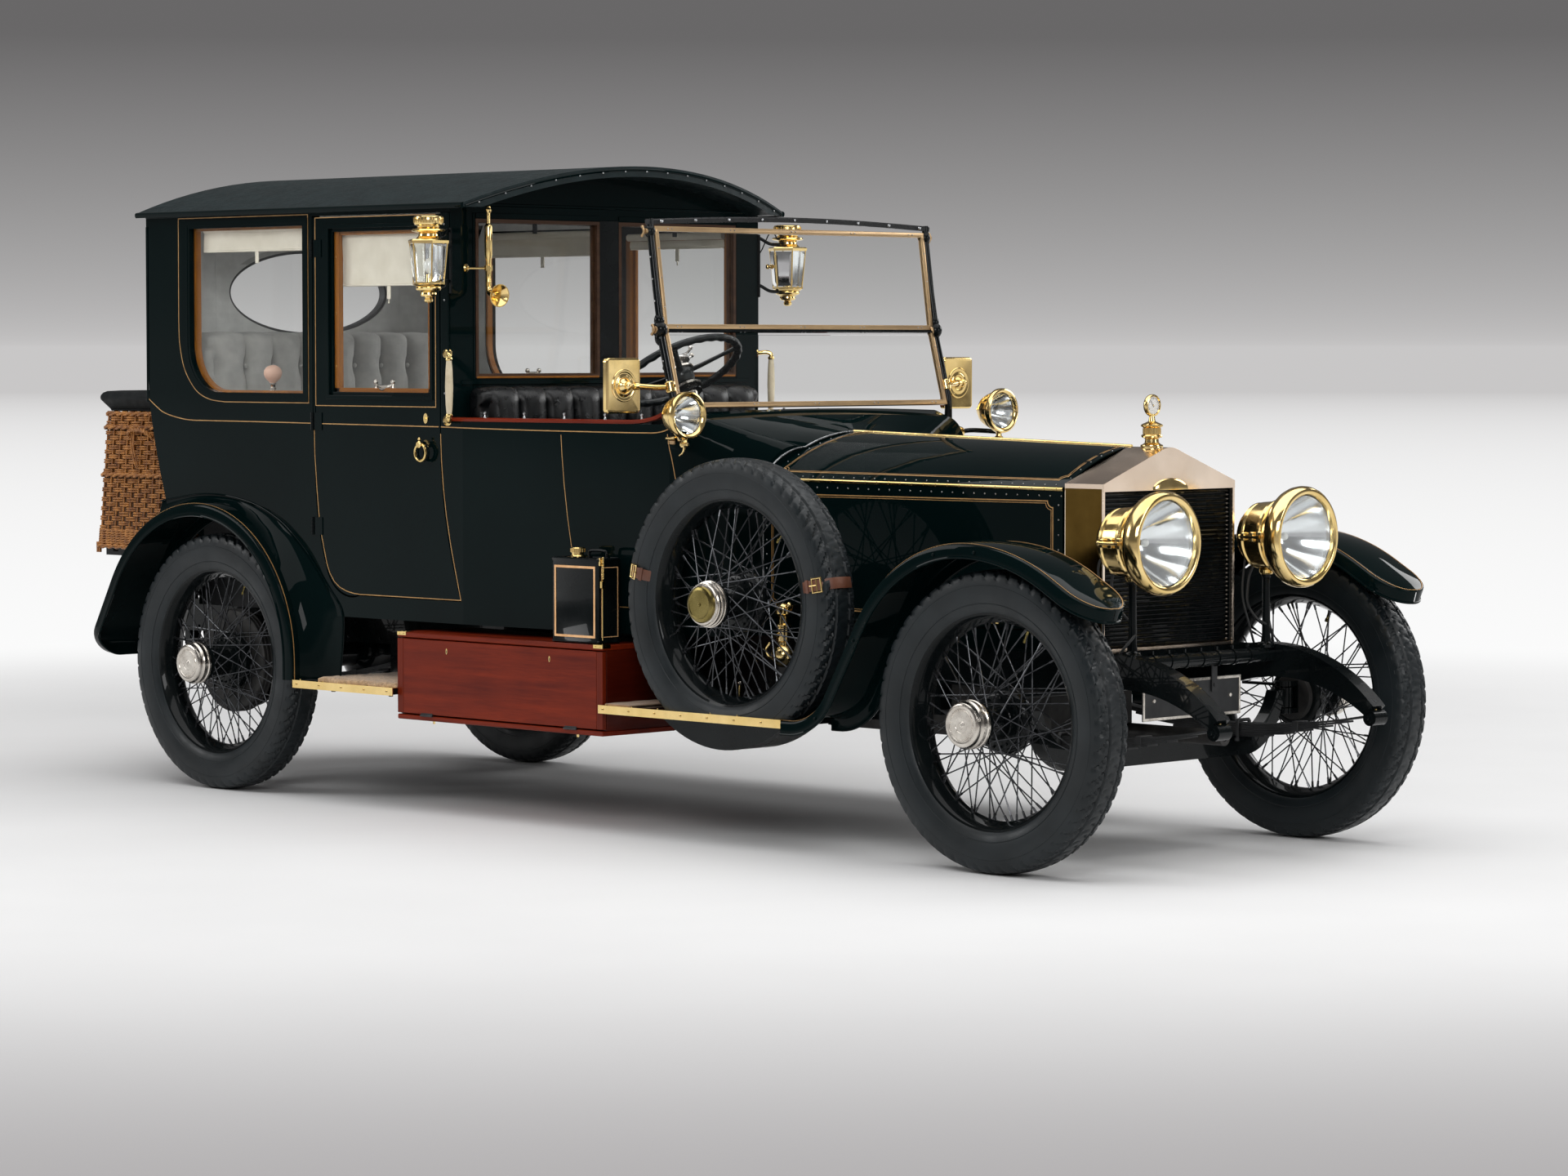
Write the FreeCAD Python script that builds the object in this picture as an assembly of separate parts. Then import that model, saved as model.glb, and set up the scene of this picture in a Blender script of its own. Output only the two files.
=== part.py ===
"""A brass era limousine with an open driver's compartment, in millimetres.

The design frame has X forward from the middle of the wheelbase, Y to the car's left and Z up from
the ground. Every node is moved along X on export, so that the finished car's origin is under the
middle of its length.
"""
import FreeCAD, Part
import math
import os

V = FreeCAD.Vector

# Overall sizes
WHEELBASE = 3645.0
TRACK = 1422.0
NOSE_OVERHANG = 570.0       # dumb iron tips ahead of the front axle
TAIL_OVERHANG = 988.0       # trunk behind the rear axle
BODY_HALF = 716.0           # half the width over the coachwork
COWL_HALF = BODY_HALF - 61.0    # the same at the windscreen, where the body has drawn in
SILL_Z = 630.0              # underside of the coachwork, top of the frame rails
WALL_TOP_Z = 2005.0         # where the roof sits on the cabin walls
PANEL = 35.0                # thickness of cabin walls and doors
SHUT = 5.0                  # gap around each door and lid
FIT = 0.05                  # radial clearance of every turning pin
FRONT_X = WHEELBASE / 2
REAR_X = -WHEELBASE / 2
NOSE_X = FRONT_X + NOSE_OVERHANG
TAIL_X = REAR_X - TAIL_OVERHANG
SHIFT_X = -(NOSE_X + TAIL_X) / 2
WHEEL_Y = TRACK / 2

# Wheels
TYRE_R = 447.5
TYRE_W = 135.0
RIM_R = 336.0               # seat of the tyre
RIM_W = 84.0
RIM_T = 16.0
HUB_R = 45.0
HUB_IN = -45.0              # ends of the hub along its axle, from the wheel's middle plane
HUB_OUT = 140.0
CAP_R = 72.5
CAP_OUT = 175.0
STUB_R = 20.0
SPOKE_R = 5.0
SPOKES = 12
DRUM_R = 180.0

# Frame rails, axles and steering
RAIL_IN = 340.0
RAIL_OUT = 400.0
RAIL_Z = 515.0
RAIL_TAIL = REAR_X - 657.5
TUBE_X = FRONT_X + 167.5    # the tube between the rails' front ends, which carries the headlamps
TUBE_Z = 605.0
TUBE_R = 22.0
KINGPIN_Y = 615.0
KINGPIN_R = 11.0
STEER_ARM = 150.0
TRACK_PIN_R = 6.0
AXLE_TOP = -105.5           # top of the front beam, from the wheels' centres
KNUCKLE_HALF = 50.5         # half the height of a steering knuckle
KNUCKLE_LEAF = 16.0         # thickness of each of its two leaves
SPRING_HALF = 25.0
SPRING_T = 42.0
REAR_SPRING = -55.5         # top of the rear springs, from the wheels' centres
SPRING_Y = 370.0
SPRING_EYE_Z = 428.0        # height of the front springs' eyes in the dumb irons
CASING_R = 150.0            # the differential's housing
FRONT_HANGER_X = FRONT_X - 532.5
REAR_HANGERS = (REAR_X - 617.5, REAR_X + 622.5)
HANGER_T = 30.0
TANK = (REAR_X - 507.5, 520.0, 105.0)     # fuel tank: x, height and radius
STEER_HUB = (40.0, -290.0, 1447.0)
STEER_RAKE = 58.0           # of the column, in degrees from level
STEER_R = 205.0

# Bonnet, radiator and scuttle
SCUTTLE_X = 540.0
RADIATOR_X = FRONT_X - 105.5
RADIATOR_DEPTH = 153.0
RADIATOR_HALF = 310.0
RADIATOR_Z = 1136.0
PEDIMENT_Z = 1242.0
CORE_TOP_Z = 1113.0
SKIN = 4.0
HINGE_R = 5.0
HINGE_GAP = 0.5             # between a hinge rod and the panel that turns about it
BONNET_REAR = (416.0, 1128.0, 1273.0)     # half width, side hinge height, centre height
BONNET_FRONT = (312.0, 1118.0, 1243.0)
BONNET_FOOT_Z = 692.0
ENGINE_HALF = 190.0
ENGINE_Z = (335.0, 1000.0)
SHAFT_Z = 372.0             # the starting handle's tube

# Cabin and driver's compartment
DIVISION_X = -620.0
CABIN_TAIL = REAR_X - 439.5
TUCK_X = CABIN_TAIL + 142.0     # where the rear wall has tucked in, above the rear guards
HEEL_X = REAR_X + 522.5     # the floor is narrow behind this, between the rear wheels
RAIL_TOP_Z = 1300.0         # top of the driver's side panels
TAPER_X = -560.0            # where the body starts to draw in towards the windscreen
SIDE_T = 30.0               # thickness of the driver's side panels
SCREEN_X = 360.0            # foot of the windscreen
SCREEN_Z = 1345.0
FLOOR_T = 30.0
ROOF_FRONT = -523.0
ROOF_BOW = 90.0
ROOF_HALF = BODY_HALF + 26.0
ROOF_RISE = 122.0
ROOF_T = 27.0
BACK_T = 30.0               # thickness of the rear wall and of the division
GLASS_T = 6.0
GLASS_IN = 15.0             # how deep the side windows sit behind the wall's face
DOOR_WINDOW = (-1249.0, -720.0, 1380.0, 1948.0)     # x and height of each rear door's window
QUARTER = (-2017.0, -1380.0, 1381.0, 1965.0)        # the same of the window behind it
DIVISION_WINDOW = (45.0, BODY_HALF - 111.0, 1443.0, 1970.0)     # y and height
OVAL = (375.0, 157.0, 1742.0)       # rear window: half axes across and up, and the centre's height
SEAT_BOX_Z = (930.0, 1010.0)        # tops of the driver's and the rear seat's boxes
SEAT_ROUND = 30.0
SCREEN_HALF = COWL_HALF - 37.0
SCREEN_EDGE = (8.0, 16.0)   # half the width of a leaf's frame, and its thickness
POST_Y = COWL_HALF - 15.0   # the windscreen's posts
POST_R = 13.0

# Guards, boards and what stands on them
GUARD_OUT = 826.0
GUARD_IN = BODY_HALF - 116.0
GUARD_TIP = FRONT_X + 334.5     # where the front guards start to round off
GUARD_T = 4.0
SKIRT = 40.0
BOARD_Z = 410.0
BOARD_T = 20.0
BOARD_OUT = 820.0
BOARD_REAR = REAR_X + 497.5
BOARD_FRONT = FRONT_X - 798.5
TOOLBOX = (-797.0, 205.0, -800.0, -480.0, 310.0, 600.0)
TOOLBOX_WALL = 18.0
CAN = (-43.0, 181.0, -745.0, 275.0)     # x, middle y and height
SPARE = (FRONT_X - 1057.5, -745.0, 757.0)

# Lamps and fittings: (x, y, z) of their middles on the left side
HEADLAMP = (FRONT_X + 310.5, 329.0, 968.0)
SIDE_LAMP = (-590.0, BODY_HALF + 119.0)
SPOT_LAMP = (524.0, COWL_HALF + 78.0, 1332.0)
SPOT_FOOT = (430.0, COWL_HALF - 20.0, 1205.0)
MIRROR = (264.0, 284.0, COWL_HALF + 67.0, COWL_HALF + 197.0, 1333.0, 1508.0)
MIRROR_CLAMP = (345.0, POST_Y + 15.5, 1420.0)
GRAB = (-588.0, BODY_HALF + 34.0, 1316.0, 1510.0)   # x and y of the bar, heights of its two feet
HORN = (-560.0, 116.0 - BODY_HALF)
PLATE = (FRONT_X + 132.5, 232.0, 425.0, 547.0)      # x, half width and heights of the number plate
PLATE_HOLE_Y = 180.0
RACK_Z = 781.0

NODES = {}


def put(name, shape):
    """Keeps a finished node under its name."""
    NODES[name] = shape


def block(x0, x1, y0, y1, z0, z1):
    return Part.makeBox(x1 - x0, y1 - y0, z1 - z0, V(x0, y0, z0))


def rod(start, end, radius):
    axis = V(*end) - V(*start)
    return Part.makeCylinder(radius, axis.Length, V(*start), axis)


def fuse(shapes):
    return shapes[0].multiFuse(shapes[1:]).removeSplitter() if len(shapes) > 1 else shapes[0]


def mirrored(shape):
    return shape.mirror(V(0, 0, 0), V(0, 1, 0))


def both(shape):
    """The same solid on both sides of the car."""
    return Part.makeCompound([shape, mirrored(shape)])


def xz(u, v):
    return V(u, 0, v)


def yz(u, v):
    return V(0, u, v)


def xy(u, v):
    return V(u, v, 0)


def outline(place, start, steps):
    """A closed wire. A step is a corner (u, v), or a pair (via, end) for an arc."""
    edges = []
    here = start
    for step in list(steps) + [start]:
        if isinstance(step[0], tuple):
            via, end = step
            edges.append(Part.Arc(place(*here), place(*via), place(*end)).toShape())
            here = end
        elif step != here:
            edges.append(Part.LineSegment(place(*here), place(*step)).toShape())
            here = step
    return Part.Wire(edges)


def plate(place, low, high, start, steps):
    """The outline made solid between two coordinates across its plane."""
    across = {xz: V(0, 1, 0), yz: V(1, 0, 0), xy: V(0, 0, 1)}[place]
    solid = Part.Face(outline(place, start, steps)).extrude(across * (high - low))
    solid.translate(across * low)
    return solid


def turned(place, axis, start, steps):
    """The outline turned about an axis through the design origin."""
    return Part.Face(outline(place, start, steps)).revolve(V(0, 0, 0), axis, 360)


def trace(start, heading, moves, aside):
    """Edges of a run of straights (length, 0) and arcs (radius, turn), moved to the left by `aside`."""
    edges = []
    x, z = start
    angle = math.radians(heading)
    for size, turn in moves:
        normal = (-math.sin(angle), math.cos(angle))
        if turn == 0:
            ends = [(x, z), (x + size * math.cos(angle), z + size * math.sin(angle))]
            line = [V(px + normal[0] * aside, 0, pz + normal[1] * aside) for px, pz in ends]
            edges.append(Part.LineSegment(*line).toShape())
            x, z = ends[1]
            continue
        side = math.copysign(1.0, turn)
        centre = (x + side * normal[0] * size, z + side * normal[1] * size)
        points = []
        for share in (0.0, 0.5, 1.0):
            a = angle + math.radians(turn) * share
            reach = side * (size - side * aside)
            points.append(V(centre[0] + math.sin(a) * reach, 0, centre[1] - math.cos(a) * reach))
        edges.append(Part.Arc(*points).toShape())
        angle += math.radians(turn)
        x = centre[0] + math.sin(angle) * side * size
        z = centre[1] - math.cos(angle) * side * size
    return edges


def strip(run, left, right, y0, y1):
    """The band between two offsets of a run, from y0 to y1."""
    near = trace(*run, left)
    far = trace(*run, right)
    caps = [Part.LineSegment(near[-1].Vertexes[-1].Point, far[-1].Vertexes[-1].Point).toShape(),
            Part.LineSegment(near[0].Vertexes[0].Point, far[0].Vertexes[0].Point).toShape()]
    face = Part.Face(Part.Wire(Part.__sortEdges__(near + far + caps)))
    solid = face.extrude(V(0, y1 - y0, 0))
    solid.translate(V(0, y0, 0))
    return solid


def under_run(run, aside, y0, y1):
    """Everything on the inner side of a run, closed by a straight line between its ends."""
    edges = trace(*run, aside)
    close = Part.LineSegment(edges[-1].Vertexes[-1].Point, edges[0].Vertexes[0].Point).toShape()
    solid = Part.Face(Part.Wire(Part.__sortEdges__(edges + [close]))).extrude(V(0, y1 - y0, 0))
    solid.translate(V(0, y0, 0))
    return solid


# Runs of the guards' outer surfaces: start, heading and moves
FRONT_GUARD = ((BOARD_FRONT, BOARD_Z), 0.0,
               [(33.0, 0), (170.0, 60), (262.0, 0), (500.0, -60), (676.0, -30), (150.0, 0), (120.0, 14),
                (20.0, 0)])
REAR_GUARD = ((BOARD_REAR, BOARD_Z), 90.0,
              [(60.0, 0), (530.0, 90), (560.0, 60), (200.0, 0), (150.0, 30), (28.0, 0)])


# ---------------------------------------------------------------- wheels
def tyre(centre, outward):
    """A round tyre on its rim seat."""
    ring = Part.makeTorus(TYRE_R - TYRE_W / 2, TYRE_W / 2, V(*centre), V(0, outward, 0))
    bore = Part.makeCylinder(RIM_R, TYRE_W * 2, V(*centre) - V(0, TYRE_W, 0), V(0, 1, 0))
    return ring.cut(bore)


def wheel(centre, outward, drum):
    """Rim, hub, hub cap and plain spokes. Rear wheels carry a brake drum."""
    solids = []
    shapes = [  # inner end, outer end, radius, bore
        (-RIM_W / 2, RIM_W / 2, RIM_R, RIM_R - RIM_T),
        (HUB_IN, HUB_OUT, HUB_R, 0),
        (HUB_OUT - 10, CAP_OUT, CAP_R, 0),
        (HUB_IN, HUB_IN + 12, 88.0, 0),
        (60.0, 70.0, 62.0, 0),
    ]
    if drum:
        shapes.append((HUB_IN - 25, HUB_IN + 25, DRUM_R, 0))
    for low, high, radius, bore in shapes:
        ring = Part.makeCylinder(radius, high - low, V(0, low, 0), V(0, 1, 0))
        if bore:
            ring = ring.cut(Part.makeCylinder(bore, high - low, V(0, low, 0), V(0, 1, 0)))
        solids.append(ring)
    for i in range(SPOKES):
        turn = 2 * math.pi * i / SPOKES
        lean = turn + (0.5 if i % 2 else -0.5)
        foot_y, foot_r = (HUB_IN + 6, 80.0) if i % 2 else (65.0, 55.0)
        foot = (foot_r * math.cos(lean), foot_y, foot_r * math.sin(lean))
        tip_r = RIM_R - RIM_T / 2
        solids.append(rod(foot, (tip_r * math.cos(turn), 0, tip_r * math.sin(turn)), SPOKE_R))
    shape = fuse(solids)
    depth = HUB_OUT - 15 - HUB_IN + (25 if drum else 0)
    shape = shape.cut(Part.makeCylinder(STUB_R + FIT, depth, V(0, HUB_OUT - 15 - depth, 0), V(0, 1, 0)))
    if outward < 0:
        shape = mirrored(shape)
    shape.translate(V(*centre))
    return shape


def make_wheels():
    corners = [("front_right", FRONT_X, -1, False), ("front_left", FRONT_X, 1, False),
               ("rear_right", REAR_X, -1, True), ("rear_left", REAR_X, 1, True)]
    for name, x, side, drum in corners:
        centre = (x, side * WHEEL_Y, TYRE_R)
        put("tyre_" + name, tyre(centre, side))
        put("wheel_" + name, wheel(centre, side, drum))
    put("spare_wheel", Part.makeCompound([tyre(SPARE, -1), wheel(SPARE, -1, False)]))


# ---------------------------------------------------------------- running gear
def make_frame():
    """Side rails that curve down into the dumb irons, with their cross members."""
    bend_x = RADIATOR_X + RADIATOR_DEPTH
    rail = plate(xz, RAIL_IN, RAIL_OUT, (RAIL_TAIL, RAIL_Z), [
        (bend_x, RAIL_Z), ((bend_x + 280, 522.0), (NOSE_X - 42, 434.0)), (NOSE_X - 10, 464.0),
        ((bend_x + 320, 594.0), (bend_x, SILL_Z)), (RAIL_TAIL, SILL_Z)])
    eye = rod((NOSE_X - 24, RAIL_IN, SPRING_EYE_Z), (NOSE_X - 24, RAIL_OUT, SPRING_EYE_Z), 24.0)
    rail = rail.fuse(eye)
    parts = [rail, mirrored(rail)]
    hang_in, hang_out = SPRING_Y - SPRING_HALF, SPRING_Y + SPRING_HALF
    cross_members = [(CABIN_TAIL + 62, CABIN_TAIL + 102, 540.0, SILL_Z),
                     (HEEL_X - 30, HEEL_X + 10, 560.0, SILL_Z),
                     (-330.0, -290.0, 520.0, 600.0), (430.0, 480.0, 548.0, 600.0),
                     (RADIATOR_X + 3, RADIATOR_X + RADIATOR_DEPTH, 595.0, SILL_Z)]
    for x0, x1, z0, z1 in cross_members:
        parts.append(block(x0, x1, -RAIL_IN, RAIL_IN, z0, z1))
    for x in (SCUTTLE_X + 160, RADIATOR_X - 267):
        for side in (-1, 1):
            inner, outer = sorted((side * ENGINE_HALF, side * RAIL_IN))
            parts.append(block(x, x + 50, inner, outer, 530.0, 580.0))
    parts.append(rod((TUBE_X, -RAIL_IN, TUBE_Z), (TUBE_X, RAIL_IN, TUBE_Z), TUBE_R))
    hanger = block(FRONT_HANGER_X - 28, FRONT_HANGER_X, hang_in, hang_out, SPRING_EYE_Z - 10, RAIL_Z)
    low, high = REAR_HANGERS
    rear_hangers = [block(high, high + HANGER_T, hang_in, hang_out, 462.0, RAIL_Z),
                    block(low - HANGER_T, low, hang_in, hang_out, 462.0, RAIL_Z)]
    for piece in [hanger] + rear_hangers:
        parts += [piece, mirrored(piece)]
    put("chassis_frame", fuse(parts))


def leaf_spring(x0, x1, z_end, z_mid):
    """A bow shaped pack of leaves between two hangers."""
    middle = (x0 + x1) / 2
    tip = SPRING_T / 3
    return plate(xz, SPRING_Y - SPRING_HALF, SPRING_Y + SPRING_HALF, (x0, z_end), [
        ((middle, z_mid), (x1, z_end)), (x1, z_end + tip),
        ((middle, z_mid + SPRING_T), (x0, z_end + tip))])


def make_axles():
    """The forged front beam with its kingpin eyes, and the rear axle casing."""
    low = AXLE_TOP - 60
    eye_half = KNUCKLE_HALF - KNUCKLE_LEAF - 4
    half = plate(yz, FRONT_X - 22, FRONT_X + 22, (0.0, low), [
        (420.0, low), ((520.0, low + 48), (578.0, eye_half - 58)), (KINGPIN_Y, eye_half - 58),
        (KINGPIN_Y, eye_half - 2), (555.0, eye_half - 8), ((500.0, AXLE_TOP + 43), (410.0, AXLE_TOP)),
        (0.0, AXLE_TOP)])
    eye = rod((FRONT_X, KINGPIN_Y, -eye_half), (FRONT_X, KINGPIN_Y, eye_half), 30.0)
    pad = block(FRONT_X - 50, FRONT_X + 50, 342.0, 398.0, AXLE_TOP - 14, AXLE_TOP)
    bore = rod((FRONT_X, KINGPIN_Y, -KNUCKLE_HALF), (FRONT_X, KINGPIN_Y, KNUCKLE_HALF), KINGPIN_R + FIT)
    half = fuse([half, eye, pad]).cut(bore)
    put("front_axle", raised(fuse([half, mirrored(half)])))
    stub_end = WHEEL_Y + HUB_OUT - 25
    parts = [rod((REAR_X, -610.0, 0.0), (REAR_X, 610.0, 0.0), 45.0),
             Part.makeSphere(CASING_R, V(REAR_X, 0, 0)),
             rod((REAR_X, -stub_end, 0.0), (REAR_X, stub_end, 0.0), STUB_R)]
    for side in (-1, 1):
        parts.append(rod((REAR_X, side * 598.0, 0.0), (REAR_X, side * 614.0, 0.0), 165.0))
        y = side * SPRING_Y
        parts.append(block(REAR_X - 50, REAR_X + 50, y - 28, y + 28, REAR_SPRING + 0.8, 0.0))
    put("rear_axle", raised(fuse(parts)))
    front = leaf_spring(FRONT_HANGER_X, NOSE_X - 48, SPRING_EYE_Z - 7, TYRE_R + AXLE_TOP)
    rear = leaf_spring(*REAR_HANGERS, 468.0, TYRE_R + REAR_SPRING - SPRING_T)
    put("leaf_springs", Part.makeCompound([front, mirrored(front), rear, mirrored(rear)]))


def raised(shape):
    """The shape moved up from the wheels' centres to their height."""
    shape.translate(V(0, 0, TYRE_R))
    return shape


def make_steering():
    """Knuckles on their kingpins, the track rod and the driver's wheel."""
    top_z, leaf_z = KNUCKLE_HALF, KNUCKLE_HALF - KNUCKLE_LEAF
    face_y = KINGPIN_Y + 43
    top = plate(xy, leaf_z, top_z, (FRONT_X + 28, KINGPIN_Y), [
        ((FRONT_X, KINGPIN_Y - 28), (FRONT_X - 28, KINGPIN_Y)), (FRONT_X - 28, face_y),
        (FRONT_X + 28, face_y)])
    bottom = top.copy()
    bottom.translate(V(0, 0, -top_z - leaf_z))
    web = block(FRONT_X - 28, FRONT_X + 28, face_y - 10, face_y, -top_z, top_z)
    pin = rod((FRONT_X, KINGPIN_Y, -top_z), (FRONT_X, KINGPIN_Y, top_z), KINGPIN_R)
    stub = rod((FRONT_X, face_y, 0.0), (FRONT_X, WHEEL_Y + HUB_OUT - 25, 0.0), STUB_R)
    x = FRONT_X - STEER_ARM
    arm_z = leaf_z + 8
    arm = block(x, FRONT_X, KINGPIN_Y - 12, KINGPIN_Y + 12, leaf_z, arm_z)
    end = rod((x, KINGPIN_Y, leaf_z), (x, KINGPIN_Y, arm_z), 14.0)
    ball = rod((x, KINGPIN_Y, arm_z), (x, KINGPIN_Y, arm_z + 20), TRACK_PIN_R)
    left = raised(fuse([top, bottom, web, pin, stub, arm, end, ball]))
    put("knuckle_left", left)
    put("knuckle_right", mirrored(left))
    rod_z = arm_z + 10
    parts = [rod((x, -KINGPIN_Y, rod_z), (x, KINGPIN_Y, rod_z), 8.5)]
    parts += [rod((x, y, rod_z - 9), (x, y, rod_z + 9), 14.0) for y in (-KINGPIN_Y, KINGPIN_Y)]
    track = fuse(parts)
    for y in (-KINGPIN_Y, KINGPIN_Y):
        track = track.cut(rod((x, y, rod_z - 20), (x, y, rod_z + 20), TRACK_PIN_R + FIT))
    put("track_rod", raised(track))


def make_driver_controls():
    """The steering column, its wheel and the quadrant plate."""
    rake = math.radians(STEER_RAKE)
    down = V(math.cos(rake), 0, -math.sin(rake))
    middle = V(*STEER_HUB)
    start = middle + down * 22
    column = Part.makeCylinder(22.0, 900.0, start, down)
    column = column.cut(Part.makeCylinder(12.0 + FIT, 70.0, start, down))
    column = column.cut(block(SCUTTLE_X - 25, 2000.0, -1000.0, 1000.0, 0.0, 2000.0))
    column = column.cut(block(0.0, 2000.0, -1000.0, 1000.0, 0.0, SILL_Z + FLOOR_T))
    plate_ring = Part.makeCylinder(45.0, 6.0, middle + down * 60, down)
    column = column.fuse(plate_ring.cut(Part.makeCylinder(12.0 + FIT, 70.0, start, down)))
    put("steering_column", column)
    rim = Part.makeTorus(STEER_R, 13.0, middle - down * 25, down)
    hub = Part.makeCylinder(34.0, 45.0, middle - down * 24, down)
    shaft = Part.makeCylinder(12.0, 60.0, middle + down * 21, down)
    parts = [rim, hub, shaft]
    side = V(0, 1, 0)
    rise = down.cross(side)
    for i in range(4):
        angle = math.pi / 4 + i * math.pi / 2
        reach = side * math.cos(angle) + rise * math.sin(angle)
        begin = middle - down * 5 + reach * 20
        finish = middle - down * 25 + reach * STEER_R
        parts.append(Part.makeCylinder(8.0, (finish - begin).Length, begin, finish - begin))
    put("steering_wheel", fuse(parts))


def make_power_unit():
    """Engine, gearbox, propeller shaft and the starting handle's tube."""
    engine_x = (SCUTTLE_X + 80, RADIATOR_X - 157)
    engine = block(*engine_x, -ENGINE_HALF, ENGINE_HALF, *ENGINE_Z)
    gearbox = block(-60.0, 400.0, -120.0, 120.0, 380.0, 610.0)
    bell = rod((400.0, 0, 480.0), (engine_x[0], 0, 480.0), 60.0)
    shaft = rod((-60.0, 0, 455.0), (REAR_X + 140, 0, 452.0), 36.0)
    shaft = shaft.cut(Part.makeSphere(CASING_R, V(REAR_X, 0, TYRE_R)))
    tube_end = FRONT_X + 264.5
    handle_tube = rod((engine_x[1], 0, SHAFT_Z), (tube_end, 0, SHAFT_Z), 24.0)
    handle_bore = rod((tube_end - 127, 0, SHAFT_Z), (tube_end, 0, SHAFT_Z), 11.0)
    put("engine_block", fuse([engine, gearbox, bell, shaft, handle_tube]).cut(handle_bore))
    x, z, radius = TANK
    tank = rod((x, -RAIL_IN, z), (x, RAIL_IN, z), radius)
    filler = rod((x, 260.0, z + 80), (x, 260.0, z + 135), 24.0)
    put("fuel_tank", fuse([tank, filler]))


# ---------------------------------------------------------------- bonnet and radiator
def bonnet_section(x, size, grow):
    """The bonnet's roof at one station: an arc from the side hinge up to the centre hinge."""
    half, side_z, top_z = size
    gap = HINGE_R + HINGE_GAP
    mid = (half * 0.52, side_z + (top_z - side_z) * 0.66 + grow)
    low = (half - gap * 0.9, side_z + gap * 0.6 + grow)
    return [V(x, -gap, top_z - 0.5 + grow), V(x, -mid[0], mid[1]), V(x, -low[0], low[1])]


def bonnet_top():
    """The right half of the bonnet's roof, a thin curved sheet."""
    wires = []
    for x, size in ((SCUTTLE_X + 5, BONNET_REAR), (RADIATOR_X - 5, BONNET_FRONT)):
        outer = bonnet_section(x, size, 0.0)
        inner = bonnet_section(x, size, -SKIN)
        wires.append(Part.Wire([
            Part.Arc(*outer).toShape(), Part.LineSegment(outer[2], inner[2]).toShape(),
            Part.Arc(inner[2], inner[1], inner[0]).toShape(),
            Part.LineSegment(inner[0], outer[0]).toShape()]))
    return Part.makeLoft(wires, True, True)


def make_bonnet():
    x0, x1 = SCUTTLE_X + 5, RADIATOR_X - 5
    rear, front = BONNET_REAR, BONNET_FRONT
    knuckle = rod((x0, -rear[0], rear[1]), (x1, -front[0], front[1]), HINGE_R)
    top = bonnet_top()
    web = ruled_bar([(x0, -rear[0], rear[1]), (x1, -front[0], front[1])])
    put("bonnet_top_right", fuse([top, knuckle, web]))
    put("bonnet_top_left", mirrored(NODES["bonnet_top_right"]))
    wires = []
    for x, (half, side_z, _) in ((x0, rear), (x1, front)):
        high = side_z - HINGE_R - HINGE_GAP
        outer, inner = -half - SKIN / 2, -half + SKIN / 2
        corners = [(outer, BONNET_FOOT_Z), (inner, BONNET_FOOT_Z), (inner, high), (outer, high),
                   (outer, BONNET_FOOT_Z)]
        wires.append(Part.makePolygon([V(x, y, z) for y, z in corners]))
    side = Part.makeLoft(wires, True, True)
    put("bonnet_side_right", side)
    put("bonnet_side_left", mirrored(side))
    put("bonnet_hinge", rod((SCUTTLE_X, 0, rear[2]), (RADIATOR_X, 0, front[2]), HINGE_R))


def ruled_bar(ends):
    """The narrow strip that joins the bonnet roof's lower edge to its side hinge."""
    wires = []
    for x, y, z in ends:
        wires.append(Part.makePolygon([V(x, y, z + 2), V(x, y, z - 1), V(x, y + 9, z + 4),
                                       V(x, y + 9, z + 7), V(x, y, z + 2)]))
    return Part.makeLoft(wires, True, True)


def make_radiator():
    x0, x1 = RADIATOR_X, RADIATOR_X + RADIATOR_DEPTH
    half = RADIATOR_HALF
    shell = plate(yz, x0, x1, (-half, SILL_Z), [
        (half, SILL_Z), (half, RADIATOR_Z), (50.0, PEDIMENT_Z - 12),
        ((0.0, PEDIMENT_Z), (-50.0, PEDIMENT_Z - 12)), (-half, RADIATOR_Z)])
    shell = shell.cut(block(x0 - 1, x1 + 1, -half + 10, half - 10, SILL_Z + 12, CORE_TOP_Z))
    put("radiator_shell", shell)
    core = block(x0 + 15, x1 - 12, -half + 10, half - 10, SILL_Z + 12, CORE_TOP_Z)
    put("radiator_core", core)
    x = x0 + 79.0
    neck = rod((x, 0, PEDIMENT_Z), (x, 0, PEDIMENT_Z + 24), 20.0)
    cap = rod((x, 0, PEDIMENT_Z + 24), (x, 0, PEDIMENT_Z + 46), 30.0)
    stem = rod((x, 0, PEDIMENT_Z + 46), (x, 0, PEDIMENT_Z + 100), 6.0)
    dial = rod((x - 9, 0, PEDIMENT_Z + 126), (x + 9, 0, PEDIMENT_Z + 126), 34.0)
    put("radiator_cap", fuse([neck, cap, stem, dial]))


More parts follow.
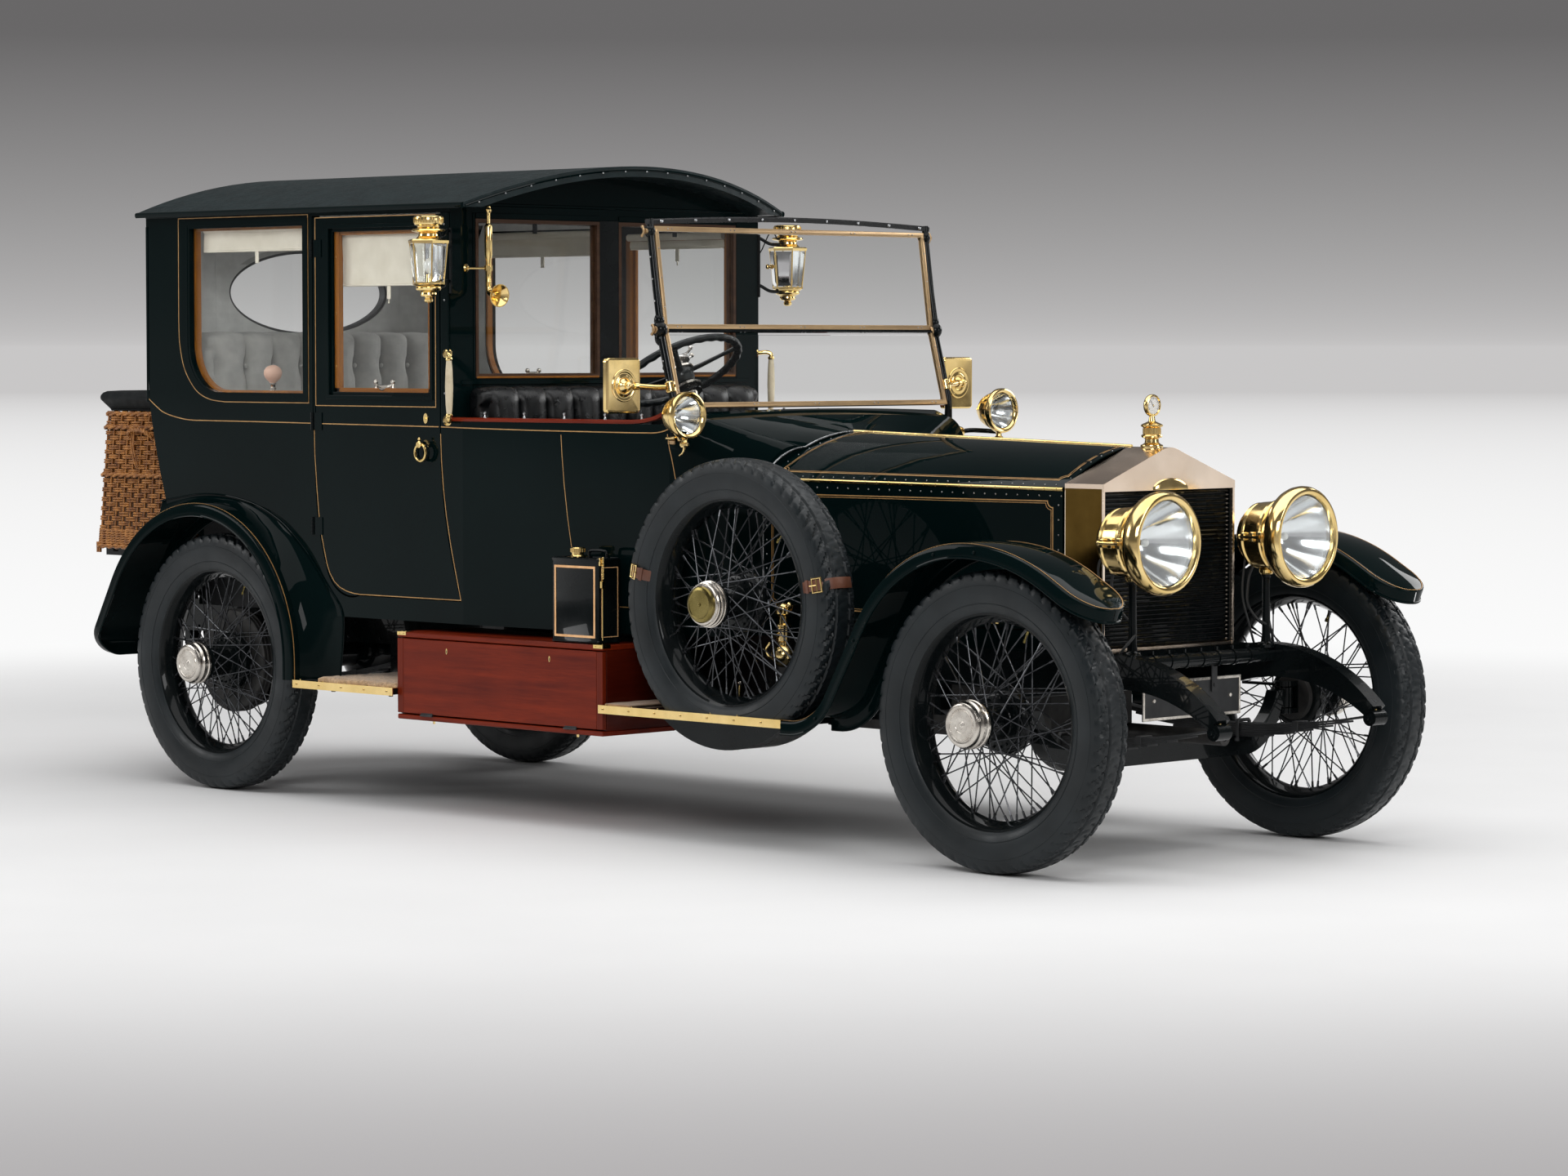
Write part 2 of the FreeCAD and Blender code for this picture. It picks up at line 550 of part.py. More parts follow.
def body_section(x, half, side_z, corner, top_z):
    """A closed station of the scuttle: flat foot, upright sides and an arched top."""
    corner_y, corner_z = corner
    mid_y = (half + corner_y) / 2 + (half - corner_y) * 0.22
    mid_z = (side_z + corner_z) / 2 + (corner_z - side_z) * 0.22
    crown_z = (corner_z + top_z) / 2 + (top_z - corner_z) * 0.25
    edges = [Part.LineSegment(V(x, -half, SILL_Z), V(x, half, SILL_Z)).toShape(),
             Part.LineSegment(V(x, half, SILL_Z), V(x, half, side_z)).toShape(),
             Part.Arc(V(x, half, side_z), V(x, mid_y, mid_z), V(x, corner_y, corner_z)).toShape(),
             Part.Arc(V(x, corner_y, corner_z), V(x, corner_y / 2, crown_z), V(x, 0, top_z)).toShape(),
             Part.Arc(V(x, 0, top_z), V(x, -corner_y / 2, crown_z), V(x, -corner_y, corner_z)).toShape(),
             Part.Arc(V(x, -corner_y, corner_z), V(x, -mid_y, mid_z), V(x, -half, side_z)).toShape(),
             Part.LineSegment(V(x, -half, side_z), V(x, -half, SILL_Z)).toShape()]
    return Part.Wire(edges)


# Scuttle stations: x, half width, side height, corner (y, z), centre height
SCUTTLE = [
    (SCREEN_X, COWL_HALF, 1225.0, (COWL_HALF - 80, 1335.0), SCREEN_Z),
    (440.0, COWL_HALF - 15, 1212.0, (COWL_HALF - 125, 1315.0), 1326.0),
    (490.0, COWL_HALF - 135, 1165.0, (COWL_HALF - 275, 1268.0), 1298.0),
    (SCUTTLE_X, BONNET_REAR[0], BONNET_REAR[1], (225.0, 1226.0), BONNET_REAR[2]),
]


def make_scuttle():
    """The cowl that sweeps from the bonnet out to the body's full width, open at the back."""
    outer = Part.makeLoft([body_section(*row) for row in SCUTTLE], True, True)
    wall = 18.0
    inner_rows = []
    for x, half, side_z, (cy, cz), top_z in SCUTTLE[:3]:
        inner_rows.append((x, half - wall, side_z - 6, (cy - 8, cz - wall), top_z - wall))
    inner_rows[0] = (SCREEN_X - 1,) + inner_rows[0][1:]
    last = SCUTTLE[3]
    inner_rows.append((last[0] - 25, last[1] - wall, last[2] - 6, (last[3][0] - 8, last[3][1] - wall),
                       last[4] - wall))
    inner = Part.makeLoft([body_section(*row) for row in inner_rows], True, True)
    inner = inner.cut(block(0, 2000, -1000, 1000, 0, SILL_Z + FLOOR_T))
    put("scuttle", outer.cut(inner))


# ---------------------------------------------------------------- coachwork
def door_prism(grow):
    """The rear door's shape through the whole wall; `grow` widens it for the opening."""
    rows = [(-1090.0, 709.0 - grow), ((-1228.0 - grow, 742.0 - grow), (-1266.0 - grow, 806.0)),
            ((-1302.0 - grow, 930.0), (-1317.0 - grow, 1056.0)), (-1331.0 - grow, 1300.0),
            (-1331.0 - grow, 1985.0 + grow), (-674.0 + grow, 1985.0 + grow), (-674.0 + grow, 1280.0),
            ((-652.0 + grow, 990.0), (-574.0 + grow, 709.0 - grow))]
    return plate(xz, -BODY_HALF, -BODY_HALF + PANEL, (-574.0 + grow, 709.0 - grow), rows)


FRONT_DOOR = (-100.0, 300.0, 705.0)     # x0, x1, foot height


def side_y(x):
    """Half the body's width at a station of the driver's compartment."""
    share = (x - TAPER_X) / (SCREEN_X - TAPER_X)
    return BODY_HALF + (COWL_HALF - BODY_HALF) * min(max(share, 0.0), 1.0)


def quarter_window(y0, y1):
    """The window behind the rear door, with its swept rear corner."""
    x0, x1, z0, z1 = QUARTER
    swept = ((x0 + 51, z0 + 50), (x0 + 169, z0))
    return plate(xz, y0, y1, (x1, z0), [(x1, z1), (x0, z1), (x0, z0 + 169), swept])


def make_body_sides():
    """Cabin walls with their windows and door openings, and the driver's side panels."""
    y0, y1 = -BODY_HALF, -BODY_HALF + PANEL
    wall = plate(xz, y0, y1, (DIVISION_X, SILL_Z), [
        (DIVISION_X, WALL_TOP_Z), (CABIN_TAIL, WALL_TOP_Z), (CABIN_TAIL + 12, 1355.0),
        ((CABIN_TAIL + 50, 1185.0), (TUCK_X, 905.0)), (TUCK_X, SILL_Z)])
    arch = under_run(REAR_GUARD, 0.0, -BODY_HALF, BODY_HALF)
    wall = wall.cut(quarter_window(y0, y1)).cut(door_prism(SHUT)).cut(arch)
    put("cabin_sides", both(wall))
    side = plate(xy, SILL_Z, RAIL_TOP_Z, (DIVISION_X, BODY_HALF), [
        (TAPER_X, BODY_HALF), (SCREEN_X, COWL_HALF), (SCREEN_X, COWL_HALF - SIDE_T),
        (TAPER_X, BODY_HALF - SIDE_T), (DIVISION_X, BODY_HALF - SIDE_T)])
    side = side.cut(mirrored(door_prism(SHUT)))
    x0, x1, z0 = FRONT_DOOR
    opening = block(x0 - SHUT, x1 + SHUT, 500.0, BODY_HALF + 1, z0 - SHUT, RAIL_TOP_Z + 1)
    put("driver_panels", Part.makeCompound([mirrored(side), side.cut(opening)]))
    door = side.common(block(x0, x1, 500.0, BODY_HALF + 1, z0, RAIL_TOP_Z))
    hinge_x, hinge_y = x0 - SHUT / 2, side_y(x0) + HINGE_R
    parts = [door]
    for z in (800.0, 1160.0):
        parts.append(rod((hinge_x, hinge_y, z), (hinge_x, hinge_y, z + 60), HINGE_R))
        leaf = block(hinge_x, x0 + 30, side_y(x0 + 30) - 4, hinge_y - 1, z, z + 60)
        parts.append(leaf.cut(block(hinge_x - 1, x0, 0, side_y(x0), z, z + 60)))
    handle = rod((x1 - 40, side_y(x1 - 40) - 2, 1222.0), (x1 - 40, side_y(x1 - 40) + 30, 1222.0), 8.0)
    grip = rod((x1 - 90, side_y(x1 - 40) + 26, 1222.0), (x1 - 36, side_y(x1 - 40) + 26, 1222.0), 6.0)
    put("front_door_left", fuse(parts + [handle, grip]))


def make_rear_doors():
    x0, x1, z0, z1 = DOOR_WINDOW
    window = block(x0, x1, -BODY_HALF, -BODY_HALF + PANEL, z0, z1)
    door = door_prism(0.0).cut(window)
    parts = [door]
    for z in (905.0, 1262.0, 1850.0):
        parts.append(rod((-1333.5, -BODY_HALF - 5, z), (-1333.5, -BODY_HALF - 5, z + 60), 5.0))
        parts.append(block(-1333.5, -1285.0, -BODY_HALF - 3, -BODY_HALF, z, z + 60))
    handle = Part.makeTorus(27.0, 4.0, V(-744.0, -BODY_HALF - 14, 1195.0), V(0, 1, 0))
    boss = rod((-744.0, -BODY_HALF - 20, 1222.0), (-744.0, -BODY_HALF, 1222.0), 10.0)
    right = fuse(parts + [handle, boss])
    put("rear_door_right", right)
    put("rear_door_left", mirrored(right))
    glass_y = -BODY_HALF + GLASS_IN
    pane = block(x0, x1, glass_y, glass_y + GLASS_T, z0, z1)
    put("rear_door_glass_right", pane)
    put("rear_door_glass_left", mirrored(pane))


def under_roof(x0, x1, half, foot):
    """The cabin's cross section up to the underside of the roof, between two planes."""
    step = ROOF_HALF - 70
    return plate(yz, x0, x1, (-half, foot), [
        (half, foot), (half, WALL_TOP_Z), (step, WALL_TOP_Z),
        ((0.0, WALL_TOP_Z + ROOF_RISE - 8), (-step, WALL_TOP_Z)), (-half, WALL_TOP_Z)])


def make_cabin_ends():
    """The rear wall, which tucks in below the belt, and the division behind the driver."""
    inner = BODY_HALF - PANEL
    top = WALL_TOP_Z + ROOF_RISE
    face = CABIN_TAIL + BACK_T
    back = plate(xz, -inner, inner, (CABIN_TAIL, top), [
        (CABIN_TAIL, WALL_TOP_Z), (CABIN_TAIL + 12, 1355.0), ((CABIN_TAIL + 50, 1185.0), (TUCK_X, 905.0)),
        (TUCK_X, SILL_Z), (TUCK_X + BACK_T, SILL_Z), (TUCK_X + BACK_T, 905.0),
        ((face + 50, 1185.0), (face + 12, 1355.0)), (face, WALL_TOP_Z), (face, top)])
    back = back.common(under_roof(CABIN_TAIL - 10, CABIN_TAIL + 262, inner, SILL_Z))
    half_width, half_height, oval_z = OVAL
    curve = Part.Ellipse(V(0, 0, 0), half_width, half_height).toShape()
    curve.rotate(V(0, 0, 0), V(0, 0, 1), 90)
    curve.rotate(V(0, 0, 0), V(0, 1, 0), 90)
    curve.translate(V(CABIN_TAIL - 20, 0, oval_z))
    hole = Part.Face(Part.Wire([curve])).extrude(V(80, 0, 0))
    guard_room = under_run(REAR_GUARD, 0.0, GUARD_IN, BODY_HALF)
    put("cabin_back", back.cut(hole).cut(guard_room).cut(mirrored(guard_room)))
    wall = under_roof(DIVISION_X - BACK_T, DIVISION_X, inner, SILL_Z + FLOOR_T)
    y0, y1, z0, z1 = DIVISION_WINDOW
    opening = both(block(DIVISION_X - BACK_T - 1, DIVISION_X + 1, y0, y1, z0, z1))
    put("division", wall.cut(opening))
    glass_x = DIVISION_X - GLASS_IN - 3
    pane = block(glass_x, glass_x + GLASS_T, y0, y1, z0, z1)
    oval = Part.Face(Part.Wire([curve])).extrude(V(GLASS_T, 0, 0))
    oval.translate(V(30, 0, 0))
    quarter = quarter_window(-BODY_HALF + GLASS_IN, -BODY_HALF + GLASS_IN + GLASS_T)
    panes = [mirrored(pane), pane, oval, quarter, mirrored(quarter)]
    panes += windscreen_panes()
    put("window_glass", Part.makeCompound(panes))


def make_roof():
    step = ROOF_HALF - 70
    z = WALL_TOP_Z
    shell = plate(yz, CABIN_TAIL - 16, ROOF_FRONT + ROOF_BOW, (-ROOF_HALF, z), [
        (-step, z), ((0.0, z + ROOF_RISE - 8), (step, z)), (ROOF_HALF, z), (ROOF_HALF, z + 14),
        ((0.0, z + ROOF_RISE + ROOF_T), (-ROOF_HALF, z + 14))])
    plan = plate(xy, z - 10, z + 300, (CABIN_TAIL - 16, -ROOF_HALF), [
        (ROOF_FRONT, -ROOF_HALF), ((ROOF_FRONT + ROOF_BOW, 0.0), (ROOF_FRONT, ROOF_HALF)),
        (CABIN_TAIL - 16, ROOF_HALF)])
    put("roof", shell.common(plan))


def make_floor():
    """The floor on the frame rails, narrow between the rear wheels, with both seat boxes."""
    inner = BODY_HALF - PANEL
    top = SILL_Z + FLOOR_T
    front_box, rear_box = SEAT_BOX_Z
    back_x = TUCK_X + BACK_T
    parts = [block(HEEL_X, DIVISION_X, -inner, inner, SILL_Z, top),
             plate(xy, SILL_Z, top, (DIVISION_X, -inner), [
                 (TAPER_X, -inner), (SCREEN_X, SIDE_T - COWL_HALF), (SCREEN_X, COWL_HALF - SIDE_T),
                 (TAPER_X, inner), (DIVISION_X, inner)]),
             block(back_x, HEEL_X, 20 - GUARD_IN, GUARD_IN - 20, SILL_Z, top),
             block(DIVISION_X, -130.0, -GUARD_IN, GUARD_IN, top, front_box),
             block(back_x + 10, back_x + 530, 40 - GUARD_IN, GUARD_IN - 40, top, rear_box)]
    house = under_run(REAR_GUARD, 0.0, GUARD_IN - 20, GUARD_IN)
    house = house.common(block(back_x, HEEL_X, 0, GUARD_OUT, SILL_Z, 1200.0))
    parts += [house, mirrored(house)]
    put("body_floor", fuse(parts))


def make_seats():
    """Plain closed cushions for the driver and the rear passengers."""
    gap = 0.5
    front_box, rear_box = SEAT_BOX_Z
    half = BODY_HALF - 76
    x = DIVISION_X + gap
    front_back = block(x, DIVISION_X + 120, -half - 5, half + 5, front_box + 160, front_box + 485)
    front_seat = block(x, DIVISION_X + 510, -half, half, front_box + gap, front_box + 158)
    put("driver_seat", Part.makeCompound([soften(front_back, SEAT_ROUND), soften(front_seat, SEAT_ROUND)]))
    x = CABIN_TAIL + 92
    rear_back = block(x, x + 160, -GUARD_IN, GUARD_IN, rear_box + 160 + gap, rear_box + 598)
    rear_seat = block(x + 90, x + 625, -GUARD_IN, GUARD_IN, rear_box + gap, rear_box + 160)
    put("rear_seat", Part.makeCompound([soften(rear_back, SEAT_ROUND), soften(rear_seat, SEAT_ROUND)]))


def soften(shape, radius):
    """The shape with every edge rounded."""
    return shape.makeFillet(radius, shape.Edges)


# ---------------------------------------------------------------- windscreen
SCREEN_POINTS = [(SCREEN_X + 8, 1352.0), (302.0, 1600.0), (256.0, 1928.0)]    # foot, joint, head: x and z


def screen_leaves():
    """The two leaves' corner points, each a little clear of the joint between them."""
    foot, joint, head = [V(x, 0, z) for x, z in SCREEN_POINTS]
    lower = (joint - foot).normalize()
    upper = (head - joint).normalize()
    return [(foot + lower * 8, joint - lower * 9), (joint + upper * 9, head - upper * 8)]


def leaf_slab(low, high, reach, thick):
    """A flat slab in a leaf's plane; `reach` widens it past the leaf's corner points."""
    along = (high - low).normalize()
    across = V(along.z, 0, -along.x) * thick
    start = low - along * reach - across / 2
    end = high + along * reach - across / 2
    wire = Part.makePolygon([start, end, end + across, start + across, start])
    half = SCREEN_HALF + reach
    slab = Part.Face(wire).extrude(V(0, 2 * half, 0))
    slab.translate(V(0, -half, 0))
    return slab


def make_windscreen():
    """Two framed leaves between jointed posts, under a straight top rail."""
    foot, joint, head = SCREEN_POINTS
    reach, thick = SCREEN_EDGE
    rail_z = head[1] + 24
    frames = [leaf_slab(*leaf, reach, thick).cut(leaf_slab(*leaf, -reach, thick + 2))
              for leaf in screen_leaves()]
    for side in (-1, 1):
        y = side * POST_Y
        for x, z in SCREEN_POINTS:
            frames.append(rod((x, side * (SCREEN_HALF - 3), z), (x, y, z), 10.0))
        frames.append(rod((foot[0] - 2, y, SCREEN_Z - 40), (foot[0], y, foot[1]), POST_R))
        frames.append(rod((foot[0], y, foot[1]), (joint[0], y, joint[1]), POST_R))
        frames.append(rod((joint[0], y, joint[1]), (head[0], y, rail_z), POST_R - 2))
    frames.append(rod((head[0], -POST_Y, rail_z), (head[0], POST_Y, rail_z), POST_R - 4))
    put("windscreen_frame", fuse(frames).cut(NODES["scuttle"]))


def windscreen_panes():
    return [leaf_slab(*leaf, -SCREEN_EDGE[0], 5.0) for leaf in screen_leaves()]


# ---------------------------------------------------------------- guards and boards
def guard(run, inward):
    """A curved sheet with a turned down edge on both sides."""
    top = strip(run, 0.0, inward * GUARD_T, GUARD_IN, GUARD_OUT)
    outer = strip(run, 0.0, inward * SKIRT, GUARD_OUT - GUARD_T, GUARD_OUT)
    inner = strip(run, 0.0, inward * SKIRT, GUARD_IN, GUARD_IN + GUARD_T)
    return fuse([top, outer, inner])


def make_guards():
    start_x = BOARD_FRONT - 100
    middle, half = (GUARD_IN + GUARD_OUT) / 2, (GUARD_OUT - GUARD_IN) / 2
    tip = plate(xy, 0.0, 1200.0, (start_x, GUARD_IN), [
        (GUARD_TIP, GUARD_IN), ((GUARD_TIP + half, middle), (GUARD_TIP, GUARD_OUT)), (start_x, GUARD_OUT)])
    front = guard(FRONT_GUARD, -1).common(tip)
    tail_z, corner = BOARD_Z + 25, 95.0
    bow = corner * (1 - math.sqrt(0.5))
    tail = plate(yz, REAR_X - 900, BOARD_REAR - 200, (GUARD_IN, 1200.0), [
        (GUARD_IN, tail_z), (GUARD_OUT - corner, tail_z),
        ((GUARD_OUT - bow, tail_z + bow), (GUARD_OUT, tail_z + corner)), (GUARD_OUT, 1200.0)])
    foot = block(BOARD_REAR - 200, BOARD_REAR + 50, GUARD_IN, GUARD_OUT, 0.0, 1200.0)
    rear = guard(REAR_GUARD, 1).common(tail.fuse(foot))
    put("guards", Part.makeCompound([front, mirrored(front).cut(spare_bed()), rear, mirrored(rear)]))


def spare_bed():
    """The room that the spare wheel's tyre takes in the board and the guard."""
    x, y, z = SPARE
    return rod((x, y - TYRE_W / 2 - 4, z), (x, y + TYRE_W / 2 + 4, z), TYRE_R + 0.5)


def make_boards():
    """Running boards hung from upright aprons; the right board has a well for the spare wheel."""
    apron_y = RAIL_OUT + 4
    z0 = BOARD_Z - BOARD_T
    box_x0, box_x1 = TOOLBOX[0], TOOLBOX[1]
    whole = [(BOARD_REAR, BOARD_FRONT)]
    split = [(BOARD_REAR, box_x0), (box_x1, BOARD_FRONT)]
    sides = {}
    for name, spans in (("left", whole), ("right", split)):
        parts = [block(BOARD_REAR + 25, BOARD_FRONT + 126, RAIL_OUT, apron_y, z0, SILL_Z)]
        parts += [block(low, high, apron_y, BOARD_OUT, z0, BOARD_Z) for low, high in spans]
        sides[name] = fuse(parts)
    right = mirrored(sides["right"])
    x, y, z = SPARE
    y0, y1 = y - TYRE_W / 2 - 8, y + TYRE_W / 2 + 8
    pan = rod((x, y0, z), (x, y1, z), TYRE_R + 5.5).common(block(x - 600, x + 600, y0, y1, 0, z0))
    right = right.fuse(pan).cut(spare_bed())
    ends = [shelf_section(SCUTTLE_X, BONNET_REAR[0]), shelf_section(RADIATOR_X, BONNET_FRONT[0])]
    shelf = Part.makeLoft(ends, True, True)
    put("bonnet_shelves", both(shelf))
    put("running_boards", Part.makeCompound([right, sides["left"]]))


def shelf_section(x, half):
    """The ledge that the bonnet's side closes on."""
    top = BONNET_FOOT_Z - 5
    inner, outer = half - 60, half + 6
    corners = [(inner, SILL_Z), (outer, SILL_Z), (outer, top), (inner, top), (inner, SILL_Z)]
    return Part.makePolygon([V(x, y, z) for y, z in corners])


def make_toolbox():
    """A wooden chest in the running board with a front that drops, and the can on its top."""
    x0, x1, y0, y1, z0, z1 = TOOLBOX
    w = TOOLBOX_WALL
    chest = block(x0, x1, y0, y1, z0, z1)
    chest = chest.cut(block(x0 + w, x1 - w, y0 - 1, y1 - w, z0 + w, z1 - w))
    chest = chest.cut(block(x0, x1, y0, y0 + w, z0 + w, z1 - w))
    put("toolbox", chest)
    door = block(x0, x1, y0, y0 + w - 1, z0 + w + 4, z1 - w - SHUT)
    hinge_y, hinge_z = y0 - 4.5, z0 + w + 1
    hinges = []
    for x in (x0 + 120, x1 - 180):
        hinges.append(rod((x, hinge_y, hinge_z), (x + 60, hinge_y, hinge_z), 3.5))
        hinges.append(block(x, x + 60, y0 - 3, y0, z0 + w + 4, z0 + w + 30))
        hinges.append(block(x, x + 60, y0 - 5, y0 - 2.5, z0 + w + 1, z0 + w + 8))
    put("toolbox_front", fuse([door] + hinges))
    can_x0, can_x1, y, height = CAN
    top = z1 + height
    can = soften(block(can_x0, can_x1, y - 52, y + 52, z1, top), 6.0)
    cap = rod((can_x0 + 73, y, top), (can_x0 + 73, y, top + 30), 22.0)
    grip = [rod((x, y, top), (x, y, top + 17), 4.0) for x in (can_x1 - 91, can_x1 - 21)]
    grip.append(rod((can_x1 - 97, y, top + 17), (can_x1 - 15, y, top + 17), 5.0))
    put("petrol_can", fuse([can, cap] + grip))


# ---------------------------------------------------------------- lamps and fittings
def make_lamps():
    # radius and distance ahead of the lamp's rim, along its axis
    shell = turned(xz, V(1, 0, 0), (-250.0, 0.0), [
        (-250.0, 34.0), (-205.0, 78.0), (-190.0, 96.0), (-110.0, 106.0), (-60.0, 138.0), (-30.0, 155.0),
        (10.0, 155.0), (10.0, 128.0), (-30.0, 126.0), ((-110.0, 92.0), (-160.0, 0.0))])
    headlamp = shell.copy()
    headlamp.translate(V(*HEADLAMP))
    post_y = HEADLAMP[1] - 13
    post = rod((TUBE_X, post_y, TUBE_Z), (TUBE_X, post_y, 900.0), 12.0)
    foot = rod((TUBE_X, post_y, TUBE_Z), (TUBE_X, post_y, TUBE_Z + 40), 21.0)
    stand = fuse([post, foot]).cut(rod((TUBE_X, -RAIL_OUT, TUBE_Z), (TUBE_X, RAIL_OUT, TUBE_Z), TUBE_R))
    put("headlamps", both(largest(fuse([headlamp, stand]))))
    x, y = SIDE_LAMP
    stack = [  # radius, low and high
        (12.0, 1690.0, 1712.0), (38.0, 1712.0, 1735.0), (66.0, 1735.0, 1750.0), (70.0, 1900.0, 1915.0),
        (46.0, 1915.0, 1940.0), (34.0, 1940.0, 1962.0), (44.0, 1962.0, 1976.0)]
    parts = [rod((x, y, low), (x, y, high), radius) for radius, low, high in stack]
    parts.append(hexagon_frustum(x, y, 1750.0, 48.0, 1900.0, 66.0))
    for z in (1740.0, 1906.0):
        parts.append(rod((x - 40, BODY_HALF - PANEL / 2, z), (x, y - 30, z), 7.0))
    side = fuse(parts).cut(block(-900, DIVISION_X, 0, BODY_HALF, 1000, 2200))
    side = side.cut(block(-900, 0, 0, BODY_HALF - PANEL, 1000, 2200))
    put("side_lamps", both(side))
    spot = turned(xz, V(1, 0, 0), (-95.0, 0.0), [
        (-95.0, 25.0), (-70.0, 55.0), (-20.0, 68.0), (-12.0, 75.0), (8.0, 75.0), (8.0, 58.0), (-15.0, 54.0),
        (-52.0, 34.0), (-66.0, 0.0)])
    x, y, z = SPOT_LAMP
    spot.translate(V(x, y, z))
    stalk = rod(SPOT_FOOT, (x - 20, y, z - 68), 9.0)
    lamp = fuse([spot, stalk]).cut(NODES["scuttle"])
    put("spot_lamps", both(largest(lamp)))


def largest(shape):
    """The biggest of a shape's separate solids."""
    return max(shape.Solids, key=lambda solid: solid.Volume)


def hexagon_frustum(x, y, z0, r0, z1, r1):
    wires = []
    for z, r in ((z0, r0), (z1, r1)):
        turns = [math.radians(60 * i + 30) for i in range(7)]
        points = [V(x + r * math.cos(turn), y + r * math.sin(turn), z) for turn in turns]
        wires.append(Part.makePolygon(points))
    return Part.makeLoft(wires, True, True)


def make_fittings():
    """Mirrors on the windscreen posts, grab handles, the horn and the blank front plate."""
    glass = soften(block(*MIRROR), 8.0)
    x, y, z = MIRROR_CLAMP
    arm = rod((x, y, z), (MIRROR[1], MIRROR[2] + 48, z), 7.0)
    clamp = rod((x, y, z - 12), (x, y, z + 12), 11.0)
    mirror = fuse([glass, arm, clamp]).cut(NODES["windscreen_frame"])
    put("mirrors", both(largest(mirror)))
    x, y, low, high = GRAB
    grip = [rod((x, y, low + 4), (x, y, high - 4), 11.0)]
    for z in (low, high):
        grip.append(rod((x - 45, BODY_HALF, z), (x, y, z), 9.0))
    put("grab_handles", both(largest(fuse(grip).cut(NODES["cabin_sides"]))))
    x, y = HORN
    tube = [rod((x, y, 1730.0), (x, y, 2000.0), 8.0),
            rod((x, y, 1730.0), (x + 40, y, 1716.0), 8.0),
            Part.makeCone(9.0, 34.0, 55.0, V(x + 38, y, 1717.0), V(1, 0, -0.25)),
            rod((DIVISION_X, y - 40, 1805.0), (x, y, 1805.0), 5.0)]
    put("horn", fuse(tube).cut(NODES["division"]))
    x, half, low, high = PLATE
    face = block(x, x + 4, -half, half, low, high)
    for y in (-PLATE_HOLE_Y, PLATE_HOLE_Y):
        middle = (low + high) / 2
        face = face.cut(rod((x - 5, y, middle), (x + 15, y, middle), 3.5))
    parts = [face]
    for y in (-100.0, 100.0):
        parts.append(block(x + 4, x + 8, y - 12, y + 12, low + 75, TUBE_Z))
        parts.append(block(x + 4, TUBE_X, y - 12, y + 12, TUBE_Z - 30, TUBE_Z))
    tube = rod((TUBE_X, -RAIL_IN, TUBE_Z), (TUBE_X, RAIL_IN, TUBE_Z), TUBE_R)
    put("number_plate", fuse(parts).cut(tube))


# ---------------------------------------------------------------- luggage
TRUNK = (CABIN_TAIL - 28, 550.0, 807.0, 1310.0)     # front face, half width, foot and top of the basket


def make_luggage():
    """A wicker trunk with a hinged lid on an iron rack."""
    front, half, z0, z1 = TRUNK
    top_x, foot_x = TAIL_X + 60, TAIL_X
    w = 16.0
    basket = plate(xz, -half, half, (front, z0), [(front, z1), (top_x, z1), (foot_x, z0)])
    hollow = plate(xz, -half + w, half - w, (front - w, z0 + w), [
        (front - w, z1 + 1), (top_x + w, z1 + 1), (foot_x + w, z0 + w)])
    basket = basket.cut(hollow)
    hinge_x, hinge_z = front + 8, z1 + 82
    brackets = []
    for y in (-380.0, 340.0):
        brackets.append(block(front, hinge_x + 4, y, y + 40, z1 - 60, hinge_z))
        brackets.append(rod((hinge_x, y, hinge_z), (hinge_x, y + 40, hinge_z), 5.0))
    put("trunk_basket", fuse([basket] + brackets))
    lid = block(top_x - 14, front - 6, -half - 14, half + 14, z1 + 2, z1 + 76)
    knuckles = []
    for y in (-340.0 + 0.5, 299.5):
        knuckles.append(rod((hinge_x, y, hinge_z), (hinge_x, y + 40, hinge_z), 5.0))
        knuckles.append(block(front - 40, hinge_x, y, y + 40, z1 + 76, z1 + 81))
    put("trunk_lid", fuse([lid] + knuckles))
    tail, top, bar = TAIL_X + 10, z0 - 0.3, 30.0
    parts = [block(tail, TUCK_X + 10, y, y + bar, RACK_Z, top) for y in (-500.0, -355.0, 325.0, 470.0)]
    for x in (tail, front - 270, front - 10, TUCK_X - 20):
        parts.append(block(x, x + bar, -500.0, 500.0, RACK_Z, top))
    for x in (RAIL_TAIL + 10, front - 10):
        for y in (-SPRING_Y, SPRING_Y):
            parts.append(block(x, x + bar, y - bar / 2, y + bar / 2, SILL_Z, top))
    body = block(TUCK_X, TUCK_X + 120, -500.0, 500.0, 700.0, 905.0)
    put("luggage_rack", fuse(parts).cut(body))


def export_all():
    os.makedirs("parts", exist_ok=True)
    for name, shape in NODES.items():
        moved = shape.copy()
        moved.translate(V(SHIFT_X, 0, 0))
        moved.exportStep(os.path.join("parts", name + ".step"))
        print(name, len(moved.Solids), round(moved.Volume / 1e6, 2), moved.isValid())


make_wheels()
make_frame()
make_axles()
make_steering()
make_driver_controls()
make_power_unit()
make_bonnet()
make_radiator()
make_scuttle()
make_body_sides()
make_rear_doors()
make_cabin_ends()
make_roof()
make_floor()
make_seats()
make_windscreen()
make_guards()
make_boards()
make_toolbox()
make_lamps()
make_fittings()
make_luggage()
export_all()
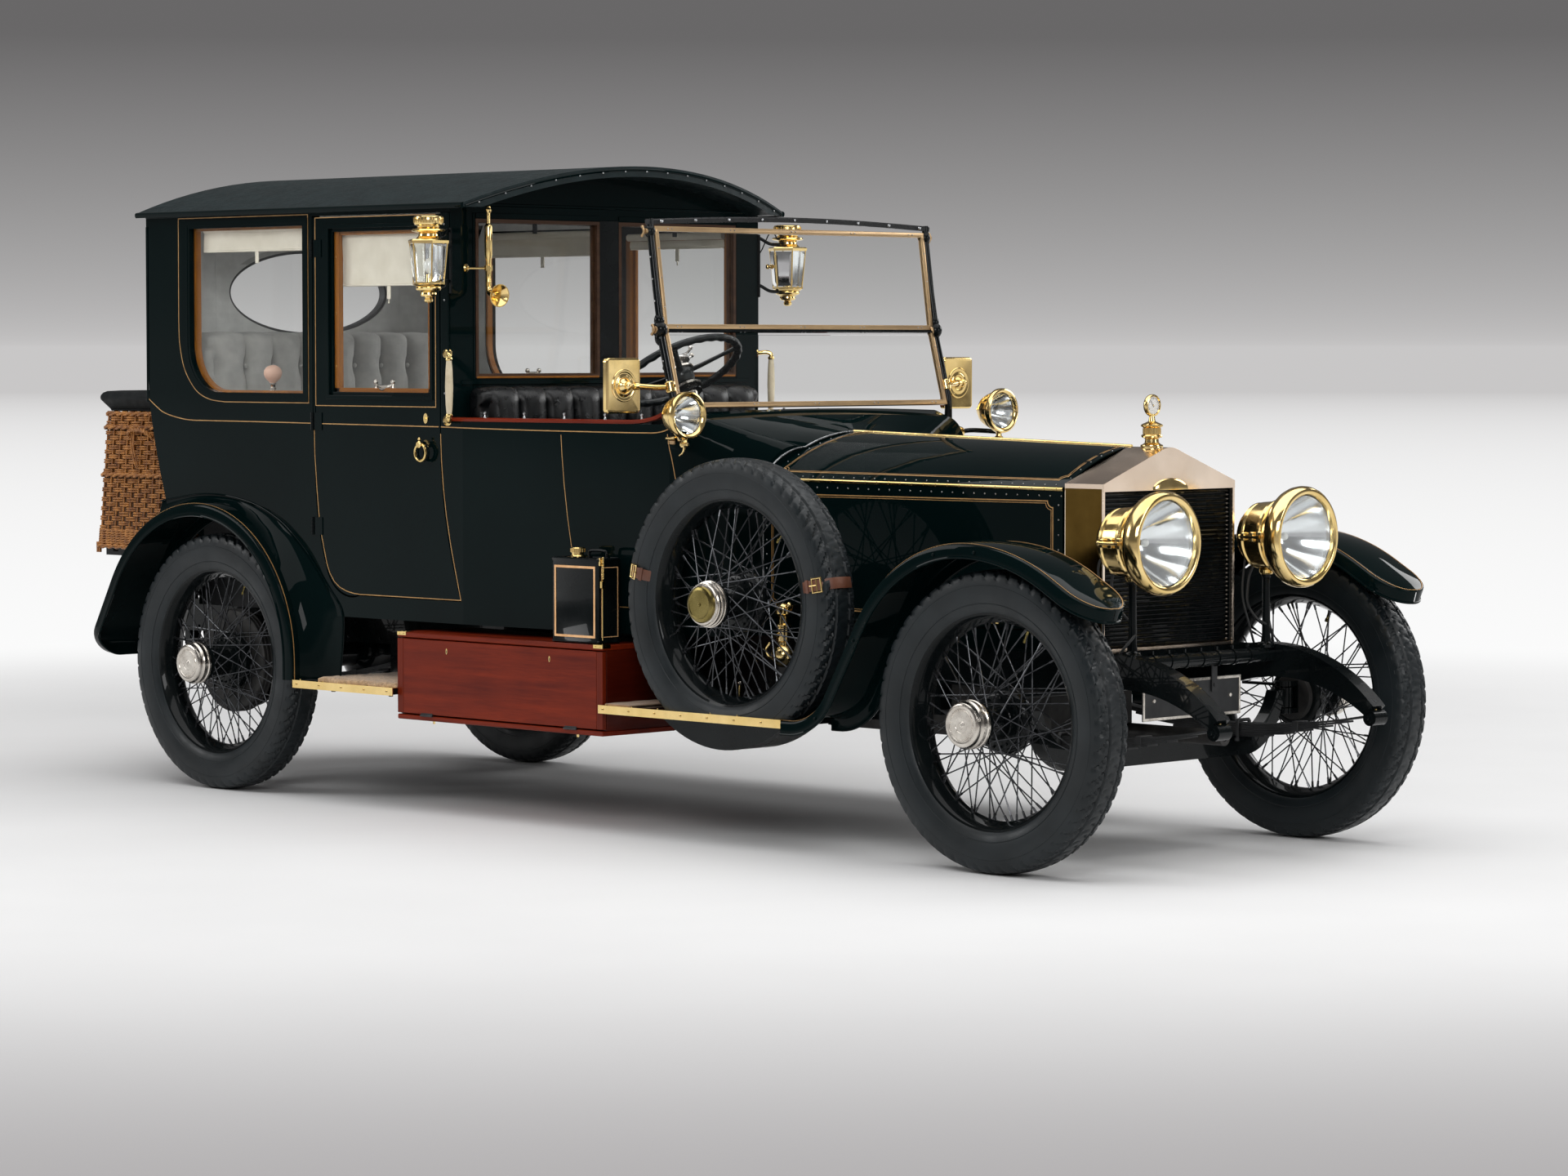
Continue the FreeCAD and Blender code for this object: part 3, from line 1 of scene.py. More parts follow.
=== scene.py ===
"""The looks of a brass era limousine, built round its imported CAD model.

Lengths in the code are millimetres of the design frame that part.py uses: X forward from the middle of the
wheelbase, Y to the left and Z up. Build.done() turns them into metres of the row frame.
"""
import math
import bpy
import bmesh
import numpy as np
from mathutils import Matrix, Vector


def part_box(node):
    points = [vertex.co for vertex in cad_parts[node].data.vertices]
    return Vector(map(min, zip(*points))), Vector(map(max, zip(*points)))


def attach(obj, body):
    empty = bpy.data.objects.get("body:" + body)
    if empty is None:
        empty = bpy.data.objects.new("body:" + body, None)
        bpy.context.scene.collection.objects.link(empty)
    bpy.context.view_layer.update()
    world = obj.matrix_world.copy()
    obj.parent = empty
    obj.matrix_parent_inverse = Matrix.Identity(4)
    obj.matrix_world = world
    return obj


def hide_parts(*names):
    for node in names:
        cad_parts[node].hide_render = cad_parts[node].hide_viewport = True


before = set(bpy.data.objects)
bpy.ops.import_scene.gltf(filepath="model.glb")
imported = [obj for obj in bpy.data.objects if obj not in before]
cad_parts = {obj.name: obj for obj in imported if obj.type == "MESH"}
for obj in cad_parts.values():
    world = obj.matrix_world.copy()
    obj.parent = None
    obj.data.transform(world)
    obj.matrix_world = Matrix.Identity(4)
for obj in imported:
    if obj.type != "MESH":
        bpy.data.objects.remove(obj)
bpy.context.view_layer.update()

TAU = 2 * math.pi
FRONT_X, REAR_X, WHEEL_Y, TYRE_R = 1822.5, -1822.5, 711.0, 447.5
RAIL_SIDE = 400.0       # the chassis rails' outer face
tyre_lo, tyre_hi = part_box("tyre_front_right")
SHIFT_X = (tyre_lo[0] + tyre_hi[0]) * 500 - FRONT_X     # from the design frame to the row frame
CAR = "car"         # the body that everything without a joint rides on
SIDES = ("right", "left")


def rotated(points, axis, angle):
    """The points turned about an axis through the origin."""
    a = np.asarray(axis, float)
    a /= np.linalg.norm(a)
    p = np.asarray(points, float)
    c, s = math.cos(angle), math.sin(angle)
    return p * c + np.cross(a, p) * s + np.outer(p @ a, a).reshape(p.shape) * (1 - c)


def circle(r, n):
    """n points evenly round a circle about the origin."""
    return [(r * math.cos(TAU * i / n), r * math.sin(TAU * i / n)) for i in range(n)]


def arc(centre, r, a0, a1, n):
    """Points of an arc in a plane, from a0 to a1 degrees."""
    return [(centre[0] + r * math.cos(math.radians(a0 + (a1 - a0) * i / n)),
             centre[1] + r * math.sin(math.radians(a0 + (a1 - a0) * i / n))) for i in range(n + 1)]


def bezier(a, b, c, n):
    """Points of a curve from a to c that b pulls."""
    a, b, c = (np.asarray(q, float) for q in (a, b, c))
    t = np.linspace(0, 1, n + 1)[:, None]
    return (1 - t) ** 2 * a + 2 * t * (1 - t) * b + t ** 2 * c


def spline(points, n):
    """A smooth line through the points, n steps to each span."""
    p = np.asarray(points, float)
    p = np.vstack([2 * p[0] - p[1], p, 2 * p[-1] - p[-2]])
    out = []
    for i in range(1, len(p) - 2):
        for t in np.linspace(0, 1, n, endpoint=False):
            out.append(0.5 * (2 * p[i] + (p[i + 1] - p[i - 1]) * t
                              + (2 * p[i - 1] - 5 * p[i] + 4 * p[i + 1] - p[i + 2]) * t ** 2
                              + (3 * p[i] - p[i - 1] - 3 * p[i + 1] + p[i + 2]) * t ** 3))
    out.append(p[-2])
    return np.array(out)


class Build:
    """Collects closed shells, each with a material number, and becomes one mesh."""

    def __init__(self):
        self.verts, self.faces, self.mats, self.count = [], [], [], 0

    def add(self, verts, faces, mat=0):
        """Adds points and the faces between them."""
        verts = np.asarray(verts, float).reshape(-1, 3)
        start = self.count
        self.verts.append(verts)
        self.faces += [tuple(i + start for i in f) for f in faces]
        self.mats += [mat] * len(faces)
        self.count += len(verts)
        return self

    def take(self, other, mirror=False, offset=(0, 0, 0), turn=None):
        """Adds a copy of another build, mirrored across the car, turned (axis, angle), then moved."""
        points = np.vstack(other.verts) * (1, -1 if mirror else 1, 1)
        if turn:
            points = rotated(points, *turn)
        start = self.count
        self.verts.append(points + np.asarray(offset, float))
        self.faces += [tuple(i + start for i in f) for f in other.faces]
        self.mats += other.mats
        self.count += other.count
        return self

    def rings(self, rings, mat=0, caps=True, loop=False):
        """Joins a row of closed rings of points. caps fills its two ends, loop joins them instead."""
        rings = np.asarray(rings, float)
        rows, k = rings.shape[:2]
        faces = []
        for i in range(rows if loop else rows - 1):
            a, b = i * k, ((i + 1) % rows) * k
            for j in range(k):
                faces.append((a + j, a + (j + 1) % k, b + (j + 1) % k, b + j))
        if caps and not loop:
            faces += [tuple(range(k))[::-1], tuple(range((rows - 1) * k, rows * k))]
        return self.add(rings, faces, mat)

    def sweep(self, points, section, up, closed=False, mat=0, scale=None):
        """Runs a section of (aside, up) points along a line. Its corners are mitred unless up is None."""
        p = np.asarray(points, float)
        seg = np.roll(p, -1, 0) - p
        seg /= np.linalg.norm(seg, axis=1)[:, None] + 1e-12
        before = np.roll(seg, 1, 0) if closed else np.vstack([seg[:1], seg[:-1]])
        after = seg if closed else np.vstack([seg[:-1], seg[-2:-1]])
        t = before + after
        t /= np.linalg.norm(t, axis=1)[:, None]
        mitre = np.ones(len(p))
        if up is None:
            u = np.cross(t[0], (0, 0, 1.0) if abs(t[0][2]) < 0.9 else (1.0, 0, 0))
            ups = []
            for d in t:
                u = u - (u @ d) * d
                u /= np.linalg.norm(u)
                ups.append(u)
            ups = np.array(ups)
        else:
            ups = np.broadcast_to(np.asarray(up, float), p.shape)
            ups = ups - (ups * t).sum(1)[:, None] * t
            ups = ups / np.linalg.norm(ups, axis=1)[:, None]
            mitre = 1 / np.maximum((t * after).sum(1), 0.35)
        side = np.cross(t, ups)
        size = np.ones(len(p)) if scale is None else np.asarray(scale, float)
        rings = [p[i] + np.outer([s[0] * mitre[i] for s in section], side[i]) * size[i]
                 + np.outer([s[1] for s in section], ups[i]) * size[i] for i in range(len(p))]
        return self.rings(rings, mat, loop=closed)

    def tube(self, points, r, n, closed=False, mat=0, scale=None):
        """A round rod along a line. scale gives its thickness at each point, as a share of r."""
        return self.sweep(points, circle(r, n), None, closed, mat, scale)

    def bar(self, points, width, height, up, closed=False, mat=0, lift=0.0):
        """A flat bar, width across and height along up, its foot lifted off the line."""
        w, lo, hi = width / 2, lift, lift + height
        return self.sweep(points, [(-w, lo), (w, lo), (w, hi), (-w, hi)], up, closed, mat)

    def cyl(self, start, end, r0, r1=None, n=16, mat=0):
        """A straight rod or cone between two points."""
        a, b = np.asarray(start, float), np.asarray(end, float)
        return self.lathe([(0, r0), (1, r0 if r1 is None else r1)], a, b - a, n, mat, True)

    def lathe(self, profile, origin, axis, n=32, mat=0, caps=False):
        """Turns a profile of (along the axis, radius) points, which starts and ends at radius 0 unless caps
        close it."""
        a = np.asarray(axis, float)
        d = a / np.linalg.norm(a)
        u = np.cross(d, (0, 0, 1.0) if abs(d[2]) < 0.9 else (1.0, 0, 0))
        u /= np.linalg.norm(u)
        w = np.cross(d, u)
        rim = np.array([u * c + w * s for c, s in circle(1, n)])
        rings = [np.asarray(origin, float) + a * s + rim * r for s, r in profile]
        return self.rings(rings, mat, caps=caps)

    def box(self, lo, hi, c=1.0, mat=0):
        """A box with chamfered edges, between any two opposite corners."""
        lo, hi = np.minimum(lo, hi).astype(float), np.maximum(lo, hi).astype(float)
        c = min(c, float((hi - lo).min()) * 0.45)
        rings = []
        for z, inset in ((lo[2], c), (lo[2] + c, 0), (hi[2] - c, 0), (hi[2], c)):
            x0, y0, x1, y1 = lo[0] + inset, lo[1] + inset, hi[0] - inset, hi[1] - inset
            e = c * 0.8
            rings.append([(x0 + e, y0, z), (x1 - e, y0, z), (x1, y0 + e, z), (x1, y1 - e, z),
                          (x1 - e, y1, z), (x0 + e, y1, z), (x0, y1 - e, z), (x0, y0 + e, z)])
        return self.rings(rings, mat)

    def ball(self, centre, r, mat=0, n=10, squash=1.0, axis=(0, 0, 1)):
        """A ball, flattened or drawn out along an axis by squash."""
        rows = n // 2 + 1
        prof = [(-r * squash * math.cos(math.pi * i / rows), r * math.sin(math.pi * i / rows))
                for i in range(rows + 1)]
        return self.lathe(prof, centre, axis, n, mat)

    def plate(self, outline, across, lo, hi, mat=0):
        """A flat outline (u, v) made solid. across is the axis it is thick along: 0, 1 or 2."""
        rings = []
        for level in (lo, hi):
            ring = []
            for u, v in outline:
                ring.append({0: (level, u, v), 1: (u, level, v), 2: (u, v, level)}[across])
            rings.append(ring)
        return self.rings(rings, mat)

    def both(self):
        """This build and its mirror image across the car, as one."""
        return Build().take(self).take(self, True)

    def pair(self, name, body, mats, slot, **more):
        """Makes this right-hand piece and its left-hand mirror image. A {} in either name is the side."""
        for side in SIDES:
            self.on(side, name.format(side), body.format(side), mats, slot, **more)

    def on(self, side, name, body, mats, slot, **more):
        """Makes this right-hand build into a piece on one side of the car."""
        return Build().take(self, side == "left").done(name, body, mats, slot, **more)

    def done(self, name, body, mats, slot, replaces=(), sharp=35, bevel=0):
        """Makes the mesh, which rides on a body and may stand for CAD nodes. Its slot is not used."""
        mesh = bpy.data.meshes.new(name)
        points = (np.vstack(self.verts) + (SHIFT_X, 0, 0)) / 1000
        mesh.from_pydata(points.tolist(), [], self.faces)
        mesh.polygons.foreach_set("material_index", self.mats)
        bm = bmesh.new()
        bm.from_mesh(mesh)
        bmesh.ops.remove_doubles(bm, verts=bm.verts, dist=1e-6)
        bmesh.ops.dissolve_degenerate(bm, edges=bm.edges, dist=1e-7)
        bmesh.ops.recalc_face_normals(bm, faces=bm.faces)
        bm.to_mesh(mesh)
        bm.free()
        mesh.shade_smooth()
        mesh.set_sharp_from_angle(angle=math.radians(sharp))
        obj = bpy.data.objects.new(name, mesh)
        bpy.context.scene.collection.objects.link(obj)
        for m in mats:
            mesh.materials.append(m)
        if bevel:
            edge = obj.modifiers.new("bevel", "BEVEL")
            edge.width, edge.segments, edge.limit_method = bevel / 1000, 2, "ANGLE"
            edge.angle_limit = math.radians(40)
        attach(obj, body)
        if replaces:
            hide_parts(*replaces)
        return obj


# ---------------------------------------------------------------- materials
def nodes_of(name):
    """A new material with its node tree and its shader."""
    mat = bpy.data.materials.new(name)
    mat.use_nodes = True
    tree = mat.node_tree
    return mat, tree, tree.nodes["Principled BSDF"]


def noise(tree, scale, detail=4.0, stretch=None, rough=0.5):
    """Noise over the object's own coordinates, in metres."""
    coords = tree.nodes.new("ShaderNodeTexCoord")
    source = coords.outputs["Object"]
    if stretch:
        place = tree.nodes.new("ShaderNodeMapping")
        place.inputs["Scale"].default_value = stretch
        tree.links.new(source, place.inputs["Vector"])
        source = place.outputs["Vector"]
    tex = tree.nodes.new("ShaderNodeTexNoise")
    tex.inputs["Scale"].default_value = scale
    tex.inputs["Detail"].default_value = detail
    tex.inputs["Roughness"].default_value = rough
    tree.links.new(source, tex.inputs["Vector"])
    return tex.outputs["Fac"]


def ramp(tree, fac, low, high, lo=0.35, hi=0.65):
    """Colours or greys from low to high as fac goes from lo to hi."""
    node = tree.nodes.new("ShaderNodeValToRGB")
    for stop, value, at in ((node.color_ramp.elements[0], low, lo), (node.color_ramp.elements[1], high, hi)):
        value = (value,) * 3 if isinstance(value, float) else value
        stop.color = (*value, 1)
        stop.position = at
    tree.links.new(fac, node.inputs["Fac"])
    return node.outputs["Color"]


def bump(tree, bsdf, height, depth):
    """Relief of a height map, depth in millimetres. More of them add up."""
    node = tree.nodes.new("ShaderNodeBump")
    node.inputs["Distance"].default_value = depth / 1000
    tree.links.new(height, node.inputs["Height"])
    if bsdf.inputs["Normal"].links:
        tree.links.new(bsdf.inputs["Normal"].links[0].from_socket, node.inputs["Normal"])
    tree.links.new(node.outputs["Normal"], bsdf.inputs["Normal"])


def finish(name, low, high, scale, rough, rough_scale, metal=0.0, coat=0.0, reliefs=(), sheen=0.0,
           specular=0.5, coat_ior=1.5):
    """A finish whose colour, roughness and relief all vary over the surface.

    reliefs are (noise scale, depth in millimetres) pairs."""
    mat, tree, bsdf = nodes_of(name)
    tree.links.new(ramp(tree, noise(tree, scale, 6), low, high), bsdf.inputs["Base Color"])
    tree.links.new(ramp(tree, noise(tree, rough_scale, 5), *rough), bsdf.inputs["Roughness"])
    bsdf.inputs["Metallic"].default_value = metal
    bsdf.inputs["Coat Weight"].default_value = coat
    bsdf.inputs["Coat Roughness"].default_value = 0.03
    bsdf.inputs["Coat IOR"].default_value = coat_ior
    bsdf.inputs["Sheen Weight"].default_value = sheen
    bsdf.inputs["Specular IOR Level"].default_value = specular
    for grain, depth in reliefs:
        bump(tree, bsdf, noise(tree, grain, 3), depth)
    return mat


def pattern(tree, kind, scale, **values):
    """A wave or cell texture over the object's coordinates."""
    tex = tree.nodes.new(kind)
    tex.inputs["Scale"].default_value = scale
    for key, value in values.items():
        if key in ("bands_direction", "feature"):
            setattr(tex, key, value)
        else:
            tex.inputs[key.replace("_", " ").title()].default_value = value
    coords = tree.nodes.new("ShaderNodeTexCoord").outputs["Object"]
    tree.links.new(coords, tex.inputs["Vector"])
    return tex.outputs["Fac" if kind == "ShaderNodeTexWave" else "Distance"]


def blend(tree, fac, a, b):
    """Two colours, sockets or values, mixed by fac."""
    node = tree.nodes.new("ShaderNodeMix")
    node.data_type = "RGBA"
    for socket, value in ((node.inputs[6], a), (node.inputs[7], b), (node.inputs[0], fac)):
        if hasattr(value, "is_linked"):
            tree.links.new(value, socket)
        elif isinstance(value, tuple):
            socket.default_value = (*value, 1)
        else:
            socket.default_value = value
    return node.outputs[2]


def glass_finish(name, tint, rough, ior=1.45):
    """Glass that lets lamps through, with a trace of dust in its roughness."""
    mat, tree, bsdf = nodes_of(name)
    bsdf.inputs["Base Color"].default_value = (*tint, 1)
    bsdf.inputs["Transmission Weight"].default_value = 1.0
    bsdf.inputs["Roughness"].default_value = rough
    bsdf.inputs["IOR"].default_value = ior
    path = tree.nodes.new("ShaderNodeLightPath")
    clear = tree.nodes.new("ShaderNodeBsdfTransparent")
    clear.inputs["Color"].default_value = (*tint, 1)
    mix = tree.nodes.new("ShaderNodeMixShader")
    out = tree.nodes["Material Output"]
    tree.links.new(path.outputs["Is Shadow Ray"], mix.inputs["Fac"])
    tree.links.new(bsdf.outputs["BSDF"], mix.inputs[1])
    tree.links.new(clear.outputs["BSDF"], mix.inputs[2])
    tree.links.new(mix.outputs["Shader"], out.inputs["Surface"])
    return mat


# The finishes: colours, which are linear, then the scale of their noise, the roughness and its scale.
PAINT = finish("coach_paint", (0.0008, 0.0045, 0.0047), (0.0016, 0.0062, 0.0064), 1.7, (0.16, 0.21), 3.0,
               coat=0.9, reliefs=((9.0, 0.05),), specular=0.0, coat_ior=1.175)
ENAMEL = finish("black_enamel", (0.002, 0.0032, 0.0036), (0.004, 0.0058, 0.0062), 5.0, (0.20, 0.32), 14.0,
                coat=0.8, reliefs=((60.0, 0.04),), specular=0.05, coat_ior=1.24)
SATIN = finish("satin_black", (0.010, 0.011, 0.012), (0.020, 0.021, 0.022), 9.0, (0.42, 0.60), 25.0,
               reliefs=((140.0, 0.10),))
BRASS = finish("polished_brass", (0.76, 0.54, 0.20), (0.90, 0.68, 0.31), 7.0, (0.10, 0.21), 30.0, metal=1.0,
               reliefs=((45.0, 0.03),))
PALE_BRASS = finish("radiator_brass", (0.90, 0.73, 0.58), (0.98, 0.84, 0.70), 2.5, (0.15, 0.24), 8.0,
                    metal=1.0, reliefs=((20.0, 0.04),))
# painted shade and reflection: a darker copy of the radiator's brass for the shell's side faces
SHADED_BRASS = finish("radiator_side_shade", (0.075, 0.042, 0.008), (0.13, 0.078, 0.018), 6.0, (0.12, 0.24), 9.0,
                    metal=1.0, reliefs=((20.0, 0.04),))
OLD_BRASS = finish("dull_brass", (0.15, 0.118, 0.036), (0.25, 0.20, 0.07), 14.0, (0.20, 0.34), 40.0,
                   metal=1.0, reliefs=((60.0, 0.05),))
NICKEL = finish("nickel", (0.50, 0.46, 0.41), (0.68, 0.64, 0.58), 20.0, (0.14, 0.30), 60.0, metal=1.0,
                reliefs=((90.0, 0.03),))
STEEL = finish("bright_steel", (0.34, 0.35, 0.36), (0.55, 0.56, 0.57), 25.0, (0.20, 0.36), 70.0, metal=1.0,
               reliefs=((200.0, 0.03),))
SILVER = finish("silvered_reflector", (0.82, 0.83, 0.84), (0.93, 0.94, 0.95), 6.0, (0.10, 0.18), 18.0,
                metal=1.0)
GOLD_LINE = finish("coach_line", (0.40, 0.215, 0.075), (0.52, 0.30, 0.11), 30.0, (0.30, 0.45), 90.0,
                   metal=0.25)
SIGN_GOLD = finish("sign_gold", (0.74, 0.40, 0.17), (0.86, 0.50, 0.24), 30.0, (0.35, 0.45), 90.0, metal=0.1)
IRON = finish("cast_iron", (0.014, 0.014, 0.014), (0.034, 0.032, 0.030), 18.0, (0.45, 0.65), 50.0, metal=0.3,
              reliefs=((120.0, 0.25),))
IVORY = finish("ivory", (0.55, 0.46, 0.30), (0.70, 0.61, 0.44), 12.0, (0.25, 0.38), 40.0,
               reliefs=((60.0, 0.05),))
CREAM = finish("cream_blind", (0.60, 0.55, 0.45), (0.70, 0.65, 0.55), 9.0, (0.75, 0.88), 60.0, sheen=0.2,
               reliefs=((700.0, 0.2),))
WINDOW = glass_finish("window_glass", (0.985, 0.995, 0.99), 0.0, 1.27)
LENS = glass_finish("lamp_glass", (0.96, 0.98, 0.98), 0.02)
PORCELAIN = finish("porcelain", (0.70, 0.69, 0.66), (0.80, 0.79, 0.76), 14.0, (0.15, 0.25), 30.0, coat=0.5)
RUBBER = finish("tyre_rubber", (0.0045, 0.0072, 0.0085), (0.010, 0.0145, 0.017), 5.0, (0.34, 0.50), 16.0,
                reliefs=((260.0, 0.12), (30.0, 0.35)), specular=0.35)
SPOKE = finish("enamelled_spokes", (0.035, 0.037, 0.040), (0.085, 0.088, 0.095), 30.0, (0.12, 0.22), 60.0,
               metal=0.75)
BRIGHT_NICKEL = finish("bright_nickel", (0.66, 0.64, 0.61), (0.82, 0.80, 0.77), 20.0, (0.16, 0.28), 60.0,
                       metal=0.9, reliefs=((90.0, 0.03),))
GOLD_BAR = finish("screen_brass", (0.42, 0.28, 0.15), (0.50, 0.345, 0.185), 5.0, (0.34, 0.40), 24.0,
                  metal=0.85)
ENAMEL_RIM = finish("wheel_rim", (0.004, 0.006, 0.0065), (0.009, 0.012, 0.013), 12.0, (0.26, 0.40), 40.0,
                    reliefs=((90.0, 0.06),), specular=0.4)
PINK_RUBBER = finish("bulb_rubber", (0.50, 0.30, 0.22), (0.62, 0.40, 0.31), 14.0, (0.55, 0.7), 40.0,
                     reliefs=((70.0, 0.3),))
# painted shade: the dark sheet inside the basket, behind the rods
SHADE_WICKER = finish("basket_inner_shade", (0.05, 0.022, 0.008), (0.09, 0.042, 0.016), 20.0, (0.7, 0.85), 60.0,
                      reliefs=((90.0, 0.8),))


def wood_finish(name, dark, light, along, rough, coat):
    """Grain stretched along an axis (0, 1 or 2), with broad figure and fine pores."""
    mat, tree, bsdf = nodes_of(name)
    squeeze = [1.0, 1.0, 1.0]
    squeeze[along] = 0.07
    fine = noise(tree, 210.0, 5, squeeze, 0.65)
    broad = noise(tree, 26.0, 6, squeeze, 0.6)
    cloud = noise(tree, 5.0, 3)
    middle = tuple(d * 0.45 + h * 0.55 for d, h in zip(dark, light))
    figure = ramp(tree, broad, dark, light, 0.30, 0.70)
    shade = blend(tree, ramp(tree, fine, 0.0, 0.55, 0.40, 0.75), figure, dark)
    colour = blend(tree, ramp(tree, cloud, 0.0, 0.5), shade, middle)
    tree.links.new(colour, bsdf.inputs["Base Color"])
    tree.links.new(ramp(tree, broad, rough, rough + 0.12), bsdf.inputs["Roughness"])
    bsdf.inputs["Coat Weight"].default_value = coat
    bsdf.inputs["Coat Roughness"].default_value = 0.05
    bsdf.inputs["Coat IOR"].default_value = 1.25
    bsdf.inputs["Specular IOR Level"].default_value = 0.1
    bump(tree, bsdf, fine, 0.12)
    return mat


def leather_finish(name, low, high, rough, grain, depth, specular=0.5, worn=None):
    """Grained hide: fine cells, soft wrinkles and paler rubbed places."""
    mat, tree, bsdf = nodes_of(name)
    base = ramp(tree, noise(tree, 14.0, 5), low, high, 0.3, 0.7)
    if worn:
        rub = ramp(tree, noise(tree, 7.0, 7, None, 0.7), 0.0, 0.8, 0.56, 0.74)
        base = blend(tree, rub, base, worn)
    tree.links.new(base, bsdf.inputs["Base Color"])
    tree.links.new(ramp(tree, noise(tree, 40.0, 4), rough - 0.06, rough + 0.10), bsdf.inputs["Roughness"])
    bsdf.inputs["Specular IOR Level"].default_value = specular
    bump(tree, bsdf, pattern(tree, "ShaderNodeTexVoronoi", grain, feature="F1"), depth)
    bump(tree, bsdf, noise(tree, 55.0, 5), 0.6)
    return mat


def woven_finish(name, low, high, scale, depth, rough=0.85, sheen=0.3, specular=0.5):
    """Cloth whose threads cross, with slubs and a soft mottle."""
    mat, tree, bsdf = nodes_of(name)
    warp = pattern(tree, "ShaderNodeTexWave", scale, bands_direction="X", distortion=1.0)
    weft = pattern(tree, "ShaderNodeTexWave", scale, bands_direction="Z", distortion=1.0)
    across = pattern(tree, "ShaderNodeTexWave", scale, bands_direction="Y", distortion=1.0)
    cross = tree.nodes.new("ShaderNodeMath")
    cross.operation = "MULTIPLY"
    tree.links.new(warp, cross.inputs[0])
    tree.links.new(weft, cross.inputs[1])
    both = tree.nodes.new("ShaderNodeMath")
    both.operation = "MAXIMUM"
    tree.links.new(cross.outputs[0], both.inputs[0])
    tree.links.new(across, both.inputs[1])
    mottle = ramp(tree, noise(tree, 22.0, 6), low, high, 0.3, 0.7)
    dark = tuple(c * 0.72 for c in low)
    tree.links.new(blend(tree, ramp(tree, both.outputs[0], 0.35, 0.0, 0.0, 0.5), mottle, dark),
                   bsdf.inputs["Base Color"])
    tree.links.new(ramp(tree, noise(tree, 35.0), rough - 0.08, rough + 0.05), bsdf.inputs["Roughness"])
    bsdf.inputs["Sheen Weight"].default_value = sheen
    bsdf.inputs["Specular IOR Level"].default_value = specular
    bump(tree, bsdf, both.outputs[0], depth)
    return mat


MAHOGANY = wood_finish("mahogany", (0.085, 0.0065, 0.0018), (0.235, 0.025, 0.0055), 0, 0.28, 0.25)
MAHOGANY_UP = wood_finish("mahogany_stiles", (0.075, 0.006, 0.0018), (0.21, 0.023, 0.0055), 2, 0.28, 0.25)
# painted shade: a darker copy of the mahogany for the toolbox's end faces
MAHOGANY_SHADED = wood_finish("mahogany_end_shade", (0.032, 0.0022, 0.001), (0.10, 0.010, 0.003), 1, 0.28, 0.3)
GOLDEN_WOOD = wood_finish("golden_oak", (0.17, 0.055, 0.006), (0.34, 0.13, 0.018), 2, 0.30, 0.5)
GOLDEN_WOOD_X = wood_finish("golden_oak_rail", (0.17, 0.055, 0.006), (0.34, 0.13, 0.018), 0, 0.30, 0.5)
DARK_WOOD = wood_finish("walnut_frame", (0.030, 0.014, 0.008), (0.085, 0.042, 0.022), 1, 0.32, 0.4)
BLACK_HIDE = leather_finish("black_leather", (0.0015, 0.002, 0.0025), (0.004, 0.0048, 0.0055), 0.30, 620.0,
                            0.22, 0.35)
ROOF_HIDE = leather_finish("roof_leathercloth", (0.003, 0.009, 0.010), (0.007, 0.016, 0.0175), 0.38, 420.0,
                           0.30, 0.18)
TAN_HIDE = leather_finish("strap_leather", (0.085, 0.028, 0.014), (0.16, 0.058, 0.030), 0.42, 500.0, 0.15,
                          worn=(0.20, 0.10, 0.06))
GREY_CLOTH = woven_finish("grey_cord_cloth", (0.34, 0.335, 0.315), (0.45, 0.445, 0.42), 620.0, 0.20)
PALE_CLOTH = woven_finish("lining_cloth", (0.52, 0.52, 0.50), (0.64, 0.64, 0.615), 620.0, 0.15)
BLACK_CANVAS = woven_finish("black_canvas", (0.0015, 0.003, 0.0035), (0.0035, 0.006, 0.0065), 420.0, 0.25,
                            0.6, 0.0, 0.2)
TAN_FELT = woven_finish("tan_felt", (0.30, 0.185, 0.105), (0.42, 0.27, 0.165), 380.0, 0.2)


def fleece_finish():
    """Curly sheepskin: deep soft relief with darker hollows."""
    mat, tree, bsdf = nodes_of("tan_fleece")
    curls = noise(tree, 85.0, 6, None, 0.7)
    tree.links.new(ramp(tree, curls, (0.30, 0.17, 0.075), (0.66, 0.44, 0.24), 0.36, 0.66),
                   bsdf.inputs["Base Color"])
    tree.links.new(ramp(tree, curls, 0.95, 0.8), bsdf.inputs["Roughness"])
    bsdf.inputs["Sheen Weight"].default_value = 0.5
    bump(tree, bsdf, curls, 5.0)
    return mat


def wicker_finish():
    """Willow rods: orange brown, each mottled along its length, with darker streaks."""
    mat, tree, bsdf = nodes_of("willow")
    tone = ramp(tree, noise(tree, 38.0, 6), (0.17, 0.054, 0.009), (0.53, 0.225, 0.050), 0.32, 0.68)
    streak = ramp(tree, noise(tree, 260.0, 4, (1, 1, 0.2)), 0.0, 0.55, 0.45, 0.75)
    tree.links.new(blend(tree, streak, tone, (0.11, 0.034, 0.008)), bsdf.inputs["Base Color"])
    tree.links.new(ramp(tree, noise(tree, 60.0), 0.40, 0.62), bsdf.inputs["Roughness"])
    bump(tree, bsdf, noise(tree, 420.0, 3), 0.3)
    return mat


FLEECE = fleece_finish()
WICKER = wicker_finish()


# ---------------------------------------------------------------- camera, floor and light
FLOOR_HALF = 400        # metres
CAMERA_PLACE = (10.821, -10.482, 1.547)
CAMERA_DIP, CAMERA_TURN = 3.08, 44.749      # degrees
LENS_LENGTH, SENSOR = 103.06, 36


def map_range(tree, value, low, high, smooth=True):
    """0 to 1 as a value goes from low to high."""
    node = tree.nodes.new("ShaderNodeMapRange")
    node.interpolation_type = "SMOOTHSTEP" if smooth else "LINEAR"
    node.inputs["From Min"].default_value = low
    node.inputs["From Max"].default_value = high
    tree.links.new(value, node.inputs["Value"])
    return node.outputs["Result"]


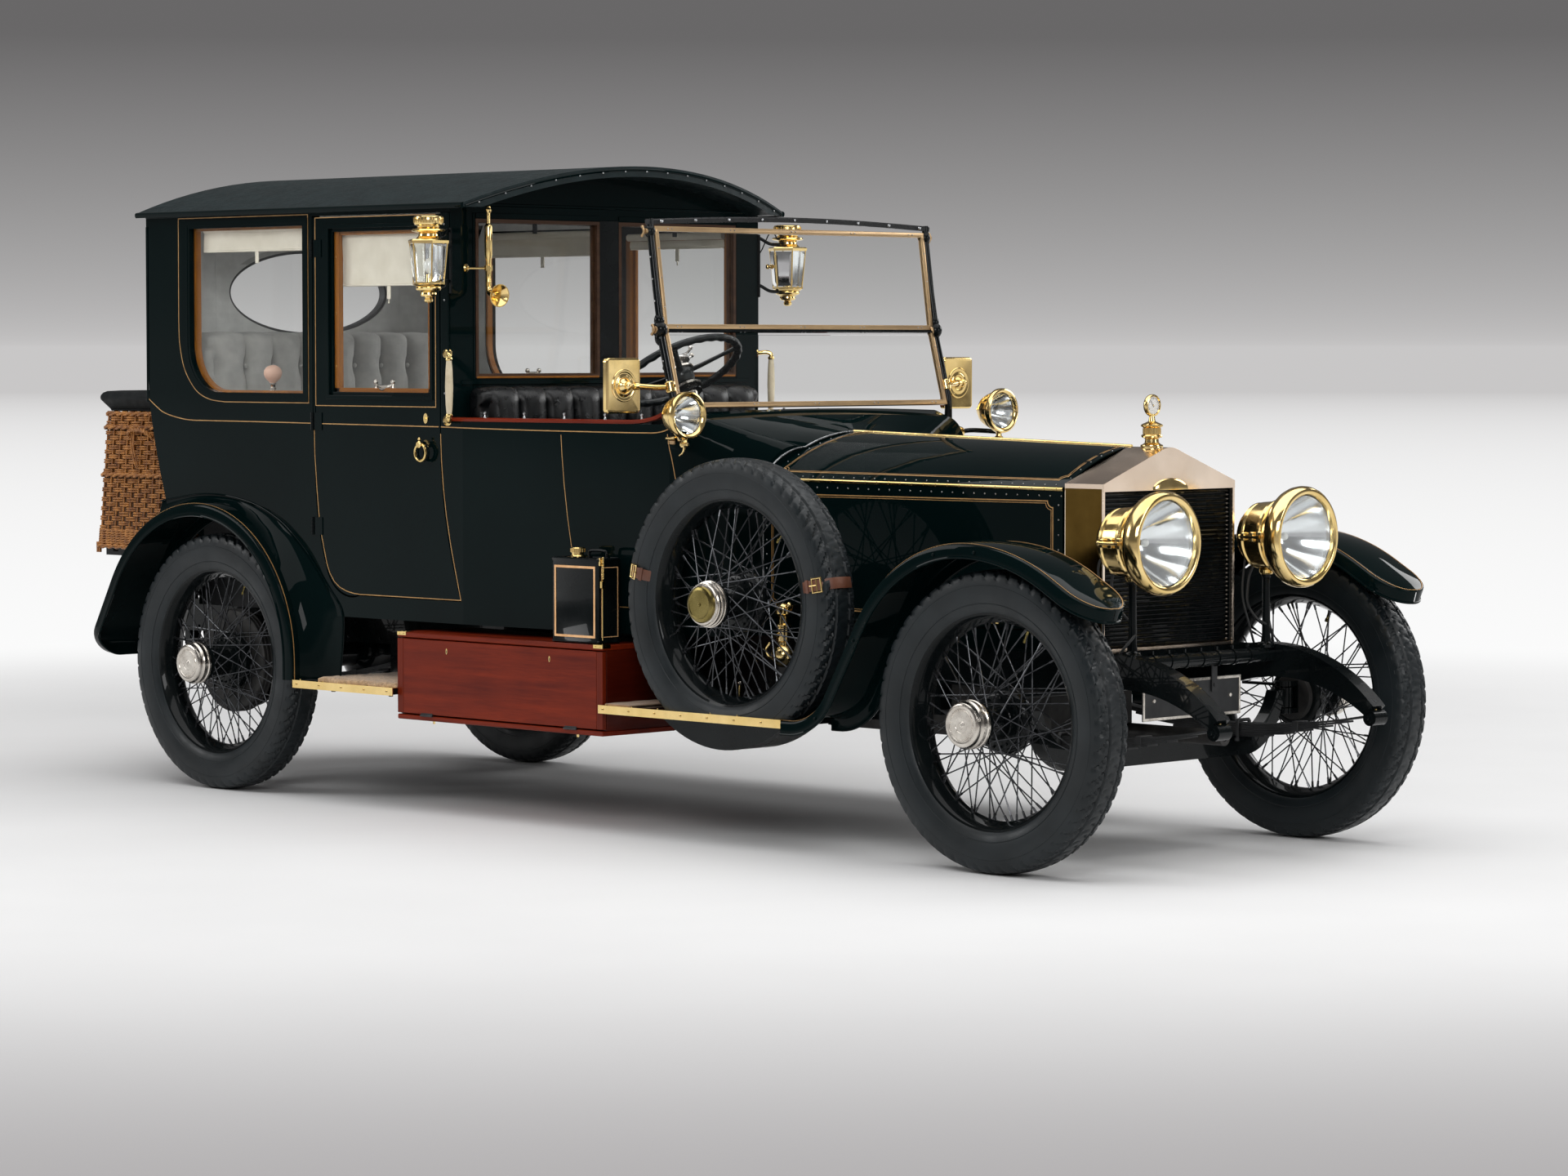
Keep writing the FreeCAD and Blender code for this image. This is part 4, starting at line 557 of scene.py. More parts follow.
def floor_finish():
    """Pale paper that runs on to the backdrop and keeps the car's shadow, with painted shade that darkens it
    towards its front edge.
    """
    mat, tree, bsdf = nodes_of("pale_floor")
    place = tree.nodes.new("ShaderNodeTexCoord").outputs["Object"]
    ahead = tree.nodes.new("ShaderNodeVectorMath")      # painted shade: the paper darkens towards its front edge
    ahead.operation = "DOT_PRODUCT"
    tree.links.new(place, ahead.inputs[0])
    ahead.inputs[1].default_value = (0.71, -0.704, 0)
    front_shade = map_range(tree, ahead.outputs["Value"], 2.9, 7.2)
    paper = ramp(tree, noise(tree, 0.6, 3), (0.80, 0.80, 0.80), (0.84, 0.84, 0.84))
    tree.links.new(blend(tree, front_shade, paper, (0.385, 0.375, 0.378)), bsdf.inputs["Base Color"])
    bsdf.inputs["Roughness"].default_value = 0.6
    far = tree.nodes.new("ShaderNodeVectorMath")
    far.operation = "LENGTH"
    tree.links.new(place, far.inputs[0])
    reach = map_range(tree, far.outputs["Value"], 3.5, 9.0)
    distance = map_range(tree, far.outputs["Value"], 9.0, 140.0, False)
    glow = tree.nodes.new("ShaderNodeEmission")
    level = ramp(tree, distance, (0.96, 0.96, 0.96), (0.58, 0.57, 0.57), 0.0, 1.0)
    tree.links.new(blend(tree, front_shade, level, (0.445, 0.43, 0.435)), glow.inputs["Color"])
    mix = tree.nodes.new("ShaderNodeMixShader")
    tree.links.new(reach, mix.inputs["Fac"])
    tree.links.new(bsdf.outputs["BSDF"], mix.inputs[1])
    tree.links.new(glow.outputs["Emission"], mix.inputs[2])
    tree.links.new(mix.outputs["Shader"], tree.nodes["Material Output"].inputs["Surface"])
    return mat


def studio():
    """The camera, the floor, the sky and the softboxes."""
    camera = bpy.data.objects.new("camera", bpy.data.cameras.new("camera"))
    camera.location = CAMERA_PLACE
    camera.rotation_euler = (math.radians(90 - CAMERA_DIP), 0, math.radians(CAMERA_TURN))
    camera.data.lens = LENS_LENGTH
    camera.data.sensor_width = SENSOR
    camera.data.clip_end = 200
    bpy.context.scene.collection.objects.link(camera)
    bpy.context.scene.camera = camera

    mesh = bpy.data.meshes.new("floor")
    w = FLOOR_HALF
    mesh.from_pydata([(-w, -w, 0), (w, -w, 0), (w, w, 0), (-w, w, 0)], [], [(0, 1, 2, 3)])
    floor = bpy.data.objects.new("floor", mesh)
    bpy.context.scene.collection.objects.link(floor)
    mesh.materials.append(floor_finish())

    world = bpy.data.worlds.new("studio")
    bpy.context.scene.world = world
    world.use_nodes = True
    tree = world.node_tree
    coords = tree.nodes.new("ShaderNodeTexCoord")
    split = tree.nodes.new("ShaderNodeSeparateXYZ")
    tree.links.new(coords.outputs["Generated"], split.inputs[0])
    curve = tree.nodes.new("ShaderNodeMath")
    curve.operation = "POWER"
    curve.use_clamp = True
    tree.links.new(split.outputs["Z"], curve.inputs[0])
    curve.inputs[1].default_value = 0.6
    sky = ramp(tree, curve.outputs[0], (0.58, 0.57, 0.57), (0.14, 0.136, 0.137), 0.0, 0.20)
    tree.links.new(sky, tree.nodes["Background"].inputs["Color"])

    lamps = [  # place, aim, size, power
        ((0.5, -0.5, 7.5), (0.0, 0.0, 0.0), (13.0, 10.0), 800),
        ((7.5, -8.0, 5.0), (0.8, 0.0, 0.7), (4.0, 3.0), 300),
        ((-6.5, -6.5, 4.5), (-0.8, -0.5, 1.0), (4.0, 3.0), 170),
        ((2.0, 8.5, 4.5), (-0.5, 0.5, 1.0), (5.0, 3.0), 200),
        ((9.5, 2.5, 3.5), (1.8, 0.0, 0.8), (2.5, 2.5), 120),
    ]
    for i, (place, aim, size, power) in enumerate(lamps):
        data = bpy.data.lights.new(f"softbox_{i}", "AREA")
        data.shape = "RECTANGLE"
        data.size, data.size_y = size
        data.energy = power
        lamp = bpy.data.objects.new(f"softbox_{i}", data)
        lamp.location = place
        lamp.rotation_euler = (Vector(aim) - Vector(place)).to_track_quat("-Z", "Y").to_euler()
        bpy.context.scene.collection.objects.link(lamp)
    bpy.context.scene.view_settings.view_transform = "Standard"


studio()


# ---------------------------------------------------------------- wheels
SPARE = (765.0, -745.0, 757.0)
TREAD_FROM = 420.0      # the radius where the side wall ends
TREAD_BLOCKS = 58
SPOKE_TIP = 294.0
AXLE = (0, 1, 0)


def tyre_build():
    """A tyre about the Y axis: side walls, and a tread of ribs with slanting notches."""
    wall = [(43, 314), (50, 321), (55, 327), (59.5, 337), (63.5, 351), (66.3, 367), (67.5, 384), (67.5, 399),
            (66.6, 411), (65.2, 419)]
    tread = [(64, 426), (62, 432.5), (58, 438), (52, 441.3), (44, 443.4), (36, 444.8), (33, 445.1),
             (29, 445.5), (26, 445.9), (22, 446.5), (14, 447.2), (7, 447.5)]
    half = wall + tread
    section = half + [(-y, r) for y, r in reversed(half)]
    y, r = (np.array(c, float) for c in zip(*section))
    out = np.where(r > TREAD_FROM, np.abs(y), 90.0)      # how far out the tread is cut; the walls are not
    steps = TREAD_BLOCKS * 8
    theta = TAU * np.arange(steps) / steps
    rings = []
    for a in theta:
        phase = a * TREAD_BLOCKS / TAU
        cut = np.zeros(len(r))
        cut[(out > 25) & (out < 30)] = 6.0
        slant = (phase + (out - 30) / 34 + (y > 0) * 0.5) % 1.0
        cut[(out >= 33) & (out <= 64.5) & (slant < 0.26)] = 6.5
        sipe = (phase + out / 40 + (y > 0) * 0.5) % 1.0
        cut[(out <= 22) & (sipe < 0.14)] = 3.5
        radius = r - cut
        rings.append(np.stack([radius * math.cos(a), y, radius * math.sin(a)], 1))
    tyre = Build().rings(rings, loop=True)
    for side in (-1, 1):        # the raised lines moulded in the walls
        for at, radius in ((63.2, 350.0), (66.6, 403.0)):
            ring = [(radius * math.cos(q), side * at, radius * math.sin(q)) for q in theta[::4]]
            tyre.tube(ring, 1.7, 6, True)
    return tyre


def wheel_build(drum, brass_cap):
    """A wire wheel about the Y axis with +Y outward. 0 enamel, 1 spokes, 2 nickel, 3 brass, 4 iron."""
    b = Build()
    rim = [(-42, 323), (-47, 327), (-51, 323), (-49, 315), (-42, 309), (-30, 303), (-16, 296), (-8, 292),
           (8, 292), (16, 296), (30, 303), (42, 309), (49, 315), (51, 323), (47, 327), (42, 323), (36, 315),
           (-36, 315)]
    b.rings([[(r * u, y, r * v) for y, r in rim] for u, v in circle(1, 120)], loop=True)
    b.lathe([(-45, 0), (-45, 82), (-42, 90), (-36, 97), (-20, 99), (-8, 97), (0, 90), (5, 78), (10, 62),
             (18, 53), (60, 50), (92, 50), (96, 58), (99, 64), (108, 64), (111, 58), (114, 50), (122, 50),
             (124, 60), (124, 0)], (0, 0, 0), AXLE, 56)
    b.lathe([(8, 0), (8, 80), (10, 84), (14, 84), (16, 80), (16, 0)], (0, 0, 0), AXLE, 56)
    for u, v in circle(74, 18):      # nuts
        b.cyl((u, 8, v), (u, 21, v), 4.2, n=6)
    for foot_y, foot_r, count, rim_y, phase in ((104, 60, 26, 9, 0.0), (-30, 96, 24, -9, 0.5),
                                                (11, 82, 22, 0, 0.25)):
        for i in range(count):
            turn = TAU * (i + phase) / count
            lean = turn + (1.12 if i % 2 else -1.12)
            foot = np.array((foot_r * math.cos(lean), foot_y, foot_r * math.sin(lean)))
            tip = np.array((SPOKE_TIP * math.cos(turn), rim_y, SPOKE_TIP * math.sin(turn)))
            b.cyl(foot, tip, 2.2, n=7, mat=1)
            b.cyl(tip + (foot - tip) * 0.075, tip, 3.4, 4.2, n=7, mat=1)
    if brass_cap:
        b.lathe([(116, 0), (116, 62), (119, 70), (124, 72.5), (128, 72.5), (130, 68), (133, 71), (138, 71),
                 (140, 66), (144, 68.5), (149, 68), (151, 63), (156, 65), (160, 63), (161, 58), (161, 0)],
                (0, 0, 0), AXLE, 72, 2)
        b.lathe([(158, 0), (158, 57), (166, 57), (171, 54), (173.5, 49), (174.5, 45), (172.5, 42), (172.5, 4),
                 (174, 3), (174, 0)], (0, 0, 0), AXLE, 72, 3)
    else:
        b.lathe([(116, 0), (116, 60), (119, 68), (124, 72.5), (131, 72.5), (134, 69), (137, 71.5),
                 (143, 72.5), (152, 72.5), (157, 69), (160, 67.5), (165, 67), (170, 65), (173, 61),
                 (174, 56), (173, 52), (173, 48.5), (171.8, 47.5), (171.8, 46.3), (173, 45.3), (173.3, 24),
                 (172.2, 23), (172.2, 12), (173.5, 11), (173.5, 9), (174.8, 7), (175, 0)], (0, 0, 0), AXLE,
                72, 2)
        for u, v in circle(43, 44):
            b.ball((u, 173, v), 1.5, 2, 6)
    b.ball((0, 174, 0), 5.5, 3 if brass_cap else 2, 10, 0.6, AXLE)
    if drum:
        b.lathe([(-70, 0), (-70, 168), (-68, 176), (-64, 180), (-58, 180), (-56, 177), (-50, 177),
                 (-48, 180), (-42, 180), (-40, 177), (-34, 177), (-32, 180), (-26, 180), (-22, 176),
                 (-20, 168), (-22, 150), (-30, 120), (-34, 90), (-34, 0)], (0, 0, 0), AXLE, 80, 4)
    else:
        b.lathe([(-58, 0), (-58, 60), (-56, 70), (-46, 76), (-44, 0)], (0, 0, 0), AXLE, 40, 4)
    valve = np.array((math.cos(1.2), 0, math.sin(1.2)))
    b.cyl(valve * 300, valve * 264, 5, 4, 10, 3)
    b.cyl(valve * 264, valve * 254, 6, 6, 8, 3)
    return b


def strap(angle):
    """A buckled leather strap round the spare tyre at an angle from the front. 0 leather, 1 brass."""
    b = Build()
    out = np.array((math.cos(angle), 0, math.sin(angle)))
    along = np.array((-math.sin(angle), 0, math.cos(angle)))
    centre = np.array(SPARE) + out * 386

    def at(q, r):
        """A place r from the middle of the tyre's section, q round it from the outer side."""
        return centre + out * (r * math.cos(q)) + np.array((0, -1, 0)) * (r * math.sin(q))

    line = [at(TAU * i / 40, 72.5 if 6 < i < 15 else 70.0) for i in range(40)]
    section = [(-17, -0.5), (17, -0.5), (17, 2.6), (14, 3.4), (-14, 3.4), (-17, 2.6)]
    rings = []
    for i, p in enumerate(line):
        up = (p - centre) / np.linalg.norm(p - centre)
        rings.append([p + along * s + up * h for s, h in section])
    b.rings(rings, loop=True)
    up = at(1.25, 1) - at(1.25, 0)
    here = at(1.25, 75.5)
    side = np.cross(along, up)
    corner = [here + along * 21 + side * 15, here + along * 21 - side * 15,
              here - along * 21 - side * 15, here - along * 21 + side * 15]
    b.sweep(corner, circle(2.6, 8), up, True, 1)
    b.cyl(here + along * 20, here - along * 20, 2.4, n=8, mat=1)
    b.cyl(here, here - side * 24 + up * 1.5, 1.8, n=6, mat=1)
    keeper = [at(1.75, 74.5) + along * s for s in (-20, 20)]
    b.bar(keeper, 12, 3.5, at(1.75, 1) - at(1.75, 0))
    for k in range(4):
        q = 2.05 + 0.17 * k
        b.cyl(at(q, 73.4), at(q, 73.4) + (at(q, 1) - at(q, 0)) * 0.9, 2.2, n=8, mat=1)
    return b


def make_wheels():
    """Four wheels, the spare and its straps. The rear wheels carry brake drums."""
    tyre = tyre_build()
    mats = [ENAMEL, SPOKE, NICKEL, OLD_BRASS, IRON]
    for end, x, drum in (("front", FRONT_X, False), ("rear", REAR_X, True)):
        wheel = wheel_build(drum, False)
        for side in SIDES:
            right = side == "right"
            name = "wheel_" + end + "_" + side
            place = (x, -WHEEL_Y if right else WHEEL_Y, TYRE_R)
            Build().take(tyre, right, place).done("tyre_look_" + end + "_" + side, name, [RUBBER], "tyre",
                                                  ["tyre_" + end + "_" + side], 24)
            Build().take(wheel, right, place).done("wheel_look_" + end + "_" + side, name, mats,
                                                   "black_enamel", [name], 30)
    Build().take(tyre, True, SPARE).done("spare_tyre", CAR, [RUBBER], "tyre", ["spare_wheel"], 24)
    spare = Build().take(wheel_build(False, True), True, SPARE, (AXLE, 0.35))
    spare.done("spare_wheel_look", CAR, mats, "black_enamel", sharp=30)
    straps = strap(math.radians(10)).take(strap(math.radians(168)))
    straps.done("spare_straps", CAR, [TAN_HIDE, BRASS], "leather")


make_wheels()


# ---------------------------------------------------------------- bonnet, radiator and front lamps
def arc3(a, b, c, n):
    """Points on the circle through three points of a plane."""
    (ax, ay), (bx, by), (cx, cy) = a, b, c
    d = 2 * (ax * (by - cy) + bx * (cy - ay) + cx * (ay - by))
    aa, bb, cc = ax * ax + ay * ay, bx * bx + by * by, cx * cx + cy * cy
    ux = (aa * (by - cy) + bb * (cy - ay) + cc * (ay - by)) / d
    uy = (aa * (cx - bx) + bb * (ax - cx) + cc * (bx - ax)) / d
    r = math.hypot(ax - ux, ay - uy)
    q = [math.atan2(y - uy, x - ux) for x, y in (a, b, c)]
    while q[1] < q[0]:
        q[1] += TAU
    while q[2] < q[0]:
        q[2] += TAU
    if q[2] < q[1]:
        q[2] -= TAU
    turns = [q[0] + (q[2] - q[0]) * i / n for i in range(n + 1)]
    return [(ux + r * math.cos(turn), uy + r * math.sin(turn)) for turn in turns]


# the bonnet's two ends: x, half width, height of the side hinge and of the centre
BONNET = ((545.0, 416.0, 1128.0, 1273.0), (1712.0, 312.0, 1118.0, 1243.0))
BONNET_FOOT = 692.0
HINGE_GAP = 5.5
RADIATOR_X, RADIATOR_FRONT, RADIATOR_HALF, RADIATOR_FOOT = 1717.0, 1868.5, 310.0, 630.0


def bonnet_profile(half, side_z, top_z):
    """One end of the bonnet's roof from the side hinge to the centre one, as (y, z)."""
    g = HINGE_GAP
    return np.array(arc3((half - g * 0.9, side_z + g * 0.6), (half * 0.52, side_z + (top_z - side_z) * 0.66),
                         (g, top_z - 0.5), 60))


BONNET_ARCS = [bonnet_profile(*end[1:]) for end in BONNET]


def bonnet_at(x, climb):
    """A point on the right half of the bonnet's roof, `climb` from the side hinge, with its normal."""
    share = (x - BONNET[0][0]) / (BONNET[1][0] - BONNET[0][0])
    line = BONNET_ARCS[0] * (1 - share) + BONNET_ARCS[1] * share
    steps = np.linalg.norm(np.diff(line, axis=0), axis=1)
    run = np.concatenate([[0], np.cumsum(steps)])
    climb = run[-1] + climb if climb < 0 else climb      # a negative climb counts back from the centre
    y, z = np.interp(climb, run, line[:, 0]), np.interp(climb, run, line[:, 1])
    i = min(int(np.searchsorted(run, climb)), 59)
    dy, dz = line[i + 1] - line[i] if i < 60 else line[-1] - line[-2]
    normal = np.array((0, -dz, -dy)) / math.hypot(dy, dz)
    return np.array((x, -y, z)), normal * math.copysign(1, normal[2])


def bonnet_side_at(x, z):
    """A point on the bonnet's right side with its normal."""
    share = (x - BONNET[0][0]) / (BONNET[1][0] - BONNET[0][0])
    half = BONNET[0][1] + (BONNET[1][1] - BONNET[0][1]) * share
    return np.array((x, -half - 2.0, z)), np.array((0.089, -0.996, 0.0))


def notched(u0, u1, low, high, r):
    """A rectangle with hollowed corners. high may be a function of u."""

    def edge(u, upper):
        if not upper:
            return low
        return high(u) if callable(high) else high

    pts = []
    corners = ((u0, False, 1, 1), (u1, False, -1, 1), (u1, True, -1, -1), (u0, True, 1, -1))
    for k, (u, upper, su, sv) in enumerate(corners):
        bow = [(u + su * r * math.cos(q), sv * r * math.sin(q)) for q in np.linspace(0, math.pi / 2, 6)]
        pts += [(at, edge(at, upper) + dv) for at, dv in (bow if k % 2 else reversed(bow))]
    dense = []
    for a, b in zip(pts, pts[1:] + pts[:1]):
        n = max(1, int(math.hypot(b[0] - a[0], b[1] - a[1]) / 60))
        dense += [(a[0] + (b[0] - a[0]) * i / n, a[1] + (b[1] - a[1]) * i / n) for i in range(n)]
    return [p for i, p in enumerate(dense)
            if math.hypot(p[0] - dense[i - 1][0], p[1] - dense[i - 1][1]) > 0.3]


def double_line(b, surface, u0, u1, low, high):
    """A broad and a fine painted line round a panel with hollowed corners, on a surface(u, v) that gives a
    point and its normal. high may be a function of u."""
    for inset, width in ((0.0, 3.4), (6.5, 1.8)):
        top = (lambda u, i=inset: high(u) - i) if callable(high) else high - inset
        rows = [surface(u, v) for u, v in notched(u0 + inset, u1 - inset, low + inset, top, 20.0)]
        b.bar([p for p, _ in rows], width, 0.45, np.array([n for _, n in rows]), True, 0, 0.15)


def knuckled(b, a, c, r):
    """A hinge rod whose knuckles show as fine dips."""
    pitch = 46.0
    a, c = np.array(a, float), np.array(c, float)
    length = np.linalg.norm(c - a)
    stops, sizes = [], []
    for k in range(int(length / pitch) + 1):
        for d, s in ((-1.2, 1.0), (0.0, 0.8), (1.2, 1.0)):
            at = k * pitch + d
            if 0 <= at <= length:
                stops.append(at)
                sizes.append(s)
    stops.append(length)
    sizes.append(1.0)
    b.tube([a + (c - a) * (s / length) for s in stops], r, 10, scale=sizes)


def make_bonnet():
    """Hinges, rivets, lines and buttons on the bonnet's roofs and sides."""
    (xa, ha, za, _), (xb, hb, zb, _) = BONNET
    b = Build()
    knuckled(b, (xa, -ha, za), (xb, -hb, zb), 6.0)
    for x in np.arange(xa + 20, xb - 10, 41.0):
        b.ball(bonnet_at(x, 15.0)[0], 2.6, 1, 8)
    for x in (xa + 11, xb - 11):
        for climb in np.arange(52.0, 330.0, 52.0):
            b.ball(bonnet_at(x, climb)[0], 2.2, 1, 8)
    b.pair("bonnet_hinge_strip_{}", "bonnet_top_{}", [BRASS, STEEL], "brass")

    def top(x):
        return float(np.interp(x, (xa, xb), (438.0, 334.0)))

    b = Build()
    double_line(b, bonnet_at, xa + 30, xb - 26, 40.0, top)
    b.pair("bonnet_top_lines_{}", "bonnet_top_{}", [GOLD_LINE], "brass")
    b = Build()
    double_line(b, bonnet_side_at, xa + 34, xb - 36, BONNET_FOOT + 30, 1082.0)
    b.pair("bonnet_side_lines_{}", "bonnet_side_{}", [GOLD_LINE], "brass")
    b = Build()
    for x in np.arange(xa + 14, xb - 4, 41.0):
        b.ball(bonnet_side_at(x, float(np.interp(x, (xa, xb), (za, zb))) - 21)[0], 2.9, 0, 8)
    for x in (xa + 13, xb - 15):
        for z in np.arange(BONNET_FOOT + 18, 1085.0, 45.0):
            b.ball(bonnet_side_at(x, z)[0], 2.9, 0, 8)
    for x in (xa + 250, xb - 250):      # turn buttons at the foot
        p, n = bonnet_side_at(x, BONNET_FOOT + 16)
        b.cyl(p, p + n * 9, 8, 6.5, 14, 1)
        b.tube([p + n * 10 + np.array((d, 0, 0)) for d in (-22, -10, 0, 10, 22)], 4.5, 8, mat=1,
               scale=[0.7, 1.0, 1.2, 1.0, 0.7])
    b.pair("bonnet_rivets_{}", "bonnet_side_{}", [STEEL, BRASS], "brass")
    b = Build()
    knuckled(b, (540, 0, 1273), (1717, 0, 1243), 5.4)
    b.done("bonnet_centre_hinge", CAR, [BRASS], "brass", ["bonnet_hinge"])
    arch = arc3((416, 1128), (337, 1196), (225, 1226), 14)[:-1]
    arch += arc3((225, 1226), (112, 1261), (0, 1273), 10)
    half = [(542.0, -y, z) for y, z in [(416, 700), (416, 900), (416, 1060)] + arch]
    b = Build().tube(half + [(x, -y, z) for x, y, z in reversed(half[:-1])], 3.2, 8)
    b.done("bonnet_rest_beading", CAR, [STEEL], "brass")


def make_radiator():
    """The shell, its brow, the slats and the cap with its dial."""
    x0, x1, half, z0, core = RADIATOR_X, RADIATOR_FRONT, RADIATOR_HALF, RADIATOR_FOOT, 1113.0
    crown = sorted((-y, z) for y, z in arc3((-50, 1230), (0, 1242), (50, 1230), 8))
    ring = [(-half, z0), (-half, 1136)] + crown + [(half, 1136), (half, z0)]
    b = Build()
    wall = [(0, 0), (0, x1 - x0), (9, x1 - x0), (9, 0)]
    b.sweep([(x0, y, z) for y, z in ring], wall, (1, 0, 0))
    b.box((x0, -half + 4, z0), (x1 - 1, half - 4, z0 + 11), 1.5)
    face = [(-half + 0.6, core), (-half + 0.6, 1135.7)] + [(y, z - 0.6) for y, z in crown]
    face += [(half - 0.6, 1135.7), (half - 0.6, core)]
    b.plate(face, 0, 1863.0, 1870.0)
    b.plate(face, 0, x0, x0 + 6)
    for s in (-1, 1):      # the sides below the shoulders take a darker copy of the brass: painted shade and reflection
        b.box((x0 + 3, s * (half - 2), z0 + 2), (x1 - 5, s * (half + 0.5), 1122), 0.2, 1)
    b.done("radiator_shell_look", CAR, [PALE_BRASS, SHADED_BRASS], "brass", ["radiator_shell"], bevel=1.6)
    rows = []
    for share in (1.0, 0.97, 0.9, 0.8, 0.65, 0.5, 0.35, 0.18, 0.02):
        bulge = 13 * math.sqrt(1 - share * share)
        rows.append([(1869 + bulge, 84 * share * math.cos(q), core + 0.5 + 36 * share * math.sin(q))
                     for q in np.linspace(0, math.pi, 29)])
    Build().rings(rows).done("radiator_brow", CAR, [BRASS], "brass")
    b = Build()
    b.box((x0 + 15, -half + 10, z0 + 12), (1846, half - 10, core - 1), 1, 1)
    nose = [(-5, 0), (-5, 9), (-3, 12.5), (0, 13.6), (3, 12.5), (5, 9), (5, 0)]
    pitch = 13.4
    for k in range(int((core - z0 - 14) / pitch)):
        z = z0 + 19 + k * pitch
        b.sweep([(1844, -half + 10, z), (1844, half - 10, z)], nose, (1, 0, 0))
    for y in (-half + 12, half - 12):
        b.box((1842, y - 2.5, z0 + 12), (1861, y + 2.5, core - 1), 0.8)
    b.done("radiator_slats", CAR, [ENAMEL, SATIN], "black_enamel", ["radiator_core"])
    b = Build()
    x, dial = 1796.0, 1368
    b.lathe([(-6, 0), (-6, 33), (2, 35), (6, 34), (9, 27), (13, 22), (24, 21), (27, 24), (29, 31), (33, 33),
             (37, 31), (39, 26.5), (58, 26), (60, 30), (63, 34), (67, 34), (70, 29), (74, 20), (78, 11),
             (100, 7), (100, 0)], (x, 0, 1242), (0, 0, 1), 40)
    for u, v in circle(26.5, 24):
        b.cyl((x + u, v, 1282), (x + u, v, 1299), 1.5, n=6)
    b.lathe([(-9, 0), (-9, 27), (-7, 32), (-3, 34), (4, 34), (8, 32.5), (9, 29), (6, 27.5), (5, 27), (5, 0)],
            (x, 0, dial), (1, 0, 0), 44)
    b.lathe([(4.2, 0), (4.2, 26.5), (5.8, 26.5), (5.8, 0)], (x, 0, dial), (1, 0, 0), 40, 1)
    for i in range(25):      # the dial's marks, every sixth of them longer and broader
        a = math.radians(-30 + 240 * i / 24)
        long, broad = (3.0, 0.9) if i % 6 else (5.5, 1.5)
        mark = [(x + 5.8, r * math.cos(a), dial + r * math.sin(a)) for r in (24.5, 24.5 - long)]
        b.bar(mark, broad, 0.4, (1, 0, 0), mat=2)
    b.bar([(x + 6, 0, dial - 4), (x + 6, -13, dial + 15)], 1.4, 0.7, (1, 0, 0), mat=2)
    b.ball((x + 6, 0, dial), 3, 0, 8, 0.5, (1, 0, 0))
    b.done("radiator_cap_look", CAR, [BRASS, PORCELAIN, SATIN], "brass", ["radiator_cap"], 30)


def lamp_face(b, centre, r, depth, scale=1.0):
    """A silvered bowl with its bulb, behind a domed glass. 0 brass, 1 silver, 2 glass, 3 porcelain."""
    centre = np.asarray(centre, float)
    bowl = [(-depth * (1 - (q / 12) ** 2), r * q / 12) for q in range(13)]
    back = [(a - 2.5, q + 0.5) for a, q in reversed(bowl)]
    back[-1] = (back[-1][0], 0)
    b.lathe(bowl + back, centre, (1, 0, 0), 56, 1)
    dome = [(-1 + 9 * scale * (1 - (q / 8) ** 2), r * 0.985 * q / 8) for q in range(9)]
    b.lathe(dome + [(a - 2.6, q) for a, q in reversed(dome)], centre, (1, 0, 0), 56, 2)
    b.cyl(centre + (-depth + 1, 0, 0), centre + (-depth + 26 * scale, 0, 0), 11 * scale, 8 * scale, 16, 0)
    b.ball(centre + (-depth + 40 * scale, 0, 0), 13 * scale, 3, 12)


def headlamp():
    """The left lamp. 0 brass, 1 silver, 2 glass, 3 porcelain, 4 enamel."""
    b = Build()
    x, y, z = 2133.0, 329.0, 968.0
    b.lathe([(-250, 0), (-250, 22), (-246, 32), (-240, 35), (-236, 33), (-233, 42), (-222, 62), (-207, 79),
             (-192, 91), (-184, 95), (-180, 101), (-173, 101), (-169, 97), (-162, 103), (-112, 107),
             (-106, 112), (-98, 112), (-94, 108), (-84, 112), (-68, 127), (-56, 139), (-46, 147),
             (-34, 152.5), (-20, 155), (-8, 154.5), (2, 151), (8, 146), (10, 140), (9, 134), (5, 129),
             (-2, 127), (-10, 127), (-14, 131), (-44, 133), (-62, 122), (-90, 96), (-150, 90), (-200, 60),
             (-236, 0)], (x, y, z), (1, 0, 0), 88)
    lamp_face(b, (x - 6, y, z), 127.5, 120)
    for s in (1, -1):      # the clamps that hold the rim
        base = np.array((x - 100, y + s * 108, z))
        for dx, w, h in ((-58, 9, 26), (-24, 9, 30), (10, 8, 34)):
            b.box(base + (dx - w, -9, -h / 2), base + (dx + w, 9, h / 2), 2.5)
        b.tube([base + (dx, s * dy, 0) for dx, dy in ((-66, 8), (-40, 13), (0, 14), (24, 22))], 5.5, 10)
        b.ball(base + (-66, s * 9, 0), 8)
    post = (1990, 316)
    b.lathe([(0, 0), (0, 26), (8, 27), (13, 24), (18, 16), (40, 13), (120, 12), (215, 12), (222, 17),
             (232, 19), (240, 19), (246, 15), (262, 15), (262, 0)], (*post, 626), (0, 0, 1), 28, 4)
    b.lathe([(0, 0), (0, 17), (5, 22), (14, 23), (20, 19), (24, 14), (24, 0)], (*post, 850), (0, 0, 1), 28)
    for a in (0.6, 2.2, 3.7, 5.3):
        u, v = post[0] + 21 * math.cos(a), post[1] + 21 * math.sin(a)
        b.cyl((u, v, 636), (u, v, 642), 4.5, n=6, mat=4)
    return b


